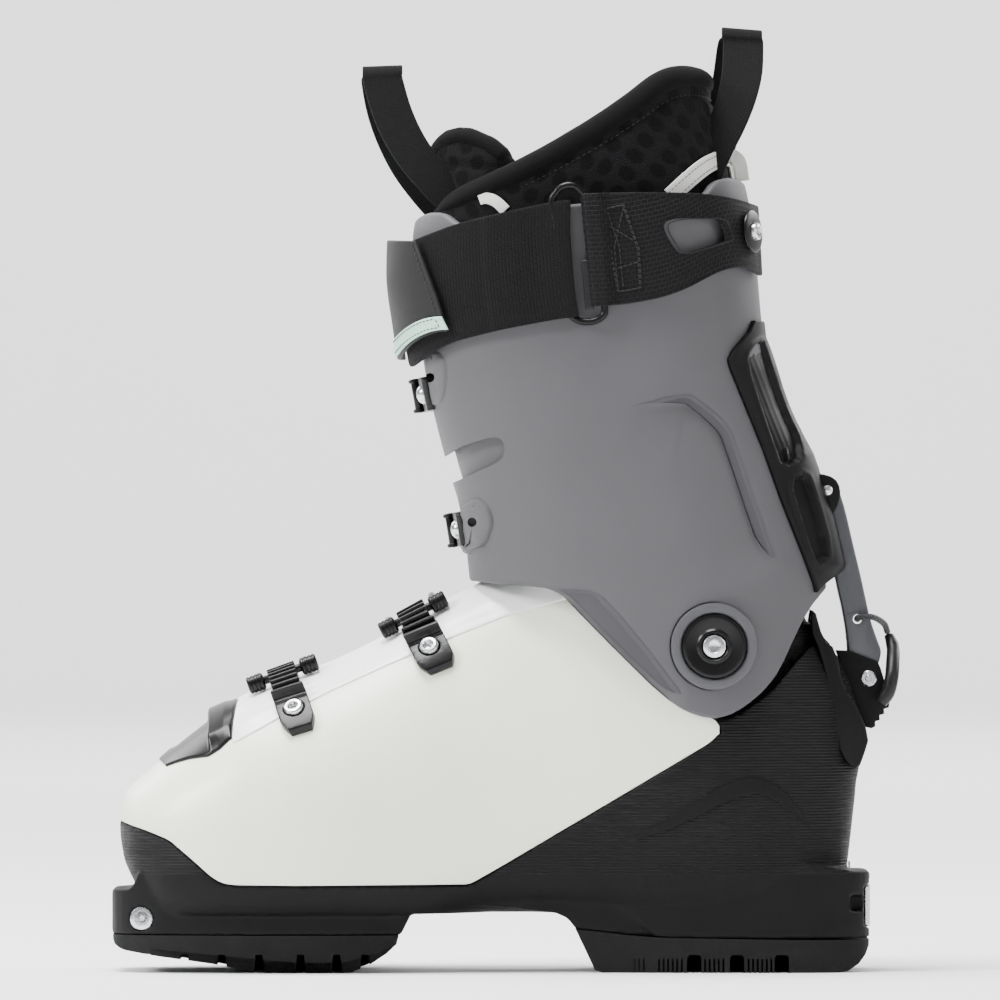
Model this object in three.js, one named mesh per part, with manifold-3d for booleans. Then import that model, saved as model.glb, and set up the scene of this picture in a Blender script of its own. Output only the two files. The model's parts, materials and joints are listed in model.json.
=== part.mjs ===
// Alpine touring ski boot, right foot, one boot of the pair.
// Millimetres, +Z up, toe toward -X, heel toward +X, inner (medial) side toward -Y.
import * as THREE from 'three';
import { mergeVertices } from 'three/addons/utils/BufferGeometryUtils.js';
import Module from 'manifold-3d';
const wasm = await Module();
wasm.setup();

// ---------------------------------------------------------------- driving dimensions
const SOLE_LEN = 284;            // toe lip to heel lip
const WALL = 4.2;                // shell and cuff wall
const GAP = 0.35;                // clearance between fitted pieces
const LINER_T = 7.5;             // padded boot liner wall
const PIVOT = [83.2, 122.1];      // ankle hinge, x and z
const PIVOT_R = 11.9;            // cap disc on the hinge
const ARM_PIN = [126.2, 180.3];      // walk lever upper pin
const LATCH_PIN = [141.6, 109.7];    // cross pin in the latch block
const LEAN_BACK = 16, LEAN_FWD = 5;      // cuff travel in degrees
const WIRE_R = 1.4;              // buckle bail wire
const BAIL_S = 9.3;              // bail wire distance from buckle centre line
const INSERT = [-130.4, 20.3];       // toe fitting socket centre
const D2R = Math.PI / 180;

// ---------------------------------------------------------------- small helpers
const V = (x, y, z) => new THREE.Vector3(x, y, z);
function volumeOf(pos, idx) {
  let v = 0;
  for (let i = 0; i < idx.length; i += 3) {
    const a = idx[i] * 3, b = idx[i + 1] * 3, c = idx[i + 2] * 3;
    v += pos[a] * (pos[b + 1] * pos[c + 2] - pos[b + 2] * pos[c + 1])
      - pos[a + 1] * (pos[b] * pos[c + 2] - pos[b + 2] * pos[c])
      + pos[a + 2] * (pos[b] * pos[c + 1] - pos[b + 1] * pos[c]);
  }
  return v / 6;
}
function solid(geom) {
  let g = geom.clone();
  g.deleteAttribute('normal'); g.deleteAttribute('uv');
  g = mergeVertices(g, 1e-4);
  const pos = Float32Array.from(g.attributes.position.array);
  const idx = Uint32Array.from(g.index.array);
  if (volumeOf(pos, idx) < 0) for (let i = 0; i < idx.length; i += 3) { const t = idx[i]; idx[i] = idx[i + 1]; idx[i + 1] = t; }
  return new wasm.Manifold(new wasm.Mesh({ numProp: 3, vertProperties: pos, triVerts: idx }));
}
function bufGeom(pts, idx) {
  const g = new THREE.BufferGeometry();
  g.setAttribute('position', new THREE.Float32BufferAttribute(pts.flat(), 3));
  g.setIndex(idx);
  return g;
}
// closed skin through rings of equal point count
function loft(rings) {
  const n = rings[0].length, pts = [], idx = [];
  for (const r of rings) for (const p of r) pts.push(p);
  for (let i = 0; i + 1 < rings.length; i++) for (let j = 0; j < n; j++) {
    const a = i * n + j, b = i * n + (j + 1) % n, c = a + n, d = b + n;
    idx.push(a, b, d, a, d, c);
  }
  for (const [k, flip] of [[0, true], [rings.length - 1, false]]) {
    const c = [0, 0, 0];
    for (const p of rings[k]) { c[0] += p[0] / n; c[1] += p[1] / n; c[2] += p[2] / n; }
    const ci = pts.length; pts.push(c);
    for (let j = 0; j < n; j++) {
      const a = k * n + j, b = k * n + (j + 1) % n;
      if (flip) idx.push(ci, b, a); else idx.push(ci, a, b);
    }
  }
  return solid(bufGeom(pts, idx));
}
// outline in x,z pushed from y0 to y1
function prism(poly, y0, y1) {
  const s = new THREE.Shape(poly.map(p => new THREE.Vector2(p[0], p[1])));
  const g = new THREE.ExtrudeGeometry(s, { depth: y1 - y0, bevelEnabled: false, steps: 1 });
  const a = g.attributes.position.array;
  for (let i = 0; i < a.length; i += 3) { const x = a[i], y = a[i + 1], z = a[i + 2]; a[i] = x; a[i + 1] = y0 + z; a[i + 2] = y; }
  return solid(g);
}
// outline in x,y pushed from z0 to z1
function plate(poly, z0, z1) {
  const s = new THREE.Shape(poly.map(p => new THREE.Vector2(p[0], p[1])));
  const g = new THREE.ExtrudeGeometry(s, { depth: z1 - z0, bevelEnabled: false, steps: 1 });
  g.translate(0, 0, z0);
  return solid(g);
}
function box(x0, x1, y0, y1, z0, z1) {
  const g = new THREE.BoxGeometry(x1 - x0, y1 - y0, z1 - z0);
  g.translate((x0 + x1) / 2, (y0 + y1) / 2, (z0 + z1) / 2);
  return solid(g);
}
function rod(p, q, r, n = 12, r2 = r) {
  const a = V(...p), b = V(...q), d = b.clone().sub(a), L = d.length();
  const g = new THREE.CylinderGeometry(r2, r, L, n, 1);
  g.translate(0, L / 2, 0);
  g.applyQuaternion(new THREE.Quaternion().setFromUnitVectors(V(0, 1, 0), d.normalize()));
  g.translate(a.x, a.y, a.z);
  return solid(g);
}
// turned piece: profile [radius, height] along direction d from point p
function turned(profile, p, d, n = 16) {
  const g = new THREE.LatheGeometry(profile.map(q => new THREE.Vector2(q[0], q[1])), n);
  g.applyQuaternion(new THREE.Quaternion().setFromUnitVectors(V(0, 1, 0), V(...d).normalize()));
  g.translate(...p);
  return solid(g);
}
function tube(path, r, sides = 8, steps = 24, closed = false) {
  const c = new THREE.CatmullRomCurve3(path.map(p => V(...p)), closed, 'centripetal');
  const sh = new THREE.Shape();
  for (let i = 0; i < sides; i++) {
    const t = i / sides * 2 * Math.PI;
    if (i === 0) sh.moveTo(r * Math.cos(t), r * Math.sin(t)); else sh.lineTo(r * Math.cos(t), r * Math.sin(t));
  }
  sh.closePath();
  return solid(new THREE.ExtrudeGeometry(sh, { steps, extrudePath: c, bevelEnabled: false }));
}
function turnY(m, deg, c = PIVOT) {       // turn about a line parallel to Y, + leans the top to the heel
  const t = deg * D2R, s = Math.sin(t), k = Math.cos(t);
  const tx = c[0] - (k * c[0] + s * c[1]), tz = c[1] - (-s * c[0] + k * c[1]);
  return m.transform([k, 0, -s, 0, 0, 1, 0, 0, s, 0, k, 0, tx, 0, tz, 1]);
}
const lerpTable = (tab, x, k) => {
  if (x <= tab[0][0]) return tab[0][k];
  for (let i = 0; i + 1 < tab.length; i++) if (x <= tab[i + 1][0]) {
    const t = (x - tab[i][0]) / (tab[i + 1][0] - tab[i][0]);
    return tab[i][k] + t * (tab[i + 1][k] - tab[i][k]);
  }
  return tab[tab.length - 1][k];
};
const union = list => list.reduce((a, b) => a.add(b));
function biggest(m) {
  const parts = m.decompose();
  let best = parts[0];
  for (const p of parts) if (Math.abs(p.volume()) > Math.abs(best.volume())) best = p;
  return best;
}

// ---------------------------------------------------------------- foot of the shell
// x, inner half width, outer half width, bottom z, widest z, top z, roundness
const FOOT = [
  [-138.6, 12, 13, 47, 55, 62, 2.2], [-137.6, 20, 21, 42, 54, 66.5, 2.2], [-134, 29, 30, 34, 52, 70.5, 2.3],
  [-128, 37, 38, 24, 50, 74.5, 2.3], [-122, 42.5, 43, 17, 49, 81, 2.3], [-114, 46.5, 47, 15, 49, 87, 2.3],
  [-104, 50, 50, 15, 50, 95, 2.3], [-92, 52.5, 52, 15, 52, 103, 2.3], [-76, 54, 53, 15, 53, 109.2, 2.3],
  [-60.5, 53, 52.5, 15, 55, 113.5, 2.3], [-41.7, 50, 50.5, 15, 58, 124, 2.3], [-28, 47.5, 48.5, 16, 60, 131.8, 2.3],
  [-14.7, 45, 46, 20, 62, 139.3, 2.3], [0, 43, 44, 22, 66, 146.5, 2.4], [15, 41.8, 42.5, 22, 70, 152, 2.5],
  [35, 41.5, 42, 20, 76, 157, 2.7], [60, 41.5, 42, 15, 80, 157, 2.9], [83, 41.5, 41.8, 13.5, 82, 154, 3],
  [100, 40, 40.2, 13.5, 82, 146, 3], [112, 37, 37, 13.5, 82, 138, 3], [120, 33, 33, 13.5, 82, 130.5, 2.8],
  [126, 29, 29, 14, 82, 124, 2.7], [130.4, 25, 25, 20, 83, 119.5, 2.6], [134.2, 20.5, 20.5, 44, 84, 112.5, 2.5],
  [137.2, 16, 16, 70, 86, 104.5, 2.4], [140, 11, 11, 81, 88.2, 96, 2.3], [141.8, 6, 6, 86, 88.6, 91, 2.2]];
const N_FOOT = 20;
const footP = x => [1, 2, 3, 4, 5, 6].map(k => lerpTable(FOOT, x, k));
function footRing(x, off) {
  const [wi, wo, zb, zc, zt, n] = footP(x), r = [];
  for (let j = 0; j < N_FOOT; j++) {
    const t = (j + 0.5) / N_FOOT * 2 * Math.PI, c = Math.cos(t), s = Math.sin(t);
    const w = (c < 0 ? wi : wo) + off, h = (s < 0 ? zc - zb : zt - zc) + off;
    const e = s < 0 ? 2 / 3.4 : 2 / n;
    r.push([x, Math.sign(c) * w * Math.abs(c) ** e, zc + Math.sign(s) * h * Math.abs(s) ** e]);
  }
  return r;
}
function footSolid(off, x0 = -999, x1 = 999, zShift = 0) {
  const rings = [];
  for (const row of FOOT) {
    const x = row[0];
    if (x <= x0 || x >= x1 || [-137.6, -60.5, -28, 60, 140].includes(x)) continue;
    rings.push(footRing(x, off));
  }
  if (x0 > FOOT[0][0]) rings.unshift(footRing(x0, off)); else { const r = footRing(FOOT[0][0], off * 0.6); rings.unshift(r.map(p => [p[0] - Math.max(off, 0.2), p[1], p[2]])); }
  if (x1 < 141.8) rings.push(footRing(x1, off)); else { const r = footRing(141.8, off * 0.6); rings.push(r.map(p => [p[0] + Math.max(off, 0.2), p[1], p[2]])); }
  return loft(rings);
}
function footF(x, y, z) {                  // below 1 inside the foot surface
  const [wi, wo, zb, zc, zt, n] = footP(x);
  const w = y < 0 ? wi : wo, h = z < zc ? zc - zb : zt - zc, e = z < zc ? 3.4 : n;
  return Math.abs(y / w) ** e + Math.abs((z - zc) / h) ** e;
}

// ---------------------------------------------------------------- leg of the boot
// z, front x, rear x, half width (outer face of the cuff)
const LEG = [
  [70, -1, 121, 47.4], [96, -3, 124, 47.6], [120, -5, 126, 47.8], [140, -7.5, 126, 48.2], [153, -8.8, 125, 48.6],
  [165, -10.2, 122.5, 49], [176, -12.4, 119.8, 49.5], [188, -16, 116, 50], [203, -20, 110.5, 50.6], [218, -23.5, 105.5, 51.2],
  [240, -27.2, 102, 52.2], [262, -29.8, 100, 53.4], [276, -29, 98.5, 54.2], [286, -27, 97.2, 54.8], [300, -25, 94, 54.8],
  [318, -24.5, 89.5, 54.4], [342, -24, 85, 54]];
const N_LEG = 24, LEG_N = 2.5;
function legRing(z, off, front = 0, n = N_LEG) {
  const xf = lerpTable(LEG, z, 1) - off - front, xb = lerpTable(LEG, z, 2) + off, w = lerpTable(LEG, z, 3) + off, r = [];
  const c = (xf + xb) / 2, a = (xb - xf) / 2;
  for (let j = 0; j < n; j++) {
    const t = (j + 0.5) / n * 2 * Math.PI, k = Math.cos(t), s = Math.sin(t), e = 2 / LEG_N;
    r.push([c + Math.sign(k) * a * Math.abs(k) ** e, Math.sign(s) * w * Math.abs(s) ** e, z]);
  }
  return r;
}
function legSolid(off, z0, z1, front = 0, n = N_LEG) {
  const zs = [z0, ...LEG.map(r => r[0]).filter(z => z > z0 + 1 && z < z1 - 1), z1];
  return loft(zs.map(z => legRing(z, off, front, n)));
}
function legF(x, y, z) {
  const xf = lerpTable(LEG, z, 1), xb = lerpTable(LEG, z, 2), w = lerpTable(LEG, z, 3);
  return Math.abs((x - (xf + xb) / 2) / ((xb - xf) / 2)) ** LEG_N + Math.abs(y / w) ** LEG_N;
}

// ---------------------------------------------------------------- collected pieces
const PARTS = [];
const MATS = {
  clog: ['#dfe1d9', 0.35, 0], flap: ['#efefee', 0.3, 0], black: ['#26272a', 0.5, 0], rubber: ['#1b1b1c', 0.8, 0],
  grey: ['#86858a', 0.45, 0], web: ['#1d1d1f', 0.85, 0], strapgrey: ['#3b3b3d', 0.85, 0], mint: ['#c8dacf', 0.6, 0],
  steel: ['#c3c4c6', 0.3, 0.9], arm: ['#5d5e62', 0.45, 0.8], liner: ['#232326', 0.9, 0], foam: ['#3c3d40', 0.9, 0],
  board: ['#4a4c50', 0.6, 0], gun: ['#3a3b3d', 0.4, 0.7] };
const COARSE = { chassis: 0.12, lower_shell: 0.1, cuff: 0.08, liner_foot: 0.13, liner_cuff: 0.1, boot_board: 0.1, footbed: 0.1, tongue: 0.1, spine_cover: 0.08, instep_flap: 0.08, power_strap: 0.08 };
function put(name, m, mat) { PARTS.push([name, biggest(biggest(m).simplify(COARSE[name] || 0.04)), mat]); }

// ================================================================ lower shell
const cuffOutline = [[-30.1, 279.5], [-27.4, 283.3], [-22.2, 284.4], [-16.2, 282.2], [-12.8, 279.1], [10.9, 284.8], [41.0, 287.8], [71.0, 289.3], [81.5, 290.8],
  [84.5, 295.3], [89.8, 297.6], [95.4, 295.3], [101.8, 290.8], [153.7, 290.8], [153.7, 214.1], [139.4, 169.1], [135.6, 154.0], [130.4, 147.3], [121.7, 139.0], [114.6, 127.0], [108.6, 114.6], [99.9, 103.3], [91.7, 97.7],
  [84.2, 95.1], [78.5, 95.8], [68.0, 100.3], [59.7, 107.8], [41.0, 125.9], [25.2, 140.9], [22.2, 143.1], [3.4, 145.0], [-6.0, 145.8], [-22.9, 147.3], [-41.7, 176.6], [-41.7, 251.7], [-34.2, 274.3]];
const legOuter = legSolid(0, 84, 300);
const legInner = legSolid(-WALL, 70, 310);
const cuffBlank = legOuter.subtract(legInner).intersect(prism(cuffOutline, -80, 80));
const sweep = [];
const envOuter = legSolid(1.0, 84, 206).subtract(legSolid(-WALL - 0.45, 70, 210));
const grow = (poly, d) => {                // simple outward offset of an outline
  const n = poly.length; let area = 0;
  for (let i = 0; i < n; i++) { const p = poly[i], q = poly[(i + 1) % n]; area += p[0] * q[1] - q[0] * p[1]; }
  const s = area > 0 ? 1 : -1;
  return poly.map((p, i) => {
    const a = poly[(i + n - 1) % n], b = poly[(i + 1) % n];
    const u = [p[0] - a[0], p[1] - a[1]], v = [b[0] - p[0], b[1] - p[1]];
    const lu = Math.hypot(...u), lv = Math.hypot(...v);
    const m = [s * (u[1] / lu + v[1] / lv), -s * (u[0] / lu + v[0] / lv)], k = Math.max(0.6, (m[0] * m[0] + m[1] * m[1]) / 2);
    return [p[0] + d * m[0] / k, p[1] + d * m[1] / k];
  });
};
const cuffEnv = envOuter.intersect(prism(grow(cuffOutline, 0.8), -80, 80));
for (const a of [-LEAN_FWD, 0, 4, 8, 12, LEAN_BACK]) sweep.push(turnY(cuffEnv, a));
const cuffSweep = union(sweep);

// sole platform of the lower shell, plan outline
const platPlan = (g, x0, x1) => {
  const half = [[-142, 17], [-140.6, 23], [-137.5, 28], [-132, 32.5], [-124, 35], [-105, 38.5], [-85, 41], [-65, 41], [-40, 37], [-15, 31.5],
    [20, 29.5], [50, 31.5], [75, 34], [105, 34.8], [122, 33.5], [132, 30], [138, 25.5], [141, 20.5], [142, 15]];
  const h = half.filter(p => p[0] >= x0 && p[0] <= x1).map(p => [p[0], p[1] + g]);
  return [...h.map(p => [p[0], -p[1]]), ...h.slice().reverse()];
};
const toePlat = plate(platPlan(0, -200, -60), 14.4, 60);
const platXZ = [[-142, 14.4], [-142, 30.2], [-141, 31.2], [-135.3, 31.2], [-131.9, 36.8], [-109.3, 45.1], [-71.8, 45.1], [41.0, 45.1], [116.1, 41.3], [133.4, 38.3], [135.4, 37.8], [141, 37.8], [142, 36.8],
  [142, 12.8], [37.2, 12.8], [28.6, 19.5], [25.9, 21.8], [5.3, 24.8], [-7.9, 25.2], [-29.3, 22.5], [-33.6, 14.4]];
const platform = plate(platPlan(0, -200, 200), 5, 60).intersect(prism(platXZ, -60, 60));
const outer = footSolid(0).subtract(box(-200, 200, -80, 80, -5, 22)).subtract(box(-200, -138.0, -80, 80, 0, 44)).add(platform);

// space for the liner and foot
function cavityRings(off) {
  const rows = [[-131, 20, 46, 58], [-128, 29, 38, 64], [-122, 35, 33, 68], [-100, 45.5, 29.5, 86], [-84, 47.5, 29.5, 97],
    [-70, 48, 29.5, 105], [-50, 46.5, 30, 113.5], [-30, 43.5, 30.5, 124.5], [-14, 40.6, 31, 133.5], [0, 38.6, 31.5, 141], [15, 37.6, 32, 147],
    [60, 36.6, 33, 152], [84, 36.4, 33, 150], [100, 34.4, 33, 146], [112, 29, 34, 140], [118, 22.5, 40, 134], [122.4, 12, 56, 124]];
  return rows.map(([x, w, zb, zt]) => {
    const r = [], zc = zb + (zt - zb) * 0.42;
    for (let j = 0; j < 18; j++) {
      const t = (j + 0.5) / 18 * 2 * Math.PI, c = Math.cos(t), s = Math.sin(t);
      const e = s < 0 ? 2 / 3.2 : 2 / (x > 20 ? 2.9 : 2.3);
      const ww = w + off, h = (s < 0 ? zc - zb : zt - zc) + off;
      r.push([x + (x < -125 ? -off : x > 117 ? off : 0), Math.sign(c) * ww * Math.abs(c) ** e, zc + Math.sign(s) * h * Math.abs(s) ** e]);
    }
    return r;
  });
}
const cavity = loft(cavityRings(0));
// ankle tube that runs up inside the cuff, trimmed to stay clear of the cuff through its travel
const tubeOut = turnY(legSolid(-WALL - 1.2, 72, 340), -LEAN_FWD).intersect(turnY(legSolid(-WALL - 1.2, 72, 340), LEAN_BACK)).intersect(legSolid(-WALL - 1.2, 72, 340));
const tubeIn = turnY(legSolid(-WALL - 4.4, 70, 345), -LEAN_FWD).intersect(turnY(legSolid(-WALL - 4.4, 70, 345), LEAN_BACK)).intersect(legSolid(-WALL - 4.4, 70, 345));
const tubeXZ = [[18, 100], [22, 138], [30, 158], [44, 172], [66, 182], [90, 190], [104, 192], [124, 176], [126, 140], [122, 118], [112, 100]];
const shaft = tubeIn.intersect(prism([[14, 118], [14, 210], [140, 210], [140, 118]], -70, 70));
let shell = outer.add(tubeOut.intersect(prism(tubeXZ, -70, 70)));
for (const s of [-1, 1]) shell = shell.add(rod([PIVOT[0], s * 30, PIVOT[1]], [PIVOT[0], s * 42.5, PIVOT[1]], 15, 20));
shell = shell.subtract(cavity).subtract(shaft);
shell = shell.subtract(cuffSweep);
// heel channel for the latch block, toe socket bar and heel fitting pockets
shell = shell.subtract(box(127.4, 160, -11.4, 11.4, 68, 140));
const insertShape = g => rod([INSERT[0], -33.4, INSERT[1]], [INSERT[0], 33.4, INSERT[1]], 5.1 + g, 10).add(box(INSERT[0] - 3, INSERT[0] + 8, -20, 20, INSERT[1] - 4 - g, INSERT[1] + 4 + g));
shell = shell.subtract(rod([INSERT[0], -40, INSERT[1]], [INSERT[0], 40, INSERT[1]], 5.45, 10)).subtract(box(INSERT[0] - 3.35, INSERT[0] + 8.35, -20.35, 20.35, INSERT[1] - 4.35, INSERT[1] + 4.35));
shell = shell.subtract(box(126, 150, -17.4, 17.4, 14, 34.2)).subtract(rod([133, 0, 30], [133, 0, 41.5], 2.6, 10));

const clogXZ = [[-161.9, 63.9], [-137.9, 56.0], [-120.2, 50.3], [-101.1, 33.8], [-97.3, 33.2], [-7.9, 33.1], [25.9, 53.0], [80.4, 85.3], [84.9, 88.7], [84.5, 92.0], [78.5, 96.2],
  [66, 104], [56, 114], [52, 130], [52, 260], [-60, 260], [-200, 160], [-200, 90]];
const flapXZ = [[-95.8, 86.0], [-60.5, 104.4], [-13.1, 125.1], [25.9, 138.3], [40, 150], [36, 185], [-60, 185], [-130, 130], [-97.7, 105.2], [-96.6, 99.2], [-97.7, 90.9]];
const damXZ = [[-128.1, 67.6], [-124.0, 75.5], [-113.1, 79.3], [-105.9, 80.4], [-96.9, 86.8], [-98.1, 90.9], [-96.9, 99.2], [-96.9, 105.2], [-140, 130], [-150, 70]];
const seam = 0.18;
const upperCut = prism(grow(flapXZ, seam), -80, 80);
const damSkin = footSolid(-3.6);
const damZone = prism(grow(damXZ, seam), -24.2, 24.2);
const chassisPart = shell.subtract(prism(grow(clogXZ, seam), -80, 80));
const clogBase = shell.intersect(prism(grow(clogXZ, -seam), -80, 80));
const damCut = damZone.intersect(footSolid(3).subtract(damSkin));
put('lower_shell', clogBase.subtract(upperCut).subtract(damCut), 'clog');
put('chassis', chassisPart, 'black');
put('instep_flap', shell.intersect(prism(grow(flapXZ, -seam), -80, 80)).subtract(damCut), 'flap');
put('toe_dam', prism(grow(damXZ, -seam), -23.8, 23.8).intersect(footSolid(0.9).subtract(footSolid(-3.2))), 'black');

// ================================================================ inside the foot
const boardRings = cavityRings(-GAP);
const insideLow = loft(boardRings);
const rampXZ = [[-128, 20], [-128, 37.5], [-60, 37.5], [0, 39.5], [60, 43], [121, 44.5], [121, 20]];
put('boot_board', insideLow.intersect(prism(rampXZ, -60, 60)), 'board');
const linerLowOuter = loft(cavityRings(-GAP)).add(tubeIn2()).subtract(prism([[-140, 10], [-140, 37.9], [-60, 37.9], [0, 39.9], [60, 43.4], [130, 44.9], [130, 10]], -60, 60));
function tubeIn2() {
  const t = o => turnY(legSolid(o, 72, 345), -LEAN_FWD).intersect(turnY(legSolid(o, 72, 345), LEAN_BACK)).intersect(legSolid(o, 72, 345));
  return t(-WALL - 4.8).intersect(prism([[26, 120], [28, 160], [48, 176], [66, 182], [100, 186], [124, 160], [124, 120]], -70, 70));
}
const circle = (cx, cz, r, n = 40) => Array.from({ length: n }, (_, i) => [cx + r * Math.cos(i / n * 2 * Math.PI), cz + r * Math.sin(i / n * 2 * Math.PI)]);
const footHole = loft(cavityRings(-GAP - LINER_T + 1.5)).intersect(prism([[-124, 42.6], [-60, 42.6], [0, 44.6], [60, 48.1], [130, 49.6], [130, 230], [-124, 230]], -60, 60));
const legHole = legSolid(-WALL - 13.2, 100, 345).intersect(box(30, 108, -60, 60, 100, 345));
let linerLow = linerLowOuter.subtract(footHole).subtract(legHole).intersect(prism(circle(PIVOT[0], PIVOT[1], 57).concat(), -70, 70).add(box(-140, 70, -70, 70, 0, 150)).add(box(60, 140, -70, 70, 0, 122)));
linerLow = linerLow.subtract(cuffSweep);
put('liner_foot', linerLow, 'liner');
put('footbed', loft(cavityRings(-GAP - LINER_T - 0.3)).intersect(prism([[-120, 43.8], [-60, 43.8], [0, 45.8], [60, 49.3], [108, 50.8], [108, 53.3], [60, 51.8], [0, 48.3], [-60, 46.3], [-120, 46.3]], -60, 60)), 'foam');

// ================================================================ soles and binding fittings
const solePlan = (x0, x1, g) => {
  const xs = [-142, -140.6, -137.5, -132, -124, -105, -85, -65, -40, -34, 34, 50, 75, 105, 122, 132, 138, 141, 142].filter(x => x > x0 && x < x1);
  const half = x => lerpTable([[-142, 17], [-140.6, 23], [-137.5, 28], [-132, 32.5], [-124, 35], [-105, 38.5], [-85, 41], [-65, 41], [-40, 37], [-15, 31.5],
    [20, 29.5], [50, 31.5], [75, 34], [105, 34.8], [122, 33.5], [132, 30], [138, 25.5], [141, 20.5], [142, 15]], x, 1) + g;
  const h = [x0, ...xs, x1].map(x => [x, half(x)]);
  return [...h.map(p => [p[0], -p[1]]), ...h.slice().reverse()];
};
const toeSoleXZ = [[-141.6, 14.05], [-140.9, 12.0], [-137.9, 9.8], [-125.1, 8.3], [-125.1, 5.3], [-110.8, 3.8], [-92.0, 2.6], [-89.0, 0.0], [-54.9, 0.0], [-44.7, 3.0], [-34.9, 9.8], [-34.2, 13.1], [-34.4, 14.05]];
let toeSole = plate(solePlan(-141.6, -34.4, 0), -1, 14.05).intersect(prism([[-141.6, 14.05], [-141, 11], [-137, 8.6], [-124, 6.2], [-104, 3.2], [-92, 1.0], [-86, 0], [-55, 0], [-45, 3], [-36, 9], [-34.4, 14.05]], -60, 60));
for (const x of [-128, -114, -100.5, -71, -58, -47]) toeSole = toeSole.subtract(box(x - 1.7, x + 1.7, -60, -12, -2, 6.5)).subtract(box(x - 1.7, x + 1.7, 12, 60, -2, 6.5));
toeSole = toeSole.subtract(box(-131, -88, -8, 8, -2, 7)).subtract(box(-72, -46, -7, 7, -2, 3));
put('toe_sole', toeSole, 'rubber');
let heelSole = plate(solePlan(39, 141.6, 0), -1, 12.45).intersect(prism([[36, 12.45], [39, 3.5], [41, 0], [132, 0], [139, 2.5], [141.6, 7], [141.6, 12.45]], -60, 60));
for (const x of [75.7, 91.9, 108.6]) heelSole = heelSole.subtract(box(x - 2.6, x + 2.6, -60, -11, -2, 7.5)).subtract(box(x - 2.6, x + 2.6, 11, 60, -2, 7.5));
heelSole = heelSole.subtract(box(54, 122, -7, 7, -2, 4));
heelSole = heelSole.subtract(box(136, 150, -5, 5, -2, 14));
put('heel_sole', heelSole, 'rubber');
let insert = rod([INSERT[0], -33.2, INSERT[1]], [INSERT[0], 33.2, INSERT[1]], 5.1, 10).add(box(INSERT[0] - 3, INSERT[0] + 8, -20, 20, INSERT[1] - 4, INSERT[1] + 4));
for (const s of [-1, 1]) insert = insert.subtract(turned([[0, 0], [3.4, 0], [1.2, 3.6], [0, 3.6]], [INSERT[0], s * 33.25, INSERT[1]], [0, -s, 0], 12));
put('toe_insert', insert, 'steel');
let heelIns = box(126.4, 142.0, -17, 17, 14.35, 33.8);
heelIns = heelIns.subtract(box(137, 150, -5, 5, 10, 29)).subtract(box(134, 150, -13.5, -9.6, 19, 26)).subtract(box(134, 150, 9.6, 13.5, 19, 26)).subtract(rod([133, 0, 25], [133, 0, 40], 2.4, 10));
put('heel_insert', heelIns, 'steel');
put('heel_insert_screw', rod([133, 0, 25.4], [133, 0, 41], 2.1, 10), 'steel');

// ================================================================ cuff
let cuff = cuffBlank;
const slotXZ = [[-26.7, 187.8], [-15.8, 193.9], [-12.8, 196.5], [0.8, 200.2], [3.4, 199.1], [4.9, 195.7], [4.1, 192.4], [1.9, 190.5], [-10.1, 184.8], [-26.7, 178.5]];
cuff = cuff.subtract(prism(slotXZ, -60, 60));
const legNormal = (x, y, z, F = legF) => {
  const e = 0.05, f = F(x, y, z);
  return V((F(x + e, y, z) - f) / e, (F(x, y + e, z) - f) / e, (F(x, y, z + e) - f) / e).normalize();
};
// point on the cuff or foot surface below side point x,z, on side s
function onSide(x, z, s, F, off = 0) {
  let a = 0, b = 70;
  for (let i = 0; i < 40; i++) { const m = (a + b) / 2; if (F(x, s * m, z) < 1) a = m; else b = m; }
  const n = legNormal(x, s * a, z, F);
  return [V(x, s * a, z).addScaledVector(n, off), n];
}
// hinge bosses, recess under the strap rivets
for (const s of [-1, 1]) {
  cuff = cuff.add(rod([PIVOT[0], s * 43.35, PIVOT[1]], [PIVOT[0], s * 49.2, PIVOT[1]], 16.8, 28));
  cuff = cuff.subtract(rod([PIVOT[0], s * 47.4, PIVOT[1]], [PIVOT[0], s * 60, PIVOT[1]], PIVOT_R + GAP, 28));
  cuff = cuff.subtract(rod([PIVOT[0], s * 40, PIVOT[1]], [PIVOT[0], s * 60, PIVOT[1]], 4.6, 20));
}
// strap window at the rear of the cuff
const windowXZ = [[64.2, 278.4], [68.0, 280.6], [82.7, 280.6], [86.4, 273.9], [85.3, 272.8], [71.4, 268.6], [68.8, 269.4]];

// walk lever pocket in the spine
const ax = ARM_PIN[0], az = ARM_PIN[1];
const channel = box(ax - 6.4, 170, -7.9, 7.9, 90, az + 7.4).add(prism([[118, 130], [118, 158], [ax - 6.4, 178], [ax + 20, 178], [ax + 20, 130]], -7.9, 7.9));
const spineXZ = [[98.1, 244.2], [101.8, 242.3], [104.4, 234.8], [107.5, 224.7], [112.3, 209.6], [118.0, 198.7], [121.7, 191.6], [123.2, 186.3], [129.6, 184.8], [131.9, 178.1], [130.4, 169.1], [133.4, 151.8], [127.0, 146.5], [121.4, 141.6],
  [119.1, 147.7], [116.1, 155.9], [107.8, 176.6], [101.1, 195.4], [93.5, 214.1], [88.3, 228.8], [95.4, 238.2]];
let spine = legSolid(9.5, 120, 262).subtract(legSolid(GAP, 110, 270)).intersect(prism(spineXZ, -60, 60));
spine = spine.intersect(box(60, 150, -60, 60, 100, 300));
const spineRearXZ = [[93.5, 248.0], [102.6, 242.3], [105.6, 234.8], [108.2, 224.7], [113.1, 209.6], [118.7, 198.7], [122.5, 191.6], [124.4, 186.3], [129.6, 184.1], [131.9, 178.1], [131.1, 169.1], [133.4, 151.8], [127.0, 146.5], [78.5, 139.0], [78.5, 248.0]];
spine = spine.intersect(prism(spineRearXZ, -60, 60));
spine = spine.subtract(channel);
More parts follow.
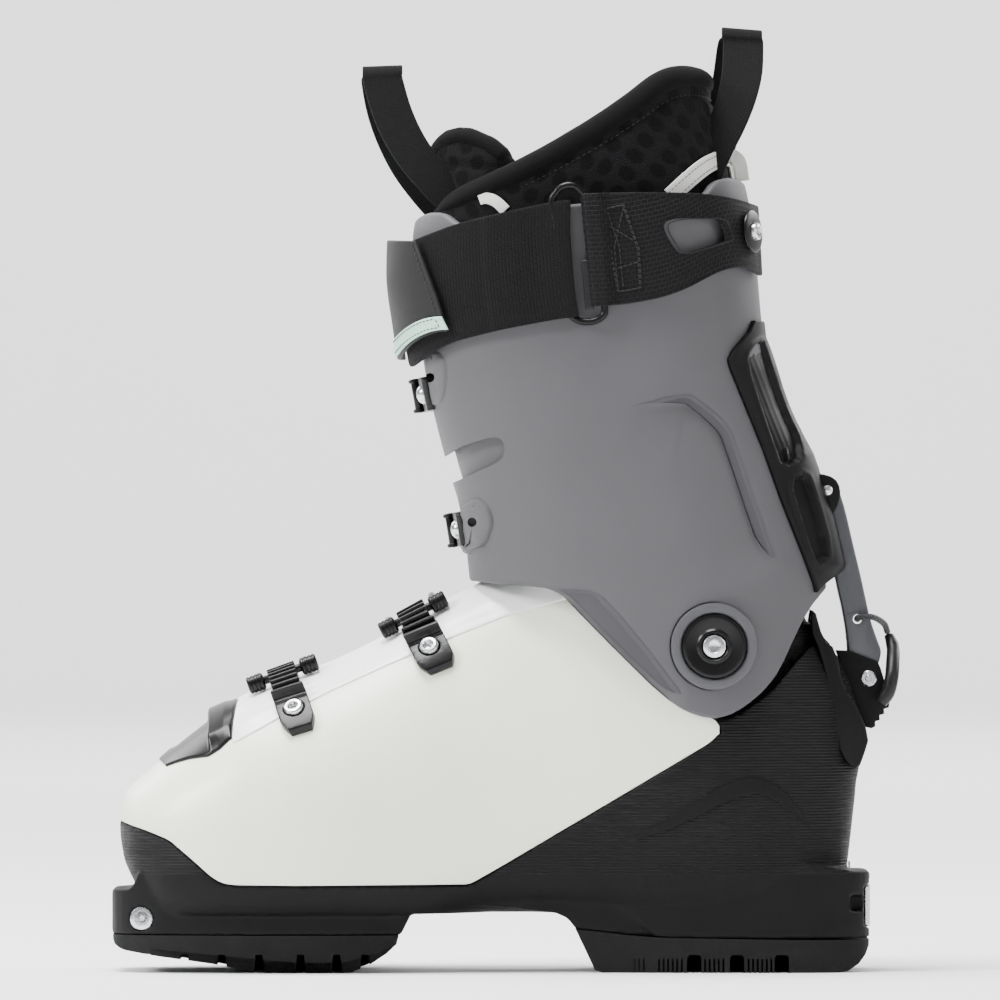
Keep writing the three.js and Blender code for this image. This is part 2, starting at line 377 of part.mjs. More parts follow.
spine = spine.subtract(rod([ax, -30, az], [ax, 30, az], 2.75, 14));
put('spine_cover', spine, 'black');
cuff = cuff.subtract(box(ax - 8, 170, -8, 8, 130, az - 4).intersect(prism([[112, 130], [117, 150], [119.6, 176], [160, 176], [160, 130]], -9, 9)));
put('arm_pin', rod([ax, -13.5, az], [ax, 13.5, az], 2.4, 14), 'steel');

// ---------------------------------------------------------------- buckles
// a: hinge direction, C: point on the centre line, depth: distance to the inner reference point
function buckle(name, F, C, a, depth, bT, bH, body, opts = {}) {
  const A = V(...a).normalize(), E2 = V(0, 1, 0), E1 = A.clone().cross(E2).normalize();
  const O = V(C[0], 0, C[1]).addScaledVector(E1, -depth);
  const at = (beta, s, off) => {            // surface point at angle beta, shifted s along the hinge
    const d = E1.clone().multiplyScalar(Math.cos(beta * D2R)).addScaledVector(E2, Math.sin(beta * D2R));
    const o = O.clone().addScaledVector(A, s);
    let lo = 5, hi = 130;
    for (let i = 0; i < 40; i++) { const m = (lo + hi) / 2, p = o.clone().addScaledVector(d, m); if (F(p.x, p.y, p.z) < 1) lo = m; else hi = m; }
    const p = o.addScaledVector(d, lo), n = legNormal(p.x, p.y, p.z, F);
    n.addScaledVector(A, -n.dot(A)).normalize();
    return p.addScaledVector(n, off);
  };
  const arr = v => [v.x, v.y, v.z];
  const strip = (b0, b1, n, hw, lo, hi, sh = 0) => {
    const rings = [];
    for (let i = 0; i <= n; i++) {
      const t = i / n, b = b0 + (b1 - b0) * t, w = hw(t);
      rings.push([arr(at(b, sh - w, lo(t))), arr(at(b, sh + w, lo(t))), arr(at(b, sh + w, hi(t))), arr(at(b, sh - w, hi(t)))]);
    }
    return loft(rings);
  };
  const H = at(bH, 0, 5.7);
  // bail pin sits 13 mm along the lever
  let bB = bH; while (at(bB, 0, 6.0).distanceTo(H) < 13 && bB < bH + 60) bB += 0.25;
  const B = at(bB, 0, 6.0);
  let bE = bB; while (at(bE, 0, 6.0).distanceTo(B) < (opts.len || 33) && bE < bB + 90) bE += 0.25;
  const rodA = (P, s0, s1, r, n = 12) => rod(arr(P.clone().addScaledVector(A, s0)), arr(P.clone().addScaledVector(A, s1)), r, n);
  // base plate with hinge barrel
  let base = strip(bH - 9, bH + 11, 4, t => 6.6, t => 0.5, t => 2.0).add(rodA(H, -3.4, 3.4, 3.3));
  base = base.add(strip(bH - 3.4, bH + 3.4, 2, t => 3.4, t => 1, t => 5.2));
  base = base.subtract(rodA(H, -5, 5, 1.75, 10)).subtract(rodA(H, -9, -3.55, 3.6)).subtract(rodA(H, 3.55, 9, 3.6));
  const skin = opts.skin;
  base = base.subtract(skin);
  const base0 = strip(bH - 9.5, bH + 11.5, 3, t => 6.9, t => -0.5, t => 2.3);
  // lever
  let lever = strip(bH - 1, bE, 7, t => (t < 0.42 ? 6.9 : 6.9 + 3.6 * Math.min(1, (t - 0.42) / 0.25)), t => 4.0 + (t > 0.9 ? 1.2 : 0), t => 8.2 - 0.6 * t + (t > 0.9 ? 1.2 : 0));
  lever = lever.add(rodA(H, -6.9, 6.9, 3.2));
  lever = lever.subtract(rodA(H, -3.9, 3.9, 4.2)).subtract(strip(bH - 8, bH + 8, 2, t => 3.9, t => -1, t => 6.2)).subtract(base0);
  lever = lever.add(rodA(H, -5, 5, 1.4, 10));
  lever = lever.subtract(rodA(B, -8, -4.2, WIRE_R + 0.35, 10)).subtract(rodA(B, 4.2, 8, WIRE_R + 0.35, 10));
  // bail: two wires, inward ends in the lever, cross bar with end caps at the rack
  const T = at(bT, 0, 4.6);
  const wire = s => {
    const pts = [arr(B.clone().addScaledVector(A, s))];
    const steps = 6;
    for (let i = 1; i < steps; i++) { const b = bB + (bT - bB) * i / steps; pts.push(arr(at(b, s, 4.9 + (i < 3 ? 1.0 : 0)))); }
    pts.push(arr(T.clone().addScaledVector(A, s)));
    return tube(pts, WIRE_R, 6, opts.steps || 7);
  };
  let bail = wire(-BAIL_S).add(wire(BAIL_S));
  bail = bail.add(rodA(B, -BAIL_S - 1.3, -4.5, WIRE_R, 6)).add(rodA(B, 4.5, BAIL_S + 1.3, WIRE_R, 6));
  const cap = opts.cap || 13.8;
  bail = bail.add(rodA(T, -cap, cap, 1.6, 8)).add(rodA(T, -cap, -7.2, 3.3, 10)).add(rodA(T, 7.2, cap, 3.3, 10));
  put(name + '_base', base, 'gun');
  put(name + '_lever', lever, 'gun');
  put(name + '_bail', bail, 'steel');
  return { A, E1, O, at, strip, H, B, T, bB, bE, arr, rodA };
}
const footSkin = footSolid(GAP), legSkin = legSolid(GAP, 100, 300);
function rackOn(b, name, bT, len, skin, mat, hw, screwMat) {
  const { at, strip, arr, A } = b;
  const sgn = -1;
  let b1 = bT; const P0 = at(bT, 0, 0); while (at(b1, 0, 0).distanceTo(P0) < len && b1 > bT - 80) b1 -= 0.25;
  let b0 = bT; while (at(b0, 0, 0).distanceTo(P0) < 7 && b0 < bT + 40) b0 += 0.25;
  const teeth = t => { const u = t * (len + 7); // distance along the rack from its lateral end
    if (u < 4.2) return 4.6; if (u < 9.6) return 2.2; if (u < 12.5) return 5.2; if (u < 15) return 3.2; if (u < 18) return 5.4; if (u < 20) return 3.2; return 4.2; };
  const n = 22;
  let rack = strip(b0, b1, n, hw, t => -0.5, teeth).subtract(skin);
  const sb = b1 + (bT - b1) * 0.26, S = at(sb, 0, 0), N = legNormal(S.x, S.y, S.z, b.F);
  const s0 = arr(S.clone().addScaledVector(N, 1.2)), s1 = arr(S.clone().addScaledVector(N, 9));
  rack = rack.subtract(rod(s0, s1, 4.0, 16));
  put(name, rack, mat);
  put(name + '_screw', rod(arr(S.clone().addScaledVector(N, 1.6)), arr(S.clone().addScaledVector(N, 5.0)), 3.7, 16), 'steel');
}
const tb = buckle('toe_buckle', footF, [-76.3, 106.7], [0.94, 0, 0.34], 46, -20, 60, 'base', { skin: footSkin });
tb.F = footF;
rackOn(tb, 'toe_rack', -20, 19, footSkin, 'black', t => 5.6 + (t > 0.55 ? 1.4 : 0));
const ib = buckle('instep_buckle', footF, [-28.0, 131.5], [0.888, 0, 0.46], 48, -19, 56, 'base', { skin: footSkin });
ib.F = footF;
rackOn(ib, 'instep_rack', -19, 21, footSkin, 'black', t => 5.8 + (t > 0.4 ? 1.6 : 0));
const lb = buckle('lower_cuff_buckle', legF, [-11.6, 165.7], [-0.15, 0, 0.989], 50, 1, 50, 'cuff', { skin: legSkin, steps: 5 });
lb.F = legF;
const ub = buckle('upper_cuff_buckle', legF, [-24.0, 216.4], [-0.17, 0, 0.985], 52, 1, 48, 'cuff', { skin: legSkin, steps: 5, cap: 12.2 });
ub.F = legF;
function catchOn(b, name, bC, hgt) {
  const { at, strip, arr } = b;
  const N = (() => { const S = at(bC, 0, 0); return legNormal(S.x, S.y, S.z, b.F); })();
  let plateM = strip(bC - 7, b.bCatchEnd, 12, t => 5.6, t => -0.5, t => (t > 0.93 ? 4.8 : t > 0.5 ? 2.3 : 3.2)).subtract(legSkin);
  const S = at(bC, 0, 0);
  plateM = plateM.subtract(rod(arr(S.clone().addScaledVector(N, 1.0)), arr(S.clone().addScaledVector(N, 9)), 4.0, 16));
  put(name, plateM, 'gun');
  put(name + '_rivet', rod(arr(S.clone().addScaledVector(N, 1.3)), arr(S.clone().addScaledVector(N, 5.0)), 3.7, 14, 2.8), 'steel');
}
lb.bCatchEnd = 9.5; ub.bCatchEnd = 9.5;
catchOn(lb, 'lower_catch', -10);
catchOn(ub, 'upper_catch', -10);
// moulded bosses on the cuff beside the catches
const hexBoss = [[-10.5, 174.7], [-5.6, 177.7], [0.0, 172.8], [-0.4, 167.2], [-2.6, 160.8], [-8.6, 157.4]];
const hexB = legSolid(1.6, 150, 200).subtract(legSolid(-1, 140, 210)).intersect(prism(hexBoss, -60, 0));
cuff = cuff.add(hexB.subtract(strapClear(lb)));
const upBoss = [[-24.8, 232.2], [-19.9, 232.2], [-18.8, 224.7], [-19.5, 217.2], [-24.0, 215.3]];
const upB = legSolid(1.6, 205, 245).subtract(legSolid(-1, 200, 250)).intersect(prism(upBoss, -60, 0));
cuff = cuff.add(upB.subtract(strapClear(ub)));
function strapClear(b) { return b.strip(-19.5, 13, 6, t => 6.4, t => -0.4, t => 8); }
cuff = cuff.subtract(rod([-7.1, -60, 168.3], [-7.1, 0, 168.3], 1.7, 12)).subtract(rod([-22.5, -60, 222.4], [-22.5, 0, 222.4], 1.7, 12));
put('cuff', cuff, 'grey');

// ================================================================ ankle hinge caps
for (const [s, tag] of [[-1, 'medial'], [1, 'lateral']]) {
  let disc = rod([PIVOT[0], s * 47.7, PIVOT[1]], [PIVOT[0], s * 50.2, PIVOT[1]], PIVOT_R, 28).subtract(rod([PIVOT[0], s * 44, PIVOT[1]], [PIVOT[0], s * 60, PIVOT[1]], 4.9, 20));
  put('pivot_disc_' + tag, disc, 'black');
  let scr = rod([PIVOT[0], s * 43.4, PIVOT[1]], [PIVOT[0], s * 50.6, PIVOT[1]], 4.3, 20);
  scr = scr.subtract(rod([PIVOT[0], s * 48.4, PIVOT[1]], [PIVOT[0], s * 52, PIVOT[1]], 2.3, 6));
  put('pivot_screw_' + tag, scr, 'steel');
}

// ================================================================ walk lever
const armXZ = [[125.9, 183.7], [129.6, 183.3], [132.6, 172.8], [136.0, 159.7], [141.6, 136.0], [143.9, 127.0], [146.5, 121.0], [144.6, 117.6], [141.6, 118.7], [134.1, 121.7], [129.6, 142.8], [125.1, 177.3], [124.0, 180.3]];
let arm = prism(armXZ, -7.4, 7.4);
arm = arm.subtract(rod([ax, -20, az], [ax, 20, az], 2.75, 14));
arm = arm.subtract(rod([137.7, -20, 131.9], [137.7, 20, 131.9], 1.75, 12));
put('walk_arm', arm, 'arm');
const blockXZ = [[131.9, 119.8], [134.1, 120.0], [141.6, 117.2], [145.0, 116.1], [146.1, 113.8], [149.9, 101.4], [147.7, 98.4], [145.4, 96.9], [142.4, 91.3], [139.4, 99.2], [136.8, 108.2], [134.5, 113.5]];
let block = prism(blockXZ, -9.6, 9.6).subtract(rod([LATCH_PIN[0], -20, LATCH_PIN[1]], [LATCH_PIN[0], 20, LATCH_PIN[1]], 3.05, 16));
block = block.subtract(prism([[131.1, 124.0], [131.1, 119.5], [141.6, 116.8], [147.7, 115.0], [149.9, 120.2], [146.1, 124.0]], -20, 20));
put('latch_block', block, 'black');
put('latch_pin', rod([LATCH_PIN[0], -11.0, LATCH_PIN[1]], [LATCH_PIN[0], 11.0, LATCH_PIN[1]], 2.7, 16), 'steel');
// pull cord through the lever, both strands held in a sleeve
const cx = 137.7, cz = 131.9;
put('pull_cord', tube([[149.0, -1.7, 126.9], [147.6, -4.2, 130.2], [143.4, -8.9, 132.6], [cx + 0.6, -9.4, cz + 0.2], [cx, -7.5, cz], [cx, 0, cz], [cx, 7.5, cz], [cx + 0.6, 9.4, cz + 0.2], [143.4, 8.9, 132.6], [147.6, 4.2, 130.2], [149.0, 1.7, 126.9]], 1.2, 8, 28), 'web');
put('cord_sleeve', tube([[149.6, 0, 124.9], [151.0, -3, 120.6], [150.6, -8.2, 116], [150, -13, 110], [148.6, -13.4, 104.4], [146.1, -13.4, 100.7]], 2.8, 10, 14), 'rubber');

// ================================================================ liner above the foot
const linerTop = [[-16.5, 288.5], [-7.9, 294.2], [14.7, 305.1], [35.3, 316.3], [56.0, 328.7], [64.2, 335.1], [72.9, 338.5], [80.4, 338.1], [84.5, 335.1], [101.1, 330.6], [153.7, 289.3], [153.7, 154.0], [-34.2, 154.0], [-34.2, 278.0]];
const bottomCut = prism(circle(PIVOT[0], PIVOT[1], 58.5), -70, 70);
let legPad = legSolid(-WALL - GAP, 150, 341).subtract(legSolid(-WALL - GAP - LINER_T, 140, 345)).intersect(prism(linerTop, -70, 70));
// keep it above the shell all through the cuff travel
const keepUp = prism([[-40, 172], [10, 172], [28, 176], [60, 200], [110, 200], [140, 200], [140, 400], [-40, 400]], -70, 70);
legPad = legPad.intersect(keepUp).subtract(bottomCut);
legPad = legPad.subtract(box(-60, 12, -11, 11, 150, 400));
put('liner_cuff', legPad, 'liner');
const tongueRows = [];
{
  const rows = [[176, -4.2, 7.5, 25], [190, -3.2, 8.5, 27], [205, -7.0, 5, 29], [222, -11.0, 1, 31], [245, -14.6, -3, 32], [270, -17.2, -6, 32], [290, -18.6, -8, 31], [304, -21.5, -11, 29], [312, -23, -14, 26], [316, -22.2, -17, 20]];
  for (const [z, xo, xi, w] of rows) {
    const r = [], m = 7, y = t => w * Math.sin(t * 78 * D2R);
    const arc = (x0, k) => { for (let i = 0; i <= m; i++) { const t = -1 + 2 * i / m; const q = k > 0 ? t : -t; const yy = y(q) * (k > 0 ? 1 : 0.86); r.push([x0 + 0.52 * w * (1 - Math.cos(q * 78 * D2R)), yy, z]); } };
    arc(xo, 1); arc(xi, -1);
    tongueRows.push(r);
  }
}
const padInner2 = legSolid(-WALL - GAP - LINER_T - 0.7, 140, 345);
let tongue = loft(tongueRows);
tongue = tongue.intersect(padInner2.add(box(-80, 12, -10.5, 10.5, 150, 330)).add(box(-80, 60, -40, 40, 291, 330)));
tongue = tongue.subtract(legPad).subtract(legPad.translate([-0.45, 0, 0.4])).subtract(legSolid(-WALL, 287, 345).subtract(legSolid(-WALL - GAP - LINER_T - 0.5, 280, 350)).intersect(prism(grow(linerTop, 0.4), -70, -11)));
tongue = tongue.subtract(legSolid(-WALL, 287, 345).subtract(legSolid(-WALL - GAP - LINER_T - 0.5, 280, 350)).intersect(prism(grow(linerTop, 0.4), 11, 70)));
put('tongue', tongue, 'liner');

// ================================================================ webbing
function ribbon(pts, wid, w, t) {            // pts: centre line; wid: width direction at each point
  const rings = pts.map((p, i) => {
    const q = pts[Math.min(i + 1, pts.length - 1)], o = pts[Math.max(i - 1, 0)];
    const d = V(q[0] - o[0], q[1] - o[1], q[2] - o[2]).normalize(), W = V(...wid[i]).normalize(), T = d.clone().cross(W).normalize();
    const c = V(...p);
    return [[1, 1], [-1, 1], [-1, -1], [1, -1]].map(([a, b]) => { const v = c.clone().addScaledVector(W, a * w / 2).addScaledVector(T, b * t / 2); return [v.x, v.y, v.z]; });
  });
  return loft(rings);
}
function loopRibbon(low, yLow, wLow, top, half, w, t, wTop) {
  // two strands that leave the padding flat, turn edge-on and meet in a fold at the top
  const pts = [], wid = [], n = 5, side = [];
  const leg = (k, q) => {
    const e = k * k * (3 - 2 * k);
    pts.push([low[0] + (top[0] - low[0]) * k ** 0.9, q * (yLow + (half - yLow) * Math.sin(k * 90 * D2R)), low[1] + (top[1] - half - low[1]) * k]);
    const f = Math.min(1, k * 1.7), g = f * f * (3 - 2 * f);
    wid.push([wLow[0] + (wTop[0] - wLow[0]) * g, -q * (wLow[1] + (wTop[1] - wLow[1]) * g), wLow[2] + (wTop[2] - wLow[2]) * g]);
  };
  for (let i = 0; i <= n; i++) leg(i / n, -1);
  for (let i = 1; i < 6; i++) { const q = Math.PI - i / 6 * Math.PI; pts.push([top[0], half * Math.cos(q), top[1] - half + half * Math.sin(q)]); wid.push(wTop); }
  for (let i = n; i >= 0; i--) leg(i / n, 1);
  return ribbon(pts, wid, w, t);
}
let frontLoop = loopRibbon([-15.2, 291.5], 19.5, [0.5, -0.86, 0.1], [-41.0, 339.6], 6.5, 15, 1.6, [0.93, 0, 0.36]);
frontLoop = frontLoop.subtract(tongue).subtract(tongue.translate([-0.4, 0, 0.2])).subtract(legPad).subtract(legPad.translate([0, 0, 0.3]));
put('tongue_loop', frontLoop, 'web');
let rearLoop = loopRibbon([86.0, 305], 26, [0.45, 0.89, 0], [94.7, 352.6], 6.5, 15, 1.6, [1, 0, -0.12]).subtract(legSolid(-WALL, 295, 341).intersect(prism(grow(linerTop, 0.3), -70, 70)));
rearLoop = rearLoop.subtract(legSolid(0.3, 290, 303));
put('liner_loop', rearLoop, 'web');

const strapOut = (lo, hi, z0, z1, f = 0) => legSolid(hi, z0, z1, f).subtract(legSolid(lo, z0 - 5, z1 + 5, f));
const strapXZ = [[-41.7, 269.8], [-28.9, 273.9], [-12.8, 279.5], [7.1, 284.0], [25.9, 287.8], [30.4, 288.2], [34.9, 266.0], [37.2, 246.5], [29.7, 244.6], [3.4, 239.7], [-16.5, 234.8], [-29.7, 226.2], [-34.2, 226.2], [-41.7, 229.2]];
const strapZ0 = 215, strapZ1 = 300;
let strapMed = strapOut(1.1, 3.1, strapZ0, strapZ1, 2.6).intersect(prism(strapXZ, -80, 0));
const strapLatXZ = [[-41.7, 269.8], [-28.9, 273.9], [-12.8, 279.5], [7.1, 284.0], [25.9, 287.8], [41.0, 289.7], [71.0, 289.7], [99.9, 286.7], [99.9, 263.7], [91.7, 263.7], [78.5, 258.1], [63.5, 251.7], [37.2, 248.7], [3.4, 242.0], [-16.5, 238.9], [-29.7, 238.2], [-41.7, 237.4]];
let strapLat = strapOut(1.1, 3.1, strapZ0, strapZ1, 2.6).intersect(prism(strapLatXZ, 0, 80));
put('power_strap', strapMed.add(strapLat).subtract(box(-60, -12, -7, 20, 200, 231.6)), 'web');
const tabXZ = [[-41.7, 275.8], [-28.9, 273.1], [-15.8, 240.1], [-20.7, 238.2], [-34.9, 230.7], [-41.7, 229.2]];
put('strap_tab', strapOut(3.45, 5.2, strapZ0, strapZ1, 4.4).intersect(prism(tabXZ, -80, 10)), 'strapgrey');
const ringPts = [[24.4, 290.8], [28.6, 293.4], [33.1, 291.9], [36.1, 287.0], [38.7, 270.5], [42.1, 249.5], [41.3, 245.0], [37.2, 243.1], [31.9, 243.8], [28.9, 248.7], [25.9, 268.6], [22.9, 286.3]];
const ringPath = ringPts.map(p => { const [q] = onSide(p[0], p[1], -1, legF, 8.2); return [q.x, q.y, q.z]; });
put('strap_ring', tube(ringPath, 1.3, 6, 30, true), 'gun');
const rearXZ = [[37.2, 290.4], [78.5, 290.8], [99.9, 287.0], [101.8, 260.7], [91.7, 263.7], [78.5, 258.1], [63.5, 251.7], [39.8, 248.7]];
let rearStrap = strapOut(1.1, 3.3, strapZ0, strapZ1, 2.6).intersect(prism(rearXZ, -80, 0)).subtract(prism(windowXZ, -80, 0));
put('rear_strap', rearStrap, 'strapgrey');

// rivets through the strap ends
for (const [s, tag] of [[-1, 'medial'], [1, 'lateral']]) {
  const [q, n] = onSide(93.9, 276.5, s, legF, 0);
  const P = k => { const v = q.clone().addScaledVector(n, k); return [v.x, v.y, v.z]; };
  put('strap_screw_' + tag, rod(P(4.9), P(7.0), 3.2, 14), 'steel');
  put('strap_washer_' + tag, rod(P(3.75), P(4.6), 8.0, 20), 'steel');
}

// ================================================================ out
const skipBox = new Set(['pull_cord', 'cord_sleeve']);
const bb = new THREE.Box3();
const meshes = [];
for (const [name, m, mat] of PARTS) {
  const mm = m.getMesh(), np = mm.numProp, pos = [];
  for (let i = 0; i < mm.vertProperties.length; i += np) pos.push(mm.vertProperties[i], mm.vertProperties[i + 1], mm.vertProperties[i + 2]);
  const g = new THREE.BufferGeometry();
  g.setAttribute('position', new THREE.Float32BufferAttribute(pos, 3));
  g.setIndex(Array.from(mm.triVerts));
  const [c, r, me] = MATS[mat];
  const mesh = new THREE.Mesh(g, new THREE.MeshStandardMaterial({ color: new THREE.Color(c), roughness: r, metalness: me }));
  mesh.name = name;
  g.computeBoundingBox();
  if (!skipBox.has(name)) bb.union(g.boundingBox);
  meshes.push(mesh);
}
const shift = [-(bb.min.x + bb.max.x) / 2, -(bb.min.y + bb.max.y) / 2, -bb.min.z];
const group = new THREE.Group();
group.name = 'ski_boot';
for (const m of meshes) { m.geometry.translate(...shift); group.add(m); }
group.userData.shift = shift;
export const notes = { shift, tb, ib, lb, ub };
export default group;
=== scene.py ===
# Looks of the alpine touring ski boot. Every shape is worked out in millimetres in the drawing frame
# (toe -X, heel +X, inner side -Y, up +Z) and moved into the row frame in metres when its mesh is made.
import bpy, bmesh, json, math
import numpy as np
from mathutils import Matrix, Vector
from mathutils.bvhtree import BVHTree

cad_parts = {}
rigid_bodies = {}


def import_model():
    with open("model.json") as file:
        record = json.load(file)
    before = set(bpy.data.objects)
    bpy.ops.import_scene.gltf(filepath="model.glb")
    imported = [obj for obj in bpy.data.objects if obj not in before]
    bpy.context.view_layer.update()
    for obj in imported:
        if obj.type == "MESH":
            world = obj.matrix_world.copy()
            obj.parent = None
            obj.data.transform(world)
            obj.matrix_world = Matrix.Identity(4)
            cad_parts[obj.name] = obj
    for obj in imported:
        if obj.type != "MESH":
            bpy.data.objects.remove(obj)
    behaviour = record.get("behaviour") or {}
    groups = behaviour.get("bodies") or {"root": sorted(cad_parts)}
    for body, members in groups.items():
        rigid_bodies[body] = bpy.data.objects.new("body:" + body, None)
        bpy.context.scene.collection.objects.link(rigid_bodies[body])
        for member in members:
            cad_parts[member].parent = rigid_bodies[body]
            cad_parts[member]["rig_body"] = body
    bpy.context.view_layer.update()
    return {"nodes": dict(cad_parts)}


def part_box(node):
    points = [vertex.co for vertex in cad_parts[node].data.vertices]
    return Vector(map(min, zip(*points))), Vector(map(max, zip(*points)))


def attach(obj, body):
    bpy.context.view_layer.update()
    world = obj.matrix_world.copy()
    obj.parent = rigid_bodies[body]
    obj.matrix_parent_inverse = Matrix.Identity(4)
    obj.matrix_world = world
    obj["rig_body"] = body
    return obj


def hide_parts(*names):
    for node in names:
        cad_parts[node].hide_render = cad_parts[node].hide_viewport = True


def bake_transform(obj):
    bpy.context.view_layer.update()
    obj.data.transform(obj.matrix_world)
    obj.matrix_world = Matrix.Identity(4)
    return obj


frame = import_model()
rng = np.random.default_rng(7)

_lo, _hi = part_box("heel_insert")
SH = np.array([_hi[0] * 1000 - 142.0, (_lo[1] + _hi[1]) * 500, _hi[2] * 1000 - 33.8])

# ---------------------------------------------------------------- tables of the shapes
FOOT = [
    [-139.4, 1, 1, 55.2, 56, 57, 2.1], [-139.15, 6, 6.5, 51, 55.6, 59.4, 2.1],
    [-138.6, 12, 13, 47, 55, 62, 2.2], [-137.6, 19.5, 20.5, 42, 54, 66.0, 2.2], [-134, 29, 30, 34, 52, 70.5, 2.3],
    [-128, 37, 38, 24, 50, 75.5, 2.3], [-122, 42.5, 43, 17, 49, 81, 2.3], [-114, 46.5, 47, 15, 49, 87.5, 2.3],
    [-104, 50, 50, 15, 50, 95, 2.3], [-92, 52.5, 52, 15, 52, 103, 2.3], [-76, 54, 53, 15, 53, 109.2, 2.3],
    [-60.5, 53, 52.5, 15, 55, 115.0, 2.3], [-41.7, 50, 50.5, 15, 58, 124, 2.3], [-28, 47.5, 48.5, 16, 60, 131.8, 2.3],
    [-14.7, 45, 46, 20, 62, 139.3, 2.3], [0, 43, 44, 22, 66, 146.5, 2.4], [15, 41.8, 42.5, 22, 70, 152, 2.5],
    [35, 41.5, 42, 20, 76, 157, 2.7], [60, 41.5, 42, 15, 80, 157, 2.9], [83, 41.5, 41.8, 13.5, 82, 154, 3],
    [100, 40, 40.2, 13.5, 82, 146, 3], [112, 37, 37, 13.5, 82, 138, 3], [120, 33, 33, 13.5, 82, 130.5, 2.8],
    [126, 29, 29, 14, 82, 124, 2.7], [130.4, 25, 25, 20, 83, 119.5, 2.6], [134.2, 20.5, 20.5, 44, 84, 112.5, 2.5],
    [137.2, 16, 16, 70, 86, 104.5, 2.4], [140, 11, 11, 81, 88.2, 96, 2.3], [141.8, 5, 5, 86, 88.6, 91, 2.2]]
LEG = [
    [70, -1, 121, 47.4], [96, -3, 124, 47.6], [120, -5, 126, 47.8], [140, -7.5, 126, 48.2], [153, -8.8, 125, 48.6],
    [165, -10.2, 122.5, 49], [176, -12.4, 119.8, 49.5], [188, -16, 116, 50], [203, -20, 110.5, 50.6], [218, -23.5, 105.5, 51.2],
    [240, -27.2, 102, 52.2], [262, -29.8, 100, 53.4], [276, -29.4, 98.5, 54.2], [286, -27.5, 97.2, 54.8], [300, -25.2, 94, 54.8],
    [318, -24.5, 89.5, 54.4], [342, -24, 85, 54]]
LEG_N = 2.5
WALL, GAP, LINER_T = 4.2, 0.35, 7.5
PIVOT = (83.2, 122.1)
ARM_PIN = (126.2, 180.3)
LATCH_PIN = (141.6, 109.7)
INSERT = (-130.4, 20.3)
D2R = math.pi / 180


class Tab:
    """Smooth monotone curves through the rows of a table."""

    def __init__(s, rows):
        a = np.array(rows, float)
        s.x, s.y = a[:, 0], a[:, 1:]
        h = np.diff(s.x)[:, None]
        d = np.diff(s.y, axis=0) / h
        m = np.zeros_like(s.y)
        if len(s.x) > 2:
            w1, w2 = 2 * h[1:] + h[:-1], h[1:] + 2 * h[:-1]
            with np.errstate(divide="ignore", invalid="ignore"):
                hm = (w1 + w2) / (w1 / d[:-1] + w2 / d[1:])
            m[1:-1] = np.where(d[:-1] * d[1:] > 0, hm, 0)
        m[0], m[-1] = d[0], d[-1]
        s.m = m

    def __call__(s, x):
        x = np.clip(np.asarray(x, float), s.x[0], s.x[-1])
        i = np.clip(np.searchsorted(s.x, x, "right") - 1, 0, len(s.x) - 2)
        h = s.x[i + 1] - s.x[i]
        t = ((x - s.x[i]) / h)[..., None]
        h = h[..., None]
        return ((2 * t**3 - 3 * t**2 + 1) * s.y[i] + (t**3 - 2 * t**2 + t) * h * s.m[i]
                + (-2 * t**3 + 3 * t**2) * s.y[i + 1] + (t**3 - t**2) * h * s.m[i + 1])


FT, LT = Tab(FOOT), Tab(LEG)


def foot_pt(x, phi, off=0.0):
    """Point on the foot of the shell. phi 0 is the crest, + goes down the inner side."""
    x, phi = np.broadcast_arrays(np.asarray(x, float), np.asarray(phi, float))
    t = FT(x)
    wi, wo, zb, zc, zt, n = (t[..., k] for k in range(6))
    s, c = np.sin(phi), np.cos(phi)
    w = np.where(s >= 0, wi, wo) + off
    h = np.where(c >= 0, zt - zc, zc - zb) + off
    e = np.where(c >= 0, 2 / n, 2 / 3.4)
    return np.stack([x, -np.sign(s) * w * np.abs(s) ** e, zc + np.sign(c) * h * np.abs(c) ** e], -1)


def foot_phi(x, z):
    """phi of the point of the inner side at x and height z."""
    t = FT(x)
    zb, zc, zt, n = t[..., 2], t[..., 3], t[..., 4], t[..., 5]
    up = z >= zc
    q = np.clip(np.where(up, (z - zc) / (zt - zc), (zc - z) / (zc - zb)), 0, 1)
    c = np.where(up, q ** (n / 2), -(q ** 1.7))
    return np.arccos(np.clip(c, -1, 1))


def foot_F(x, y, z):
    t = FT(x)
    wi, wo, zb, zc, zt, n = (t[..., k] for k in range(6))
    w = np.where(y < 0, wi, wo)
    h = np.where(z < zc, zc - zb, zt - zc)
    e = np.where(z < zc, 3.4, n)
    return np.abs(y / w) ** e + np.abs((z - zc) / h) ** e


def leg_pt(z, t, off=0.0, front=0.0):
    """Point on the outer face of the cuff. t 0 is the rear, pi the front, + on the outer side."""
    z, t = np.broadcast_arrays(np.asarray(z, float), np.asarray(t, float))
    q = LT(z)
    xf, xb, w = q[..., 0] - off - front, q[..., 1] + off, q[..., 2] + off
    k, s = np.cos(t), np.sin(t)
    e = 2 / LEG_N
    return np.stack([(xf + xb) / 2 + np.sign(k) * (xb - xf) / 2 * np.abs(k) ** e, np.sign(s) * w * np.abs(s) ** e, z], -1)


def leg_F(x, y, z):
    q = LT(z)
    xf, xb, w = q[..., 0], q[..., 1], q[..., 2]
    return np.abs((x - (xf + xb) / 2) / ((xb - xf) / 2)) ** LEG_N + np.abs(y / w) ** LEG_N


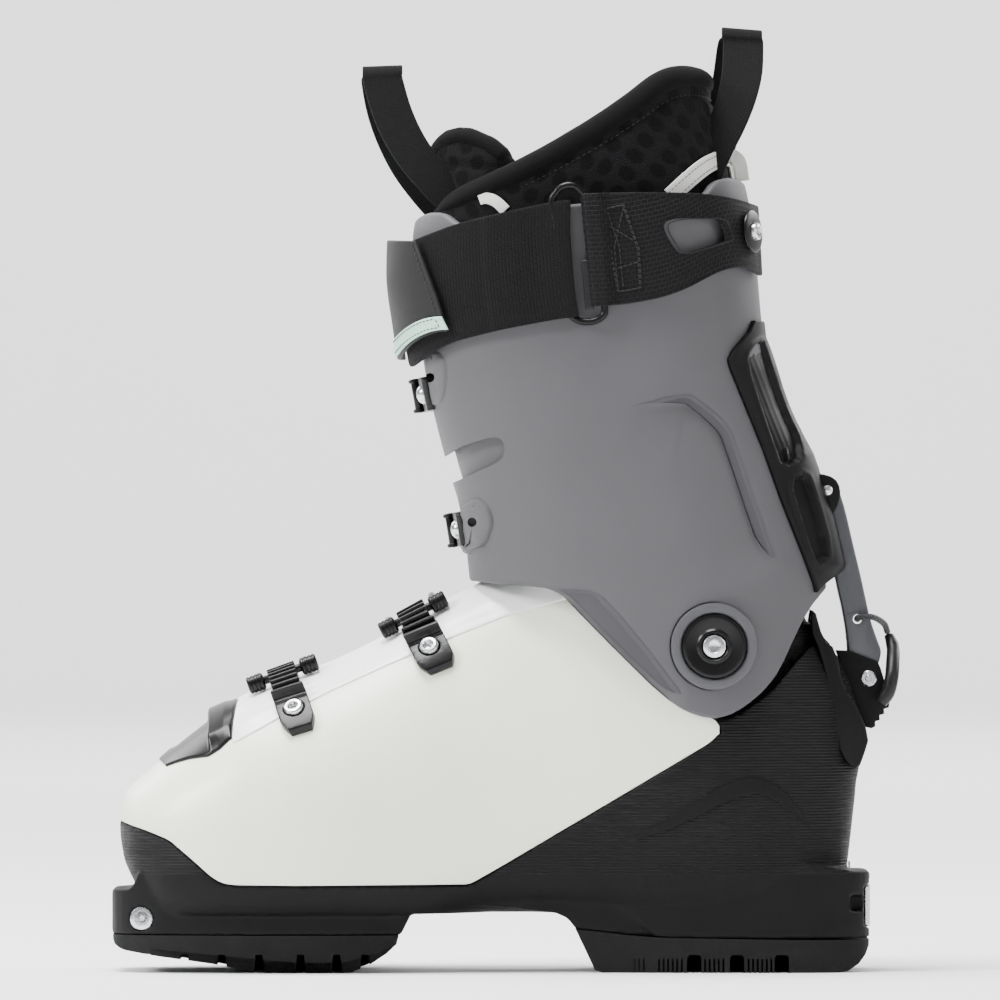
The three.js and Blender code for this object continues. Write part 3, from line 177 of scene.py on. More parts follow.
def leg_side(x, z, side, off=0.0, front=0.0):
    """Point of the leg's side at x and z; side -1 is the inner side."""
    x, z = np.broadcast_arrays(np.asarray(x, float), np.asarray(z, float))
    q = LT(z)
    xf, xb, w = q[..., 0] - off - front, q[..., 1] + off, q[..., 2] + off
    k = np.clip(np.abs((x - (xf + xb) / 2) / ((xb - xf) / 2)), 0, 1)
    return np.stack([x, side * w * (1 - k**LEG_N) ** (1 / LEG_N), z], -1)


def normal_of(F, p):
    e = 0.05
    x, y, z = p[..., 0], p[..., 1], p[..., 2]
    f = F(x, y, z)
    n = np.stack([F(x + e, y, z) - f, F(x, y + e, z) - f, F(x, y, z + e) - f], -1)
    return n / np.maximum(np.linalg.norm(n, axis=-1, keepdims=True), 1e-12)


# ---------------------------------------------------------------- meshes
def smooth_step(a, b, x):
    t = np.clip((np.asarray(x, float) - a) / (b - a), 0, 1)
    return t * t * (3 - 2 * t)


def mesh(name, verts, faces, uv=None):
    me = bpy.data.meshes.new(name)
    v = (np.asarray(verts, float).reshape(-1, 3) + SH) * 0.001
    me.from_pydata(v.tolist(), [], faces if isinstance(faces, list) else faces.tolist())
    me.update()
    if uv is not None:
        lay = me.uv_layers.new(name="UVMap")
        vi = np.empty(len(me.loops), np.int32)
        me.loops.foreach_get("vertex_index", vi)
        lay.data.foreach_set("uv", np.asarray(uv, np.float32).reshape(-1, 2)[vi].ravel())
    o = bpy.data.objects.new(name, me)
    bpy.context.scene.collection.objects.link(o)
    orient(o)
    shade(o)
    return o


def shade(o, angle=None):
    me = o.data
    me.polygons.foreach_set("use_smooth", np.ones(len(me.polygons), bool))
    if angle is not None:
        me.set_sharp_from_angle(angle=angle * D2R)
    me.update()
    return o


def orient(o):
    me = o.data
    n = len(me.vertices)
    co = np.empty(n * 3); me.vertices.foreach_get("co", co); co = co.reshape(-1, 3)
    me.calc_loop_triangles()
    t = np.empty(len(me.loop_triangles) * 3, np.int32); me.loop_triangles.foreach_get("vertices", t); t = t.reshape(-1, 3)
    a, b, c = co[t[:, 0]], co[t[:, 1]], co[t[:, 2]]
    if np.einsum("ij,ij->i", a, np.cross(b, c)).sum() < 0:
        me.flip_normals()


def join(name, objs):
    objs = [o for o in objs if o is not None]
    if len(objs) > 1:
        with bpy.context.temp_override(active_object=objs[0], selected_objects=objs, selected_editable_objects=objs):
            bpy.ops.object.join()
    objs[0].name = name
    objs[0].data.name = name
    return objs[0]


def applied(o):
    dg = bpy.context.evaluated_depsgraph_get()
    dg.update()
    me = bpy.data.meshes.new_from_object(o.evaluated_get(dg), preserve_all_data_layers=True, depsgraph=dg)
    old = o.data
    o.modifiers.clear()
    o.data = me
    me.name = o.name
    bpy.data.meshes.remove(old)
    return o


def boolean(a, b, op="DIFFERENCE"):
    for c in (b if isinstance(b, (list, tuple)) else [b]):
        m = a.modifiers.new("cut", "BOOLEAN")
        m.object, m.operation, m.solver = c, op, "MANIFOLD"
        before = len(a.data.polygons)
        bpy.context.view_layer.update()
        applied(a)
        if len(a.data.polygons) == 0:
            print("boolean emptied", a.name, "from", before)
        bpy.data.objects.remove(c)
    return a


def remesh(o, voxel, smooth=6, factor=0.5, tris=None):
    """One even skin over the piece with softly rounded edges."""
    m = o.modifiers.new("r", "REMESH"); m.mode = "VOXEL"; m.voxel_size = voxel * 0.001; m.use_smooth_shade = True
    if smooth:
        s = o.modifiers.new("s", "SMOOTH"); s.factor, s.iterations = factor, smooth
    applied(o)
    if tris:
        n = sum(len(p.vertices) - 2 for p in o.data.polygons)
        if n > tris:
            d = o.modifiers.new("d", "DECIMATE"); d.ratio = tris / n
            applied(o)
    return shade(o)


def closed_grid(O, I, per_u=False):
    """Faces of a closed solid with an outer and an inner grid."""
    nu, nv = O.shape[:2]
    a = np.arange(nu * nv).reshape(nu, nv)
    b = a + nu * nv
    def quads(g):
        if per_u:
            g = np.vstack([g, g[:1]])
        return np.stack([g[:-1, :-1], g[1:, :-1], g[1:, 1:], g[:-1, 1:]], -1).reshape(-1, 4)
    f = [quads(a), quads(b)[:, ::-1]]
    def strip(p, q):
        return np.stack([p[:-1], p[1:], q[1:], q[:-1]], -1)
    ring = lambda s: np.append(s, s[0]) if per_u else s
    f.append(strip(ring(b[:, 0]), ring(a[:, 0])))
    f.append(strip(ring(a[:, -1]), ring(b[:, -1])))
    if not per_u:
        f.append(strip(a[0], b[0]))
        f.append(strip(b[-1], a[-1]))
    return np.vstack(f)


def row_params(n, L, r, on=True):
    if not on or r <= 0:
        return np.linspace(0, 1, n)
    d = np.array([0, 0.06, 0.25, 0.6, 1.0]) * min(r / L, 0.2)
    return np.concatenate([d[:-1], np.linspace(d[-1], 1 - d[-1], n), 1 - d[:-1][::-1]])


def skin(name, S, nu, nv, th, r=0.8, per_u=False, disp=None, inner_disp=None, flip=False, uv=True, ends=True, th_fn=None):
    """Closed sheet of thickness th with rounded rims. S(u, v) is its outer face for u, v from 0 to 1."""
    uu = np.linspace(0, 1, 40); c = S(uu, np.full(40, 0.5)); Lu = np.linalg.norm(np.diff(c, axis=0), axis=1).sum()
    c = S(np.full(40, 0.5), uu); Lv = np.linalg.norm(np.diff(c, axis=0), axis=1).sum()
    u = np.linspace(0, 1, nu, endpoint=False) if per_u else row_params(nu, Lu, r, ends)
    v = row_params(nv, Lv, r)
    U, V = np.meshgrid(u, v, indexing="ij")
    P = S(U, V)
    e = 1e-3
    if per_u:
        du = S((U + e) % 1, V) - S((U - e) % 1, V)
    else:
        du = S(np.minimum(U + e, 1), V) - S(np.maximum(U - e, 0), V)
    dv = S(U, np.minimum(V + e, 1)) - S(U, np.maximum(V - e, 0))
    N = np.cross(du, dv)
    N /= np.maximum(np.linalg.norm(N, axis=-1, keepdims=True), 1e-12)
    mid = P.reshape(-1, 3).mean(0)
    if mid[2] > 165:
        D = P - np.array([35.0, 0, 0]); D[..., 2] = 0
    else:
        q = FT(P[..., 0]); D = P.copy(); D[..., 0] = 0; D[..., 2] -= (q[..., 2] + q[..., 4]) / 2
    if (N * D).sum() < 0:
        N = -N
    sv = np.concatenate([np.zeros((len(u), 1)), np.cumsum(np.linalg.norm(np.diff(P, axis=1), axis=-1), 1)], 1)
    d = np.minimum(sv, sv[:, -1:] - sv)
    if not per_u:
        su = np.concatenate([np.zeros((1, len(v))), np.cumsum(np.linalg.norm(np.diff(P, axis=0), axis=-1), 0)], 0)
        if ends:
            d = np.minimum(d, np.minimum(su, su[-1:] - su))
    else:
        su = U * Lu
    q = np.clip(r - d, 0, r)
    dep = (r - np.sqrt(np.maximum(r * r - q * q, 0)))[..., None]
    T = th if th_fn is None else th_fn(P, U, V)[..., None]
    dep_o = np.minimum(dep, T / 2 - 0.02)
    O = P - N * dep_o
    I = P - N * (T - dep_o)
    if disp is not None:
        O = O + N * disp(P, U, V)[..., None]
    if inner_disp is not None:
        I = I + N * inner_disp(P, U, V)[..., None]
    UV = None
    if uv:
        g = np.stack([su if not per_u else su, sv], -1) * 0.001
        UV = np.concatenate([g.reshape(-1, 2), g.reshape(-1, 2)])
    o = mesh(name, np.concatenate([O.reshape(-1, 3), I.reshape(-1, 3)]), closed_grid(O, I, per_u), UV)
    return o


def pip(poly, X, Z):
    """Is each point inside the outline."""
    p = np.asarray(poly, float)
    inside = np.zeros(np.shape(X), bool)
    j = len(p) - 1
    for i in range(len(p)):
        (x1, z1), (x2, z2) = p[i], p[j]
        if z1 != z2:
            inside ^= ((z1 > Z) != (z2 > Z)) & (X < (x2 - x1) * (Z - z1) / (z2 - z1) + x1)
        j = i
    return inside


def sdf(poly, X, Z, closed=True):
    """Distance to an outline, negative inside; to a line when it isn't closed."""
    p = np.asarray(poly, float)
    d = np.full(np.shape(X), 1e9)
    n = len(p)
    for i in range(n if closed else n - 1):
        a, b = p[i], p[(i + 1) % n]
        ab = b - a
        t = np.clip(((X - a[0]) * ab[0] + (Z - a[1]) * ab[1]) / max(ab @ ab, 1e-12), 0, 1)
        d = np.minimum(d, np.hypot(X - a[0] - t * ab[0], Z - a[1] - t * ab[1]))
    return np.where(pip(p, X, Z), -d, d) if closed else d


def chaikin(p, n=2, closed=True, w=0.25):
    p = np.asarray(p, float)
    for _ in range(n):
        q = np.roll(p, -1, 0) if closed else p[1:]
        a = p if closed else p[:-1]
        r = np.stack([a * (1 - w) + q * w, a * w + q * (1 - w)], 1).reshape(-1, p.shape[1])
        p = r if closed else np.vstack([p[:1], r, p[-1:]])
    return p


def resample(p, step, closed=False):
    p = np.asarray(p, float)
    if closed:
        p = np.vstack([p, p[:1]])
    s = np.concatenate([[0], np.cumsum(np.linalg.norm(np.diff(p, axis=0), axis=1))])
    n = max(2, int(round(s[-1] / step)) + 1)
    t = np.linspace(0, s[-1], n)
    q = np.stack([np.interp(t, s, p[:, k]) for k in range(p.shape[1])], 1)
    return q[:-1] if closed else q


def grow(poly, d):
    p = np.asarray(poly, float)
    a, b = np.roll(p, 1, 0), np.roll(p, -1, 0)
    area = (p[:, 0] * b[:, 1] - b[:, 0] * p[:, 1]).sum()
    s = 1 if area > 0 else -1
    u, v = p - a, b - p
    u /= np.maximum(np.linalg.norm(u, axis=1, keepdims=True), 1e-9)
    v /= np.maximum(np.linalg.norm(v, axis=1, keepdims=True), 1e-9)
    m = np.stack([s * (u[:, 1] + v[:, 1]), -s * (u[:, 0] + v[:, 0])], 1)
    k = np.maximum(0.6, (m * m).sum(1, keepdims=True) / 2)
    return p + d * m / k


def prism_pts(poly, y0, y1, bevel=0.0):
    """Outline in x, z pushed from y0 to y1, with rounded rims."""
    p = np.asarray(poly, float)
    rings = []
    if bevel > 0:
        for a in np.linspace(0, math.pi / 2, 4):
            rings.append((y0 + bevel * (1 - math.sin(a)), -bevel * (1 - math.cos(a))))
        rings = rings[::-1]
        for a in np.linspace(0, math.pi / 2, 4):
            rings.append((y1 - bevel * (1 - math.sin(a)), -bevel * (1 - math.cos(a))))
    else:
        rings = [(y0, 0), (y1, 0)]
    n = len(p)
    V, F = [], []
    for y, g in rings:
        q = grow(p, g) if g else p
        V.append(np.stack([q[:, 0], np.full(n, y), q[:, 1]], 1))
    for k in range(len(rings) - 1):
        a = np.arange(n) + k * n
        b = np.roll(np.arange(n), -1) + k * n
        F += np.stack([a, b, b + n, a + n], 1).tolist()
    F.append(list(range(n))[::-1])
    F.append([i + (len(rings) - 1) * n for i in range(n)])
    return np.concatenate(V), F


def prism(name, poly, y0, y1, bevel=0.0):
    return shade(mesh(name, *prism_pts(poly, y0, y1, bevel)), 35)


def plate(name, poly, z0, z1, bevel=0.0):
    V, F = prism_pts(poly, z0, z1, bevel)
    return shade(mesh(name, V[:, [0, 2, 1]], F), 35)


def box(name, x0, x1, y0, y1, z0, z1, bevel=0.0):
    return prism(name, [[x0, z0], [x1, z0], [x1, z1], [x0, z1]], y0, y1, bevel)


def basis(d):
    d = np.asarray(d, float); d = d / np.linalg.norm(d)
    u = np.cross(d, [0, 0, 1.0]) if abs(d[2]) < 0.9 else np.cross(d, [1.0, 0, 0])
    u /= np.linalg.norm(u)
    return u, np.cross(d, u), d


def turned(name, profile, p, d, n=32, sharp=40):
    """Lathe: (radius, height) pairs along direction d from p. Radius 0 closes an end."""
    u, v, w = basis(d)
    prof = np.asarray(profile, float)
    t = np.arange(n) / n * 2 * math.pi
    V, F, rows = [], [], []
    for r, h in prof:
        k = len(V)
        if r < 1e-6:
            V.append(np.asarray(p) + w * h); rows.append([k] * n)
        else:
            for a in t:
                V.append(np.asarray(p) + u * r * math.cos(a) + v * r * math.sin(a) + w * h)
            rows.append(list(range(k, k + n)))
    for a, b in zip(rows[:-1], rows[1:]):
        for j in range(n):
            f = [a[j], a[(j + 1) % n], b[(j + 1) % n], b[j]]
            g = []
            for q in f:
                if q not in g:
                    g.append(q)
            if len(g) > 2:
                F.append(g)
    if prof[0][0] > 1e-6 and not np.allclose(prof[0], prof[-1]):
        F.append(rows[0][::-1]); F.append(rows[-1])
    return shade(mesh(name, np.array(V), F), sharp)


def rod(name, p, q, r, n=24, bevel=0.3, r2=None):
    p, q = np.asarray(p, float), np.asarray(q, float)
    L = np.linalg.norm(q - p); r2 = r if r2 is None else r2
    b = min(bevel, r * 0.6, L / 3)
    prof = [(0, 0), (r - b, 0), (r - 0.3 * b, 0.3 * b), (r, b), (r2, L - b), (r2 - 0.3 * b, L - 0.3 * b), (r2 - b, L), (0, L)]
    return turned(name, prof, p, q - p, n, 35)


def curve_pts(path, n, closed=False):
    """Even points on a smooth curve through the path."""
    p = np.asarray(path, float)
    if closed:
        q = np.vstack([p[-1:], p, p[:2]])
    else:
        q = np.vstack([2 * p[0] - p[1], p, 2 * p[-1] - p[-2]])
    out = []
    for i in range(1, len(q) - 2):
        a, b, c, d = q[i - 1], q[i], q[i + 1], q[i + 2]
        t = np.linspace(0, 1, 24, endpoint=False)[:, None]
        out.append(0.5 * (2 * b + (c - a) * t + (2 * a - 5 * b + 4 * c - d) * t**2 + (3 * b - a - 3 * c + d) * t**3))
    out = np.concatenate(out + [q[-2:-1]])
    s = np.concatenate([[0], np.cumsum(np.linalg.norm(np.diff(out, axis=0), axis=1))])
    t = np.linspace(0, s[-1], n + 1 if closed else n)
    r = np.stack([np.interp(t, s, out[:, k]) for k in range(p.shape[1])], 1)
    return r[:-1] if closed else r


def frames_along(p, closed=False, up=None):
    n = len(p)
    T = (np.roll(p, -1, 0) - np.roll(p, 1, 0)) if closed else np.gradient(p, axis=0)
    T /= np.linalg.norm(T, axis=1, keepdims=True)
    U = np.zeros_like(p)
    u = basis(T[0])[0] if up is None else np.asarray(up, float) - T[0] * (np.asarray(up, float) @ T[0])
    for i in range(n):
        u = u - T[i] * (u @ T[i]); u /= np.linalg.norm(u)
        U[i] = u
    if closed:
        e = U[-1] - T[0] * (U[-1] @ T[0]); e /= np.linalg.norm(e)
        a = math.atan2(np.cross(e, U[0]) @ T[0], e @ U[0])
        for i in range(n):
            g = a * i / n; W = np.cross(T[i], U[i])
            U[i] = U[i] * math.cos(g) + W * math.sin(g)
    return T, U, np.cross(T, U)


def tube(name, path, r, sides=12, n=60, closed=False, squash=1.0, caps=True, r_fn=None, smooth_path=True):
    p = curve_pts(path, n, closed) if smooth_path else np.asarray(path, float)
    n = len(p)
    T, U, W = frames_along(p, closed)
    a = np.arange(sides) / sides * 2 * math.pi
    R = np.full(n, float(r)) if r_fn is None else r * r_fn(np.linspace(0, 1, n))
    V = p[:, None] + R[:, None, None] * (U[:, None] * np.cos(a)[None, :, None] + squash * W[:, None] * np.sin(a)[None, :, None])
    seg = np.concatenate([[0], np.cumsum(np.linalg.norm(np.diff(p, axis=0), axis=1))])
    uv = np.stack(np.broadcast_arrays(seg[:, None] * 0.001, (a * r)[None, :] * 0.001), -1)
    idx = np.arange(n * sides).reshape(n, sides)
    g = np.vstack([idx, idx[:1]]) if closed else idx
    g2 = np.hstack([g, g[:, :1]])
    F = np.stack([g2[:-1, :-1], g2[:-1, 1:], g2[1:, 1:], g2[1:, :-1]], -1).reshape(-1, 4).tolist()
    if not closed:
        F.append(idx[0][::-1].tolist()); F.append(idx[-1].tolist())
    return shade(mesh(name, V.reshape(-1, 3), F, uv.reshape(-1, 2)), 60)


def loft(name, rings, sharp=None):
    """Closed solid through rings with the same number of points."""
    R = np.asarray(rings, float)
    k, n = R.shape[:2]
    idx = np.arange(k * n).reshape(k, n)
    g = np.hstack([idx, idx[:, :1]])
    F = np.stack([g[:-1, :-1], g[:-1, 1:], g[1:, 1:], g[1:, :-1]], -1).reshape(-1, 4).tolist()
    V = R.reshape(-1, 3)
    c0, c1 = R[0].mean(0), R[-1].mean(0)
    V = np.vstack([V, c0, c1])
    a, b = k * n, k * n + 1
    for j in range(n):
        j2 = (j + 1) % n
        F.append([a, idx[0][j2], idx[0][j]]); F.append([b, idx[-1][j], idx[-1][j2]])
    o = mesh(name, V, F)
    return shade(o, sharp) if sharp else o


def foot_solid(name, off, x0=-139.4, x1=141.8, n=96, step=2.0):
    xs = np.unique(np.concatenate([np.arange(math.ceil(x0), x1, step), [x0, x1], [r[0] for r in FOOT if x0 < r[0] < x1]]))
    ph = (np.arange(n) + 0.5) / n * 2 * math.pi - math.pi
    R = foot_pt(xs[:, None], ph[None, :], off)
    if off < 0:
        t = FT(xs)
        ok = (t[:, 0] + off > 0.5) & (t[:, 4] - t[:, 3] + off > 0.5) & (t[:, 3] - t[:, 2] + off > 0.5)
        R = R[ok]
    return loft(name, R)


def leg_solid(name, off, z0, z1, front=0.0, n=128, step=3.0):
    zs = np.linspace(z0, z1, int((z1 - z0) / step) + 2)
    t = (np.arange(n) + 0.5) / n * 2 * math.pi
    return loft(name, leg_pt(zs[:, None], t[None, :], off, front))


def turn_y(o, deg, c=PIVOT):
    """Turns a mesh about the ankle line, + leans the top to the heel."""
    t = deg * D2R
    co = np.empty(len(o.data.vertices) * 3); o.data.vertices.foreach_get("co", co)
    p = co.reshape(-1, 3) * 1000 - SH
    x, z = p[:, 0] - c[0], p[:, 2] - c[1]
    p = np.stack([c[0] + x * math.cos(t) + z * math.sin(t), p[:, 1], c[1] - x * math.sin(t) + z * math.cos(t)], 1)
    o.data.vertices.foreach_set("co", ((p + SH) * 0.001).ravel())
    o.data.update()
    return o


def copy_of(o, name):
    c = o.copy(); c.data = o.data.copy(); c.name = name
    bpy.context.scene.collection.objects.link(c)
    return c


def circle(cx, cz, r, n=48):
    t = np.arange(n) / n * 2 * math.pi
    return np.stack([cx + r * np.cos(t), cz + r * np.sin(t)], 1)


def col_range(poly, t, off=0.0, front=0.0, z0=130, z1=345, side_poly=None, ease=0):
    """Lowest and highest z of each column t of the leg that lies in the outline."""
    zs = np.arange(z0, z1, 0.25)
    P = leg_pt(zs[None, :], np.asarray(t)[:, None], off, front)
    ins = pip(poly, P[..., 0], P[..., 2])
    if side_poly is not None:
        ins = np.where(P[..., 1] > 0, pip(side_poly, P[..., 0], P[..., 2]), ins)
    lo = np.where(ins.any(1), zs[ins.argmax(1)], np.nan)
    hi = np.where(ins.any(1), zs[len(zs) - 1 - ins[:, ::-1].argmax(1)], np.nan)
    return lo, hi


def grid_noise(P, seed=0, scale=1.0):
    """Cheap smooth noise from -1 to 1."""
    r = np.random.default_rng(seed)
    v = 0
    for k in range(5):
        d = r.normal(size=3); d /= np.linalg.norm(d)
        f = (0.6 + 0.35 * k) / scale
        v = v + np.sin((P @ d) * f + r.uniform(0, 6.28)) / (1 + 0.5 * k)
    return v / 2.2


DONE = []


def out(o, nodes, body, mats, slot=None, also=()):
    """Finish a piece: materials, the CAD nodes it stands for, and the body that it rides on."""
    o.data.materials.clear()
    for m in (mats if isinstance(mats, (list, tuple)) else [mats]):
        o.data.materials.append(m)
    if nodes:
        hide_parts(*([nodes] if isinstance(nodes, str) else nodes))
    if body:
        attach(o, body)
    DONE.append(o.name)
    return o


# ================================================================ materials, all procedural
def lin(c):
    """sRGB hex to linear."""
    v = [int(c[i:i + 2], 16) / 255 for i in (1, 3, 5)]
    return [x / 12.92 if x <= 0.04045 else ((x + 0.055) / 1.055) ** 2.4 for x in v]


class Mat:
    def __init__(s, name):
        s.m = bpy.data.materials.new(name)
        s.m.use_nodes = True
        s.t = s.m.node_tree
        s.b = next(n for n in s.t.nodes if n.type == "BSDF_PRINCIPLED")
        s.tc = s.t.nodes.new("ShaderNodeTexCoord")
        s.obj, s.uv = s.tc.outputs["Object"], s.tc.outputs["UV"]

    def set(s, **k):
        for a, v in k.items():
            i = s.b.inputs[a.replace("_", " ")]
            if isinstance(v, bpy.types.NodeSocket):
                s.t.links.new(v, i)
            else:
                i.default_value = v
        return s

    def put(s, sock, v):
        if isinstance(v, bpy.types.NodeSocket):
            s.t.links.new(v, sock)
        else:
            sock.default_value = v

    def mapping(s, vec, scale, rot=(0, 0, 0)):
        n = s.t.nodes.new("ShaderNodeMapping")
        s.t.links.new(vec, n.inputs["Vector"])
        n.inputs["Scale"].default_value = scale
        n.inputs["Rotation"].default_value = rot
        return n.outputs[0]

    def noise(s, scale, detail=2.0, rough=0.5, vec=None, dist=0.0):
        n = s.t.nodes.new("ShaderNodeTexNoise")
        s.t.links.new(vec or s.obj, n.inputs["Vector"])
        n.inputs["Scale"].default_value = scale
        n.inputs["Detail"].default_value = detail
        n.inputs["Roughness"].default_value = rough
        n.inputs["Distortion"].default_value = dist
        return n.outputs["Fac"]

    def voronoi(s, scale, vec=None, feature="F1", rand=1.0, out="Distance"):
        n = s.t.nodes.new("ShaderNodeTexVoronoi")
        n.feature = feature
        s.t.links.new(vec or s.obj, n.inputs["Vector"])
        n.inputs["Scale"].default_value = scale
        n.inputs["Randomness"].default_value = rand
        return n.outputs[out]

    def brick(s, vec, w, h, mortar, smooth=0.6, offset=0.5):
        n = s.t.nodes.new("ShaderNodeTexBrick")
        n.offset = offset
        s.t.links.new(vec, n.inputs["Vector"])
        n.inputs["Scale"].default_value = 1.0
        n.inputs["Brick Width"].default_value = w
        n.inputs["Row Height"].default_value = h
        n.inputs["Mortar Size"].default_value = mortar
        n.inputs["Mortar Smooth"].default_value = smooth
        return n.outputs["Fac"]

    def math(s, op, a, b=0.0, clamp=False):
        n = s.t.nodes.new("ShaderNodeMath")
        n.operation = op; n.use_clamp = clamp
        s.put(n.inputs[0], a); s.put(n.inputs[1], b)
        return n.outputs[0]

    def sep(s, vec):
        n = s.t.nodes.new("ShaderNodeSeparateXYZ")
        s.t.links.new(vec, n.inputs[0])
        return n.outputs

    def map(s, v, a, b, c=0.0, d=1.0):
        n = s.t.nodes.new("ShaderNodeMapRange")
        s.t.links.new(v, n.inputs["Value"])
        for k, x in (("From Min", a), ("From Max", b), ("To Min", c), ("To Max", d)):
            n.inputs[k].default_value = x
        return n.outputs["Result"]

    def mix(s, fac, a, b):
        n = s.t.nodes.new("ShaderNodeMix")
        n.data_type = "RGBA"
        s.put(n.inputs["Factor"], fac)
        for k, v in (("A", a), ("B", b)):
            i = next(x for x in n.inputs if x.name == k and x.type == "RGBA")
            s.put(i, v if isinstance(v, bpy.types.NodeSocket) else [*v, 1.0])
        return next(x for x in n.outputs if x.type == "RGBA")

    def bump(s, h, dist, strength=1.0, normal=None):
        n = s.t.nodes.new("ShaderNodeBump")
        n.inputs["Strength"].default_value = strength
        n.inputs["Distance"].default_value = dist
        s.t.links.new(h, n.inputs["Height"])
        if normal:
            s.t.links.new(normal, n.inputs["Normal"])
        s.t.links.new(n.outputs[0], s.b.inputs["Normal"])
        return n.outputs[0]


def scaled(c, k):
    return [min(1.0, x * k) for x in c]


def plastic(name, col, rough, grain=0.06, grain_scale=2200, mottle=0.06, sss=0.0, coat=0.0, spec=0.5):
    """Moulded plastic: a little flow mottle, fine surface grain and light handling marks."""
    m = Mat(name)
    f = m.noise(38, 3, 0.55)
    c = m.mix(m.map(f, 0.3, 0.7), scaled(col, 1 - mottle), scaled(col, 1 + mottle))
    marks = m.map(m.noise(260, 4, 0.65, m.mapping(m.obj, (1, 1, 3.5))), 0.62, 0.72)
    c = m.mix(m.math("MULTIPLY", marks, 0.25), c, scaled(col, 0.86))
    m.set(Base_Color=c, Roughness=m.math("ADD", m.map(f, 0.3, 0.7, rough - 0.05, rough + 0.05), m.math("MULTIPLY", marks, 0.12)), IOR=1.49)
    m.set(Specular_IOR_Level=spec)
    if sss:
        m.set(Subsurface_Weight=sss, Subsurface_Radius=[0.004, 0.004, 0.0035], Subsurface_Scale=1.0)
    if coat:
        m.set(Coat_Weight=coat, Coat_Roughness=0.15)
    h = m.math("ADD", m.math("MULTIPLY", m.noise(grain_scale, 2, 0.6), 1.0), m.math("MULTIPLY", m.noise(grain_scale / 9, 2, 0.5), 1.6))
    m.bump(h, 0.00004, grain * 6)
    return m


M_CLOG = plastic("shell_ice_satin", lin("#E9ECDB"), 0.36, 0.035, 2400, 0.012, 0.1, 0.1).m
M_FLAP = plastic("flap_white_translucent", lin("#FAFAF9"), 0.28, 0.03, 2600, 0.01, 0.22, 0.2).m
M_CUFF = plastic("cuff_grey_matte", lin("#4D4C4F"), 0.55, 0.07, 2600, 0.03, spec=0.25).m
# darker copy of the cuff grey: painted shade for the bands along the ledge and the front bevel
M_CUFF_PAINTED_SHADE = plastic("cuff_grey_edge", lin("#434246"), 0.5, 0.05, 2600, 0.03, spec=0.2).m
M_PRING = plastic("pivot_ring_grey", lin("#48484B"), 0.4, 0.05, 2600, 0.03, spec=0.3).m
M_BLACK = plastic("black_plastic_fine", lin("#0C0C0D"), 0.5, 0.09, 2600, 0.12, spec=0.13).m
M_GLOSS = plastic("black_plastic_gloss", lin("#080809"), 0.3, 0.03, 2000, 0.1, 0, 0.0, spec=0.25).m
M_BOARD = plastic("board_plastic_grey", lin("#4A4C50"), 0.55, 0.1, 1500, 0.08).m


def ribbed_black():
    m = Mat("chassis_ribbed_black")
    x, y, z = m.sep(m.obj)
    wob = m.math("MULTIPLY", m.noise(22, 1), 0.0006)
    ph = m.math("MULTIPLY", m.math("ADD", z, wob), 2 * math.pi / 0.00113)
    rib = m.math("ADD", m.math("MULTIPLY", m.math("SINE", ph), 0.5), 0.5)
    mask = m.map(z, 0.0362, 0.0372)
    grain = m.noise(2400, 3, 0.65)
    brk = m.map(m.noise(420, 3, 0.6, m.mapping(m.obj, (0.25, 0.25, 1.6))), 0.3, 0.62)
    rib = m.math("MULTIPLY", m.math("MULTIPLY", rib, mask), brk)
    f = m.noise(30, 3, 0.6)
    c = m.mix(m.map(f, 0.3, 0.7), lin("#0A0A0B"), lin("#0E0E0F"))
    c = m.mix(m.math("MULTIPLY", rib, 0.8), c, lin("#1B1B1C"))
    m.set(Base_Color=c, Roughness=m.map(grain, 0.3, 0.7, 0.5, 0.64), IOR=1.49, Specular_IOR_Level=0.13)
    m.bump(m.math("ADD", m.math("MULTIPLY", rib, 1.0), m.math("MULTIPLY", grain, 0.22)), 0.0003, 1.0)
    return m.m


M_CHASSIS = ribbed_black()


def rubber():
    m = Mat("tread_rubber")
    g = m.noise(1600, 3, 0.6)
    dust = m.map(m.noise(90, 4, 0.6), 0.5, 0.75)
    c = m.mix(m.math("MULTIPLY", dust, 0.3), lin("#0F0F10"), lin("#201F1F"))
    m.set(Specular_IOR_Level=0.2, Base_Color=c, Roughness=m.map(g, 0.3, 0.7, 0.68, 0.86))
    m.bump(g, 0.00006, 0.6)
    return m.m


M_RUBBER = rubber()


def weave(name, col, dark, w, h, along=False, rough=0.8, dist=0.00035, fuzz=0.15):
    """Woven band: rows of short threads in brick order, from the band's own length and width."""
    m = Mat(name)
    vec = m.mapping(m.uv, (1, 1, 1), (0, 0, 0 if along else math.pi / 2))
    fac = m.brick(vec, w, h, min(w, h) * 0.13, 0.9)
    thread = m.noise(5200, 2, 0.6)
    hgt = m.math("ADD", m.math("SUBTRACT", 1.0, fac), m.math("MULTIPLY", thread, fuzz))
    c = m.mix(fac, m.mix(m.map(thread, 0.3, 0.7), scaled(col, 0.85), scaled(col, 1.2)), dark)
    m.set(Base_Color=c, Roughness=rough, Sheen_Weight=0.02, Sheen_Roughness=0.4, Specular_IOR_Level=0.12)
    m.bump(hgt, dist, 1.0)
    return m.m


M_WEB = weave("strap_webbing_black", lin("#0D0D0E"), lin("#010101"), 0.0021, 0.0013, dist=0.0006)
M_CELL = weave("strap_cell_grey", lin("#0B0B0C"), lin("#1A1A1C"), 0.0025, 0.0017, True, 0.62, 0.0003)
M_LOOPWEB = weave("loop_webbing_black", lin("#0B0B0C"), lin("#010101"), 0.0016, 0.0010, True, 0.85, 0.0004)
M_TRIM = weave("liner_trim_white", lin("#E4E3DF"), lin("#A9A8A4"), 0.0011, 0.0006, True, 0.7, 0.0002)
M_LABEL = weave("label_white", lin("#DEDDD8"), lin("#BDBCB7"), 0.0008, 0.0005, True, 0.75, 0.00012)


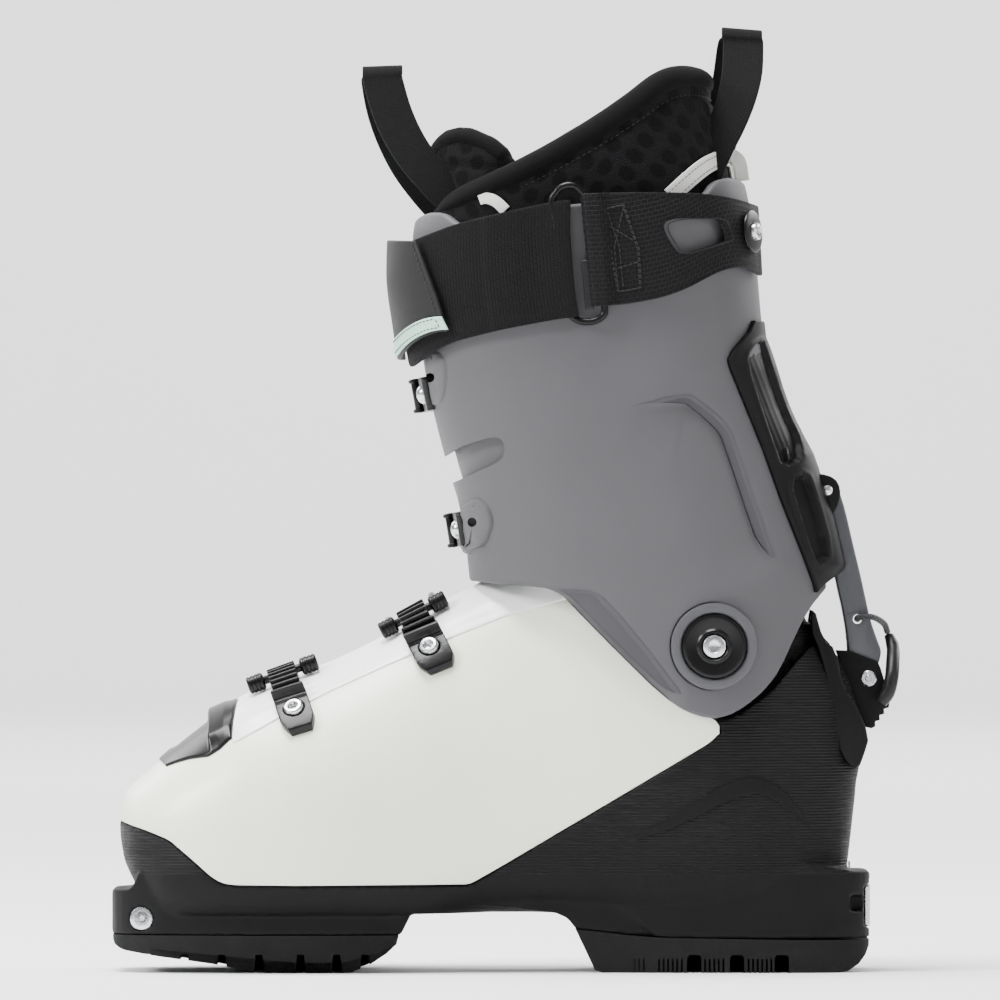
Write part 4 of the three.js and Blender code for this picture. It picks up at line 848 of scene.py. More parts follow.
def synth(name, a, rough=0.6):
    m = Mat(name)
    v = m.voronoi(1500, rand=0.9)
    f = m.noise(45, 3)
    c = m.mix(m.map(f, 0.3, 0.7), scaled(a, 0.85), scaled(a, 1.15))
    c = m.mix(m.map(v, 0.35, 0.0), c, scaled(a, 0.7))
    m.set(Base_Color=c, Roughness=m.map(f, 0.3, 0.7, rough - 0.06, rough + 0.06))
    m.set(Specular_IOR_Level=0.25)
    m.bump(v, 0.00012, 0.6)
    return m.m


M_SYNTH = synth("strap_synthetic_grey", lin("#121213"))
M_MINT = synth("accent_mint", lin("#A9CDBB"), 0.5)


def metal(name, col, rough, brushed=(1, 1, 1), scale=900, metallic=1.0, wear=0.1, scratch=0.5):
    m = Mat(name)
    v = m.mapping(m.obj, brushed)
    g = m.noise(scale, 3, 0.6, v)
    s = m.map(m.noise(340, 5, 0.7, m.mapping(m.obj, (1, 6, 1))), 0.60, 0.68)
    c = m.mix(m.map(g, 0.3, 0.7), scaled(col, 1 - wear), scaled(col, 1 + wear))
    m.set(Base_Color=c, Metallic=metallic, Roughness=m.math("ADD", m.map(g, 0.3, 0.7, rough - 0.06, rough + 0.08), m.math("MULTIPLY", s, 0.08)))
    m.bump(m.math("ADD", g, m.math("MULTIPLY", s, -0.6)), 0.00002, scratch)
    return m.m


M_STEEL = metal("steel_zinc_bright", lin("#CFD0D2"), 0.24, (1, 1, 1), 1400)
M_BUCKLE = metal("buckle_black_coated", lin("#19191A"), 0.36, (1, 1, 1), 1800, 0.5, 0.15)
M_ARM = metal("lever_grey_anodised", lin("#505154"), 0.42, (1, 1, 0.06), 2400, 0.8, 0.1)
M_RINGM = metal("ring_black_steel", lin("#131314"), 0.3, (1, 1, 1), 1500, 0.7, 0.1)


def mesh_cloth():
    m = Mat("liner_spacer_mesh")
    v = m.mapping(m.uv, (1, 1, 1))
    # honeycomb of dark cells behind a fine open knit
    d = m.voronoi(118, m.mapping(m.uv, (1, 1, 1), (0, 0, math.pi / 4)), rand=0.12)
    hole = m.map(d, 0.42, 0.3)
    net = m.voronoi(1250, v, rand=0.15)
    open_ = m.map(net, 0.38, 0.2)
    knit = m.noise(5200, 3, 0.7, v)
    c = m.mix(m.map(knit, 0.25, 0.75), lin("#060607"), lin("#1A1A1C"))
    c = m.mix(m.math("MULTIPLY", open_, 0.85), c, lin("#020202"))
    c = m.mix(m.math("MULTIPLY", hole, 0.85), c, lin("#020202"))
    m.set(Base_Color=c, Roughness=0.9, Sheen_Weight=0.02, Sheen_Roughness=0.5, Specular_IOR_Level=0.1)
    m.bump(m.math("ADD", m.math("SUBTRACT", 1.0, open_), m.math("MULTIPLY", hole, -0.8)), 0.0004, 0.9)
    return m.m


def knit_cloth(name, col, pitch=0.0008, rough=0.85, obj=False):
    m = Mat(name)
    src = m.sep(m.obj if obj else m.uv)
    k = 2 * math.pi / pitch
    a = m.math("SINE", m.math("MULTIPLY", src[0], k)); b = m.math("SINE", m.math("MULTIPLY", src[1], k * 1.4))
    w = m.math("MULTIPLY", a, b)
    n = m.noise(2600, 3, 0.65)
    soft = m.noise(60, 3, 0.5)
    c = m.mix(m.map(soft, 0.3, 0.7), scaled(col, 0.85), scaled(col, 1.2))
    c = m.mix(m.map(w, -1, 1, 0.25, 0.0), c, scaled(col, 0.5))
    m.set(Base_Color=c, Roughness=rough, Sheen_Weight=0.015, Sheen_Roughness=0.45, Specular_IOR_Level=0.1)
    m.bump(m.math("ADD", w, m.math("MULTIPLY", n, 0.9)), 0.00012, 0.8)
    return m.m


M_MESH = mesh_cloth()
M_NEO = knit_cloth("liner_neoprene_black", lin("#060607"), 0.0007)
M_BIND = knit_cloth("tongue_binding_black", lin("#060607"), 0.0011)
M_LINING = knit_cloth("liner_lining_charcoal", lin("#1C1C1E"), 0.0009, 0.9, True)
M_FOAM = knit_cloth("footbed_foam_grey", lin("#333437"), 0.0013, 0.92, True)


def thread(name, col):
    m = Mat(name)
    n = m.noise(6000, 2)
    m.set(Base_Color=m.mix(n, scaled(col, 0.7), scaled(col, 1.2)), Roughness=0.6)
    m.bump(n, 0.00005, 0.5)
    return m.m


M_THREAD = thread("thread_black", lin("#080808"))
M_THREAD_W = thread("thread_white", lin("#D8D7D2"))


def braid():
    m = Mat("cord_braid_black")
    u = m.sep(m.uv)
    k = 2 * math.pi / 0.0014
    a = m.math("SINE", m.math("MULTIPLY", m.math("ADD", u[0], u[1]), k)); b = m.math("SINE", m.math("MULTIPLY", m.math("SUBTRACT", u[0], u[1]), k))
    w = m.math("MAXIMUM", a, b)
    m.set(Base_Color=m.mix(m.map(w, -0.2, 1), lin("#0B0B0C"), lin("#2A2A2C")), Roughness=0.7, Sheen_Weight=0.2)
    m.bump(w, 0.00018, 0.8)
    return m.m


M_CORD = braid()
M_SLEEVE = plastic("sleeve_shrink_black", lin("#0F0F10"), 0.42, 0.08, 1500, 0.1, spec=0.3).m


def studio(name, col, rough):
    m = Mat(name)
    f = m.noise(6, 2)
    m.set(Base_Color=m.mix(f, scaled(col, 0.985), scaled(col, 1.0)), Roughness=rough, Specular_IOR_Level=0.2)
    return m.m


M_FLOOR = studio("studio_pale", [0.86, 0.86, 0.87], 0.7)


# ================================================================ lower shell
CLOG_LOW = np.array([[-141, 57.2], [-137.9, 56.0], [-128.9, 53.3], [-120.2, 50.0], [-110.8, 42.1], [-104.1, 36.1], [-99.6, 33.6], [-94.3, 33.1], [-71.8, 32.9], [-7.9, 33.1], [3.4, 39.6], [25.9, 53.0], [56.0, 70.8], [80.4, 85.3], [83.0, 87.2], [84.9, 89.8]])
_cx = np.arange(-141, 85.4, 0.5)
_cz = np.interp(_cx, CLOG_LOW[:, 0], CLOG_LOW[:, 1])
_k = np.hanning(11); _k /= _k.sum()
_cz = np.convolve(np.pad(_cz, 5, "edge"), _k, "valid")
clog_low = lambda x: np.interp(x, _cx, _cz)


CUFF_XZ = [[-30.1, 278.8], [-29.3, 281.4], [-26.3, 283.7], [-22.2, 284.6], [-18.4, 284.0], [-15.4, 281.8], [-12.0, 279.1], [10.9, 284.8], [41.0, 287.8], [71.0, 289.3], [80.8, 290.8],
           [82.3, 293.8], [85.3, 296.4], [89.8, 297.6], [94.3, 296.4], [97.7, 293.8], [101.8, 290.0], [153.7, 290.0], [153.7, 214.1], [139.4, 169.1], [135.6, 154.0], [130.4, 147.3], [121.7, 138.6], [117.6, 132.6], [113.5, 124.7], [109.0, 115.0], [105.2, 108.6], [99.9, 103.3], [95.1, 99.6], [90.2, 96.6],
           [85.3, 95.2], [80.8, 95.2], [75.5, 96.6], [69.1, 99.6], [61.6, 105.6], [51.5, 115.3], [41.0, 125.5], [31.6, 134.9], [26.7, 139.9], [24.0, 142.0], [20.7, 143.5], [10.9, 144.5], [3.4, 144.8], [-6.0, 145.8], [-22.9, 147.3], [-41.7, 176.6], [-41.7, 251.7], [-34.2, 274.3]]


def along_x(x0, x1):
    """u from 0 to 1 to x, even along the surface."""
    xs = np.linspace(x0, x1, 2000)
    t = FT(xs)
    s = np.concatenate([[0], np.cumsum(np.sqrt(np.diff(xs) ** 2 + 0.5 * np.diff(t[:, 4]) ** 2 + 0.5 * np.diff(t[:, 0]) ** 2))])
    return lambda u: np.interp(u, s / s[-1], xs)


def clog_surface(x0, x1):
    X = along_x(x0, x1)
    def S(u, v):
        x = X(u)
        b = foot_phi(x, clog_low(x))
        return foot_pt(x, (2 * v - 1) * b)
    return S


def shaft_solid(name):
    """The throat for the liner, only as far as the cuff hides it."""
    zs = np.linspace(112, 240, 40)
    t = (np.arange(96) + 0.5) / 96 * 2 * math.pi
    a = loft(name, leg_pt(zs[:, None], t[None, :], -WALL - 6.5))
    return boolean(a, prism("c", [[-34, 158], [-6, 152], [20, 150], [29, 146], [46, 130.5], [56, 119], [70, 108], [140, 108], [140, 262], [-34, 262]], -80, 80), "INTERSECT")


clog = skin("clog", clog_surface(-139.4, 85.2), 130, 124, 4.2, 0.55, flip=False)
clog_cut = prism("c", [[90, 80], [85.6, 90.6], [85.0, 92.6], [83.6, 94.4], [81.5, 95.6], [78.8, 96.5], [66, 104], [56, 114], [52, 130], [52, 260], [100, 260], [100, 80]], -80, 80)
boolean(clog, [clog_cut, shaft_solid("s")])
shade(clog, 50)

# black chassis under and behind the clog
HALF = [[-142, 14], [-141.7, 17], [-140.6, 22], [-137.5, 27.6], [-132, 32.3], [-124, 35.4], [-105, 38.9], [-85, 41], [-65, 41], [-40, 37.2], [-15, 32.2],
        [10, 29.6], [30, 30], [50, 31.5], [75, 33.8], [105, 34.8], [122, 33.4], [132, 30], [138, 25.5], [141, 20.5], [141.8, 17], [142, 14]]
_half = Tab([[x, y] for x, y in HALF])


def sole_plan(x0, x1, g=0.0, step=2.0):
    xs = np.unique(np.concatenate([np.arange(x0, x1, step), [x0, x1], [h[0] for h in HALF if x0 < h[0] < x1], x0 + np.array([0.15, 0.5, 1.0, 1.8]), x1 - np.array([0.15, 0.5, 1.0, 1.8])]))
    h = _half(xs)[:, 0] + g
    return np.concatenate([np.stack([xs, -h], 1), np.stack([xs, h], 1)[::-1]])


HEEL_TOP = [[31.6, 16.3], [41.0, 15.4], [52.2, 14.1], [62.0, 13.3], [78.5, 13.0], [117.6, 12.4], [145, 12.3]]
PLAT_XZ = [[-142, 14.4], [-142, 30.0], [-141.6, 30.9], [-140.8, 31.2], [-135.3, 31.2], [-133.4, 33.0], [-131.9, 36.8], [-120.6, 42.1], [-109.3, 45.1], [-71.8, 45.1], [41.0, 45.1], [116.1, 41.3], [133.4, 38.3], [135.4, 37.8], [140.6, 37.8], [141.7, 37.3], [142, 36.3],
           [142, 12.8], [37.2, 12.8], [33.5, 14.2], [28.6, 20.3], [24.4, 22.2], [14.7, 23.5], [5.3, 24.6], [-7.9, 25.2], [-22.9, 24.0], [-29.3, 22.9], [-33.6, 14.4]]


def cavity_rings(off, n=72, step=3.0, rows=None):
    rows = rows or [[-131, 20, 46, 58], [-128, 29, 38, 64], [-122, 35, 33, 68], [-100, 45.5, 29.5, 86], [-84, 47.5, 29.5, 97], [-70, 48, 29.5, 105],
                    [-50, 46.5, 30, 113.5], [-30, 43.5, 30.5, 124.5], [-14, 40.6, 31, 133.5], [0, 38.6, 31.5, 141], [15, 37.6, 32, 147], [60, 36.6, 33, 152],
                    [84, 36.4, 33, 150], [100, 34.4, 33, 146], [112, 29, 34, 140], [118, 22.5, 40, 134], [122.4, 12, 56, 124]]
    T = Tab(rows)
    xs = np.unique(np.concatenate([np.arange(-131, 122.4, step), [r[0] for r in rows]]))
    q = T(xs); w, zb, zt = q[:, 0] + off, q[:, 1] - off, q[:, 2] + off
    zc = q[:, 1] + (q[:, 2] - q[:, 1]) * 0.42
    t = (np.arange(n) + 0.5) / n * 2 * math.pi
    c, s = np.cos(t)[None], np.sin(t)[None]
    e = np.where(s < 0, 2 / 3.2, 2 / np.where(xs > 20, 2.9, 2.3)[:, None])
    h = np.where(s < 0, (zc - zb)[:, None], (zt - zc)[:, None])
    x = xs + np.where(xs < -125, -off, np.where(xs > 117, off, 0))
    return np.stack([np.broadcast_to(x[:, None], h.shape), np.sign(c) * w[:, None] * np.abs(c) ** e, zc[:, None] + np.sign(s) * h * np.abs(s) ** e], -1)



def cuff_band(name, lo=0.9, hi=-WALL - 0.8, z0=88, z1=200):
    a = leg_solid(name, lo, z0, z1, n=72, step=6)
    return boolean(boolean(a, leg_solid("b", hi, z0 - 5, z1 + 5, n=72, step=6)), prism("c", grow(CUFF_XZ, 0.8), -80, 80), "INTERSECT")


chassis = foot_solid("chassis", 0, n=120)
boolean(chassis, [box("b", -200, 200, -80, 80, -5, 22), box("b", -200, -138.9, -80, 80, 0, 44)])
plat = plate("p", sole_plan(-142, 142), 5, 60)
boolean(plat, prism("q", PLAT_XZ, -60, 60), "INTERSECT")
# slanted facet where the arch runs into the heel block
boolean(plat, [prism("f", [[10.9, 33.8], [38.7, 31.9], [62.0, 13.5], [56.0, -7.5], [10.9, -7.5]], s * 45 - 14.2, s * 45 + 14.2) for s in (-1, 1)])
boolean(chassis, plat, "UNION")
boolean(chassis, [loft("v", cavity_rings(0)), shaft_solid("s")])
clog_zone = [[-160, 63], *[[x, clog_low(x) - 0.2] for x in np.arange(-141, 85.2, 2.0)], [85.4, 88.5], [85.8, 90.6], [85.2, 92.8], [83.8, 94.7], [81.6, 96.0], [78.9, 96.9], [66.3, 104.4], [56.3, 114.3], [52.2, 130], [52.2, 260], [-60, 260], [-200, 160], [-200, 63]]
boolean(chassis, prism("c", clog_zone, -80, 80))
for a in (-5, 0, 5, 10, 14, 16):
    boolean(chassis, turn_y(cuff_band("w"), a))
boolean(chassis, [box("b", 127.4, 160, -11.4, 11.4, 68, 140),
                  rod("b", [INSERT[0], -45, INSERT[1]], [INSERT[0], 45, INSERT[1]], 4.5, 24, 0), box("b", INSERT[0] - 5.6, INSERT[0] + 4.2, -60, -34.2, INSERT[1] - 4.2, INSERT[1] + 4.2), box("b", INSERT[0] - 5.6, INSERT[0] + 4.2, 34.2, 60, INSERT[1] - 4.2, INSERT[1] + 4.2), box("b", INSERT[0] - 3.4, INSERT[0] + 8.4, -20.4, 20.4, INSERT[1] - 4.4, INSERT[1] + 4.4),
                  box("b", 126, 150, -17.4, 17.4, 12, 34.2)])
# side window of the heel fitting, the seat of its plate and the seam over the heel rubber
boolean(chassis, [box("b", 134.1, 139.4, s * 33 - 11, s * 33 + 11, 22.9, 28.9) for s in (-1, 1)])
boolean(chassis, [box("b", 139.5, 150, -60, 60, 16.9, 32.6), prism("b", HEEL_TOP + [[145, -5], [31.5, -5]], -80, 80)])
remesh(chassis, 0.85, 2, 0.5, 90000)

# smooth band across the ribbed side
CHEV_TOP = np.array([[54.5, 51.1], [63.9, 57.1], [78.5, 65.9], [88.3, 71.4], [93.9, 73.3], [100.3, 73.3], [105.6, 71.2], [112.3, 65.4], [119.5, 55.2]])
CHEV_BOT = np.array([[54.9, 50.5], [64.2, 53.0], [74.8, 57.5], [84.5, 62.7], [92.8, 66.3], [99.2, 67.3], [104.1, 65.9], [111.6, 60.9], [119.3, 54.7]])


def side_of_foot(x, z, side, off=0.0):
    phi = foot_phi(x, z)
    return foot_pt(x, -side * phi, off)


def patch_on_foot(name, top, bot, side, off, th, nu, nv, r=0.3, **k):
    a, b = resample(chaikin(top, 2, False), 0.8), resample(chaikin(bot, 2, False), 0.8)
    sa, sb = np.linspace(0, 1, len(a)), np.linspace(0, 1, len(b))
    def S(u, v):
        x = (1 - v) * np.interp(u, sb, b[:, 0]) + v * np.interp(u, sa, a[:, 0])
        z = (1 - v) * np.interp(u, sb, b[:, 1]) + v * np.interp(u, sa, a[:, 1])
        return side_of_foot(x, z, side, off)
    return skin(name, S, nu, nv, th, r, flip=side > 0, **k)


chev = [patch_on_foot("chevron_" + t, CHEV_TOP, CHEV_BOT, s, 0.32, 1.6, 90, 8, 0.25) for s, t in ((-1, "inner"), (1, "outer"))]

# raised ribs either side of the heel channel
RIB_XZ = [[120.6, 137.5], [124.4, 124.0], [128.9, 121.0], [131.9, 105.9], [136.0, 101.4], [141.6, 88.3], [139.8, 81.9], [137.5, 75.9], [133.4, 77.4], [129.6, 84.9], [127.0, 101.4], [123.6, 118.0], [119.1, 129.2]]
ribs = []
for s in (-1, 1):
    q = prism("rib", chaikin(RIB_XZ, 1), s * 18 - 7.5, s * 18 + 7.5, 0.8)
    core = foot_solid("k", 1.5, 96, 141.8, n=72)
    ribs.append(q)
    bpy.data.objects.remove(core)

# ================================================================ white instep flap
FLAP_LOW = np.array([[-98.4, 86.0], [-95.8, 85.8], [-79.3, 94.9], [-60.5, 104.8], [-37.9, 115.0], [-13.1, 125.5], [7.1, 133.4], [25.9, 138.6], [44.7, 142.8]])
flap_low = lambda x: np.interp(x, FLAP_LOW[:, 0], FLAP_LOW[:, 1])


def flap_surface(u, v):
    x0 = -96.6 + 1.6 * np.cos((2 * v - 1) * math.pi * 0.5) ** 2
    x = x0 + (38 - x0) * u
    b = foot_phi(x, flap_low(x))
    return foot_pt(x, (2 * v - 1) * b, 1.0)


def flap_disp(P, U, V):
    # a soft crease above the lower edge
    x, y, z = P[..., 0], P[..., 1], P[..., 2]
    e = z - flap_low(x)
    side = smooth_step(3.0, 7.0, e)
    return -0.35 * (1 - side) * (np.abs(y) > 8)


flap = skin("instep_flap_skin", flap_surface, 84, 110, 1.9, 0.6, disp=flap_disp)
boolean(flap, shaft_solid("s"))
shade(flap, 50)

# ================================================================ black toe insert
DAM_EDGE = np.array([[-125.1, 77.0], [-124.0, 75.7], [-118.7, 77.8], [-113.1, 79.5], [-105.9, 80.6], [-101.4, 83.4], [-98.1, 86.6], [-96.9, 87.5]])
dam_edge = lambda x: np.interp(x, DAM_EDGE[:, 0], DAM_EDGE[:, 1])


def dam_surface(u, v):
    x0 = -125.0 + 3.0 * (2 * v - 1) ** 2
    x1 = -97.0 + 1.6 * np.cos((2 * v - 1) * math.pi * 0.5) ** 2
    x = x0 + (x1 - x0) * u
    b = foot_phi(x, dam_edge(x))
    return foot_pt(x, (2 * v - 1) * b, 1.15)


def dam_disp(P, U, V):
    y, x = P[..., 1], P[..., 0]
    bump = smooth_step(-105.6, -104.2, x) * np.interp(x, [-104.2, -99, -97, -95], [3.0, 1.6, 0.4, 0.0])
    slot = -0.75 * smooth_step(-121, -118.5, x) * smooth_step(-105.8, -107.5, x) * smooth_step(0.24, 0.31, V) * smooth_step(0.76, 0.69, V)
    return bump * smooth_step(0.0, 0.1, V) * smooth_step(1.0, 0.9, V) + slot


dam = skin("toe_dam_skin", dam_surface, 64, 88, 3.0, 0.9, disp=dam_disp)

# ================================================================ soles
TOE_SIDE = [[-141.6, 14.1], [-141.6, 12.6], [-140.9, 10.6], [-139, 9.2], [-137, 8.4], [-124, 6.2], [-104, 3.4], [-96, 1.9], [-89, 0.5], [-85, 0], [-55, 0], [-52, 0.4], [-46, 2.6], [-39, 7.2], [-35.2, 10.8], [-34.4, 14.1]]
toe_sole = plate("toe_sole_rubber", sole_plan(-141.6, -34.4), -1, 14.1)
boolean(toe_sole, prism("q", TOE_SIDE, -60, 60), "INTERSECT")
cuts = []
for x in (-128.5, -114.5, -100.5, -86.5, -71, -57.5, -47):
    for s in (-1, 1):
        cuts.append(prism("g", [[x - 2.2, -2], [x - 1.3, 7.0], [x + 1.3, 7.0], [x + 2.2, -2]], min(s * 12, s * 60), max(s * 12, s * 60)))
cuts.append(box("g", -131, -90, -8.5, 8.5, -2, 6.2))
cuts.append(box("g", -72, -44, -7, 7, -2, 3.2))
OUTER = [[-150.7, -11.3], [-150.7, 12.0], [-128.1, 9.2], [-109.3, 7.5], [-86.8, 5.3], [-71.8, 4.1], [-54.9, 4.1], [-41.7, 7.5], [-34.2, 11.8], [-29.7, 16.9], [-19.2, 16.9], [-19.2, -11.3]]
for s in (-1, 1):
    cuts.append(prism("g", OUTER, min(s * 34.5, s * 60), max(s * 34.5, s * 60)))
    for x0, x1 in ((-86.0, -72.9), (-68.4, -56.0)):
        for x in np.arange(x0, x1, 1.5):
            cuts.append(box("g", x, x + 0.7, min(s * 33.6, s * 35), max(s * 33.6, s * 35), -2, 4.2))
boolean(toe_sole, cuts)
shade(toe_sole, 30)

HEEL_SIDE = [[x, z - 0.15] for x, z in HEEL_TOP[:-1]][::-1] + [[31.7, 16.0], [37.9, 3.0], [38.7, 1.1], [41.2, 0.3], [42.2, 0], [130, 0], [133.5, 0.6], [137.5, 3.2], [140.2, 6.6], [141.5, 10], [141.6, 12.2]]
heel_sole = plate("heel_sole_rubber", sole_plan(31.0, 141.6), -1, 18)
boolean(heel_sole, prism("q", HEEL_SIDE, -60, 60), "INTERSECT")
cuts = []
for x in (75.9, 91.9, 108.6):
    for s in (-1, 1):
        cuts.append(prism("g", [[x - 2.7, -2], [x - 2.7, 5.6], [x - 1.9, 6.7], [x + 1.9, 6.7], [x + 2.7, 5.6], [x + 2.7, -2]], min(s * 11, s * 60), max(s * 11, s * 60)))
for x0, x1 in ((53.3, 58.2), (62.4, 72.1), (79.6, 87.9), (95.8, 104.4)):
    for x in np.arange(x0, x1, 1.7):
        for s in (-1, 1):
            cuts.append(box("g", x, x + 0.75, min(s * 31.5, s * 60), max(s * 31.5, s * 60), -2, 5.2))
cuts.append(box("g", 54, 122, -7, 7, -2, 4))
cuts.append(box("g", 136, 150, -5, 5, -2, 14))
boolean(heel_sole, cuts)
cuts.append(prism("g", [[117.4, 11.6], [117.8, 11.6], [117.8, -7.5], [117.4, -7.5]], -60, -38.5))
boolean(heel_sole, cuts[-1])
shade(heel_sole, 30)

# ================================================================ binding fittings
ins = []
for s in (-1, 1):
    y = s * 33.3
    prof = [(0, 3.2), (1.0, 3.2), (1.2, 2.9), (2.5, 0.35), (2.8, 0.0), (3.6, 0.0), (4.1, 0.2), (4.35, 0.6), (4.35, 14.0), (0, 14.0)]
    ins.append(turned("ins", prof, [INSERT[0], y, INSERT[1]], [0, -s, 0], 40, 30))
ins.append(box("bar", INSERT[0] - 3, INSERT[0] + 8, -20, 20, INSERT[1] - 4, INSERT[1] + 4, 0.6))
toe_insert = join("toe_insert_steel", ins)

heel_plate = box("heel_insert_steel", 126.4, 137.5, -13.5, 13.5, 14.4, 33.8, 0)
boolean(heel_plate, [box("b", 139.6, 142.0, -17, 17, 16.9, 32.5)], "UNION")
boolean(heel_plate, box("b", 137.0, 140.0, -9.0, 9.0, 20, 30), "UNION")
boolean(heel_plate, [box("b", 136, 150, -5, 5, 10, 29), box("b", 138.5, 150, -13.5, -9.6, 19, 27), box("b", 138.5, 150, 9.6, 13.5, 19, 27), rod("b", [133, 0, 25], [133, 0, 40], 2.4, 24, 0)])
remesh(heel_plate, 0.4, 2, 0.5, 12000)
heel_screw = rod("heel_screw", [133, 0, 25.4], [133, 0, 41], 2.05, 20)


# ================================================================ cuff
_tf = np.linspace(0, 2 * math.pi, 4001)
_mid = leg_pt(np.full(4001, 205.0), _tf)
_sl = np.concatenate([[0], np.cumsum(np.linalg.norm(np.diff(_mid, axis=0), axis=1))])
T_OF_U = lambda u: np.interp(u, _sl / _sl[-1], _tf)
U_OF_T = lambda t: np.interp(t, _tf, _sl / _sl[-1])
CUFF_S = chaikin(CUFF_XZ, 1)
_uc = np.linspace(0, 1, 641)
_clo, _chi = col_range(CUFF_S, T_OF_U(_uc), z0=85)
for a in (_clo, _chi):
    b = np.convolve(np.concatenate([a[-8:-1], a, a[1:8]]), np.hanning(9) / np.hanning(9).sum(), "same")[7:-7]
    a[:] = b


def cuff_surface(u, v):
    lo, hi = np.interp(u, _uc, _clo), np.interp(u, _uc, _chi)
    return leg_pt(lo + (hi - lo) * v, T_OF_U(u))


LEDGE = np.array([[45.5, 209.6], [55.2, 212.5], [72.5, 216.6], [77.4, 214.1], [88.7, 204.8], [91.7, 196.9], [98.1, 177.7], [104.4, 159.7], [109.0, 148.4]])
FACET = np.array([[16.9, 144.3], [36.8, 143.5], [40.6, 141.3], [50.3, 130.7], [59.7, 119.5], [68.0, 108.2], [75.5, 101.4]])
FACET_REGION = np.array([[16.9, 144.3], [36.8, 143.5], [40.6, 141.3], [50.3, 130.7], [59.7, 119.5], [68.0, 108.2], [75.5, 101.4], [78.5, 90.2], [56.0, 99.6], [37.2, 124.0], [22.2, 139.0], [14.7, 142.8]])
HEX_BOSS = chaikin([[-12.4, 174.7], [-5.6, 177.3], [-0.8, 173.2], [0.4, 167.6], [-1.9, 160.4], [-9.4, 156.3], [-14.7, 154.0], [-19.2, 161.6], [-18.4, 170.9]], 1)
UP_BOSS = chaikin([[-26.7, 229.9], [-22.2, 232.9], [-17.7, 229.2], [-16.5, 220.2], [-18.8, 211.1], [-23.7, 209.6], [-28.9, 212.3], [-30.4, 223.5]], 1)


def signed_line(line, X, Z):
    """Distance to an open line, positive on its left when walked in order."""
    p = np.asarray(line, float)
    best, sgn, along = np.full(np.shape(X), 1e9), np.zeros(np.shape(X)), np.zeros(np.shape(X))
    L = 0.0
    for a, b in zip(p[:-1], p[1:]):
        ab = b - a; n = np.hypot(*ab)
        t = np.clip(((X - a[0]) * ab[0] + (Z - a[1]) * ab[1]) / (n * n), 0, 1)
        d = np.hypot(X - a[0] - t * ab[0], Z - a[1] - t * ab[1])
        c = ab[0] * (Z - a[1]) - ab[1] * (X - a[0])
        m = d < best
        best = np.where(m, d, best); sgn = np.where(m, np.sign(c), sgn); along = np.where(m, L + t * n, along)
        L += n
    return best * sgn, along / L


def cuff_disp(P, U, V):
    x, y, z = P[..., 0], P[..., 1], P[..., 2]
    side = smooth_step(14, 26, np.abs(y))
    d, s = signed_line(chaikin(LEDGE, 2, False), x, z)
    inn = -d
    fade = smooth_step(0.0, 0.3, s) * smooth_step(1.0, 0.86, s)
    D = -2.7 * np.clip(inn / 3.2, 0, 1) * (1 - smooth_step(4.0, 30, inn)) * fade
    f = pip(FACET_REGION, x, z)
    dl, sl = signed_line(FACET, x, z)
    D = D - 3.1 * np.clip(np.abs(dl) / 5.8, 0, 1) * f * smooth_step(0.0, 0.14, sl) * smooth_step(1.0, 0.86, sl)
    D = D * side
    # slight hand-made unevenness of a moulded shell
    D = D + 0.10 * grid_noise(P, 3, 16.0)
    return D


cuff = skin("cuff_shell", cuff_surface, 310, 120, WALL, 1.3, per_u=True, disp=cuff_disp)
# darker band along the ledge, on both sides: painted shade on the chamfer below the ledge
_L = resample(chaikin(LEDGE, 2, False), 0.8)
_s = np.linspace(0, 1, len(_L))
_t = np.gradient(_L, axis=0); _t /= np.linalg.norm(_t, axis=1)[:, None]
painted_shade_bands = []
for side, tag in ((-1, "inner"), (1, "outer")):
    def S(u, v, side=side):
        u = 0.07 + 0.86 * u
        w = 3.5 * smooth_step(0.05, 0.3, u) * smooth_step(1.0, 0.82, u) * v
        x = np.interp(u, _s, _L[:, 0]) + np.interp(u, _s, _t[:, 1]) * w
        z = np.interp(u, _s, _L[:, 1]) - np.interp(u, _s, _t[:, 0]) * w
        return leg_side(x, z, side, 0.16)
    painted_shade_bands.append(skin("ledge_band_" + tag, S, 100, 7, 1.0, 0.2, disp=cuff_disp))

# darker band on the bevel above the lower front edge: painted shade
_FT = resample(chaikin([[24.4, 143.2], [37.2, 143.3], [41.3, 140.9], [45.5, 136.8], [53.0, 128.1], [60.5, 118.7], [66.5, 110.8], [70.6, 105.2]], 2, False), 0.8)
_FB = resample(chaikin([[24.8, 142.9], [28.2, 141.8], [33.1, 137.1], [42.1, 127.9], [52.6, 117.6], [62.4, 108.0], [65.7, 105.8], [70.6, 104.4]], 2, False), 0.8)
_ft, _fb = np.linspace(0, 1, len(_FT)), np.linspace(0, 1, len(_FB))
for side, tag in ((-1, "inner"), (1, "outer")):
    def S(u, v, side=side):
        x = (1 - v) * np.interp(u, _fb, _FB[:, 0]) + v * np.interp(u, _ft, _FT[:, 0])
        z = (1 - v) * np.interp(u, _fb, _FB[:, 1]) + v * np.interp(u, _ft, _FT[:, 1])
        return leg_side(x, z, side, 0.16)
    painted_shade_bands.append(skin("front_bevel_" + tag, S, 100, 10, 1.0, 0.2, disp=cuff_disp))

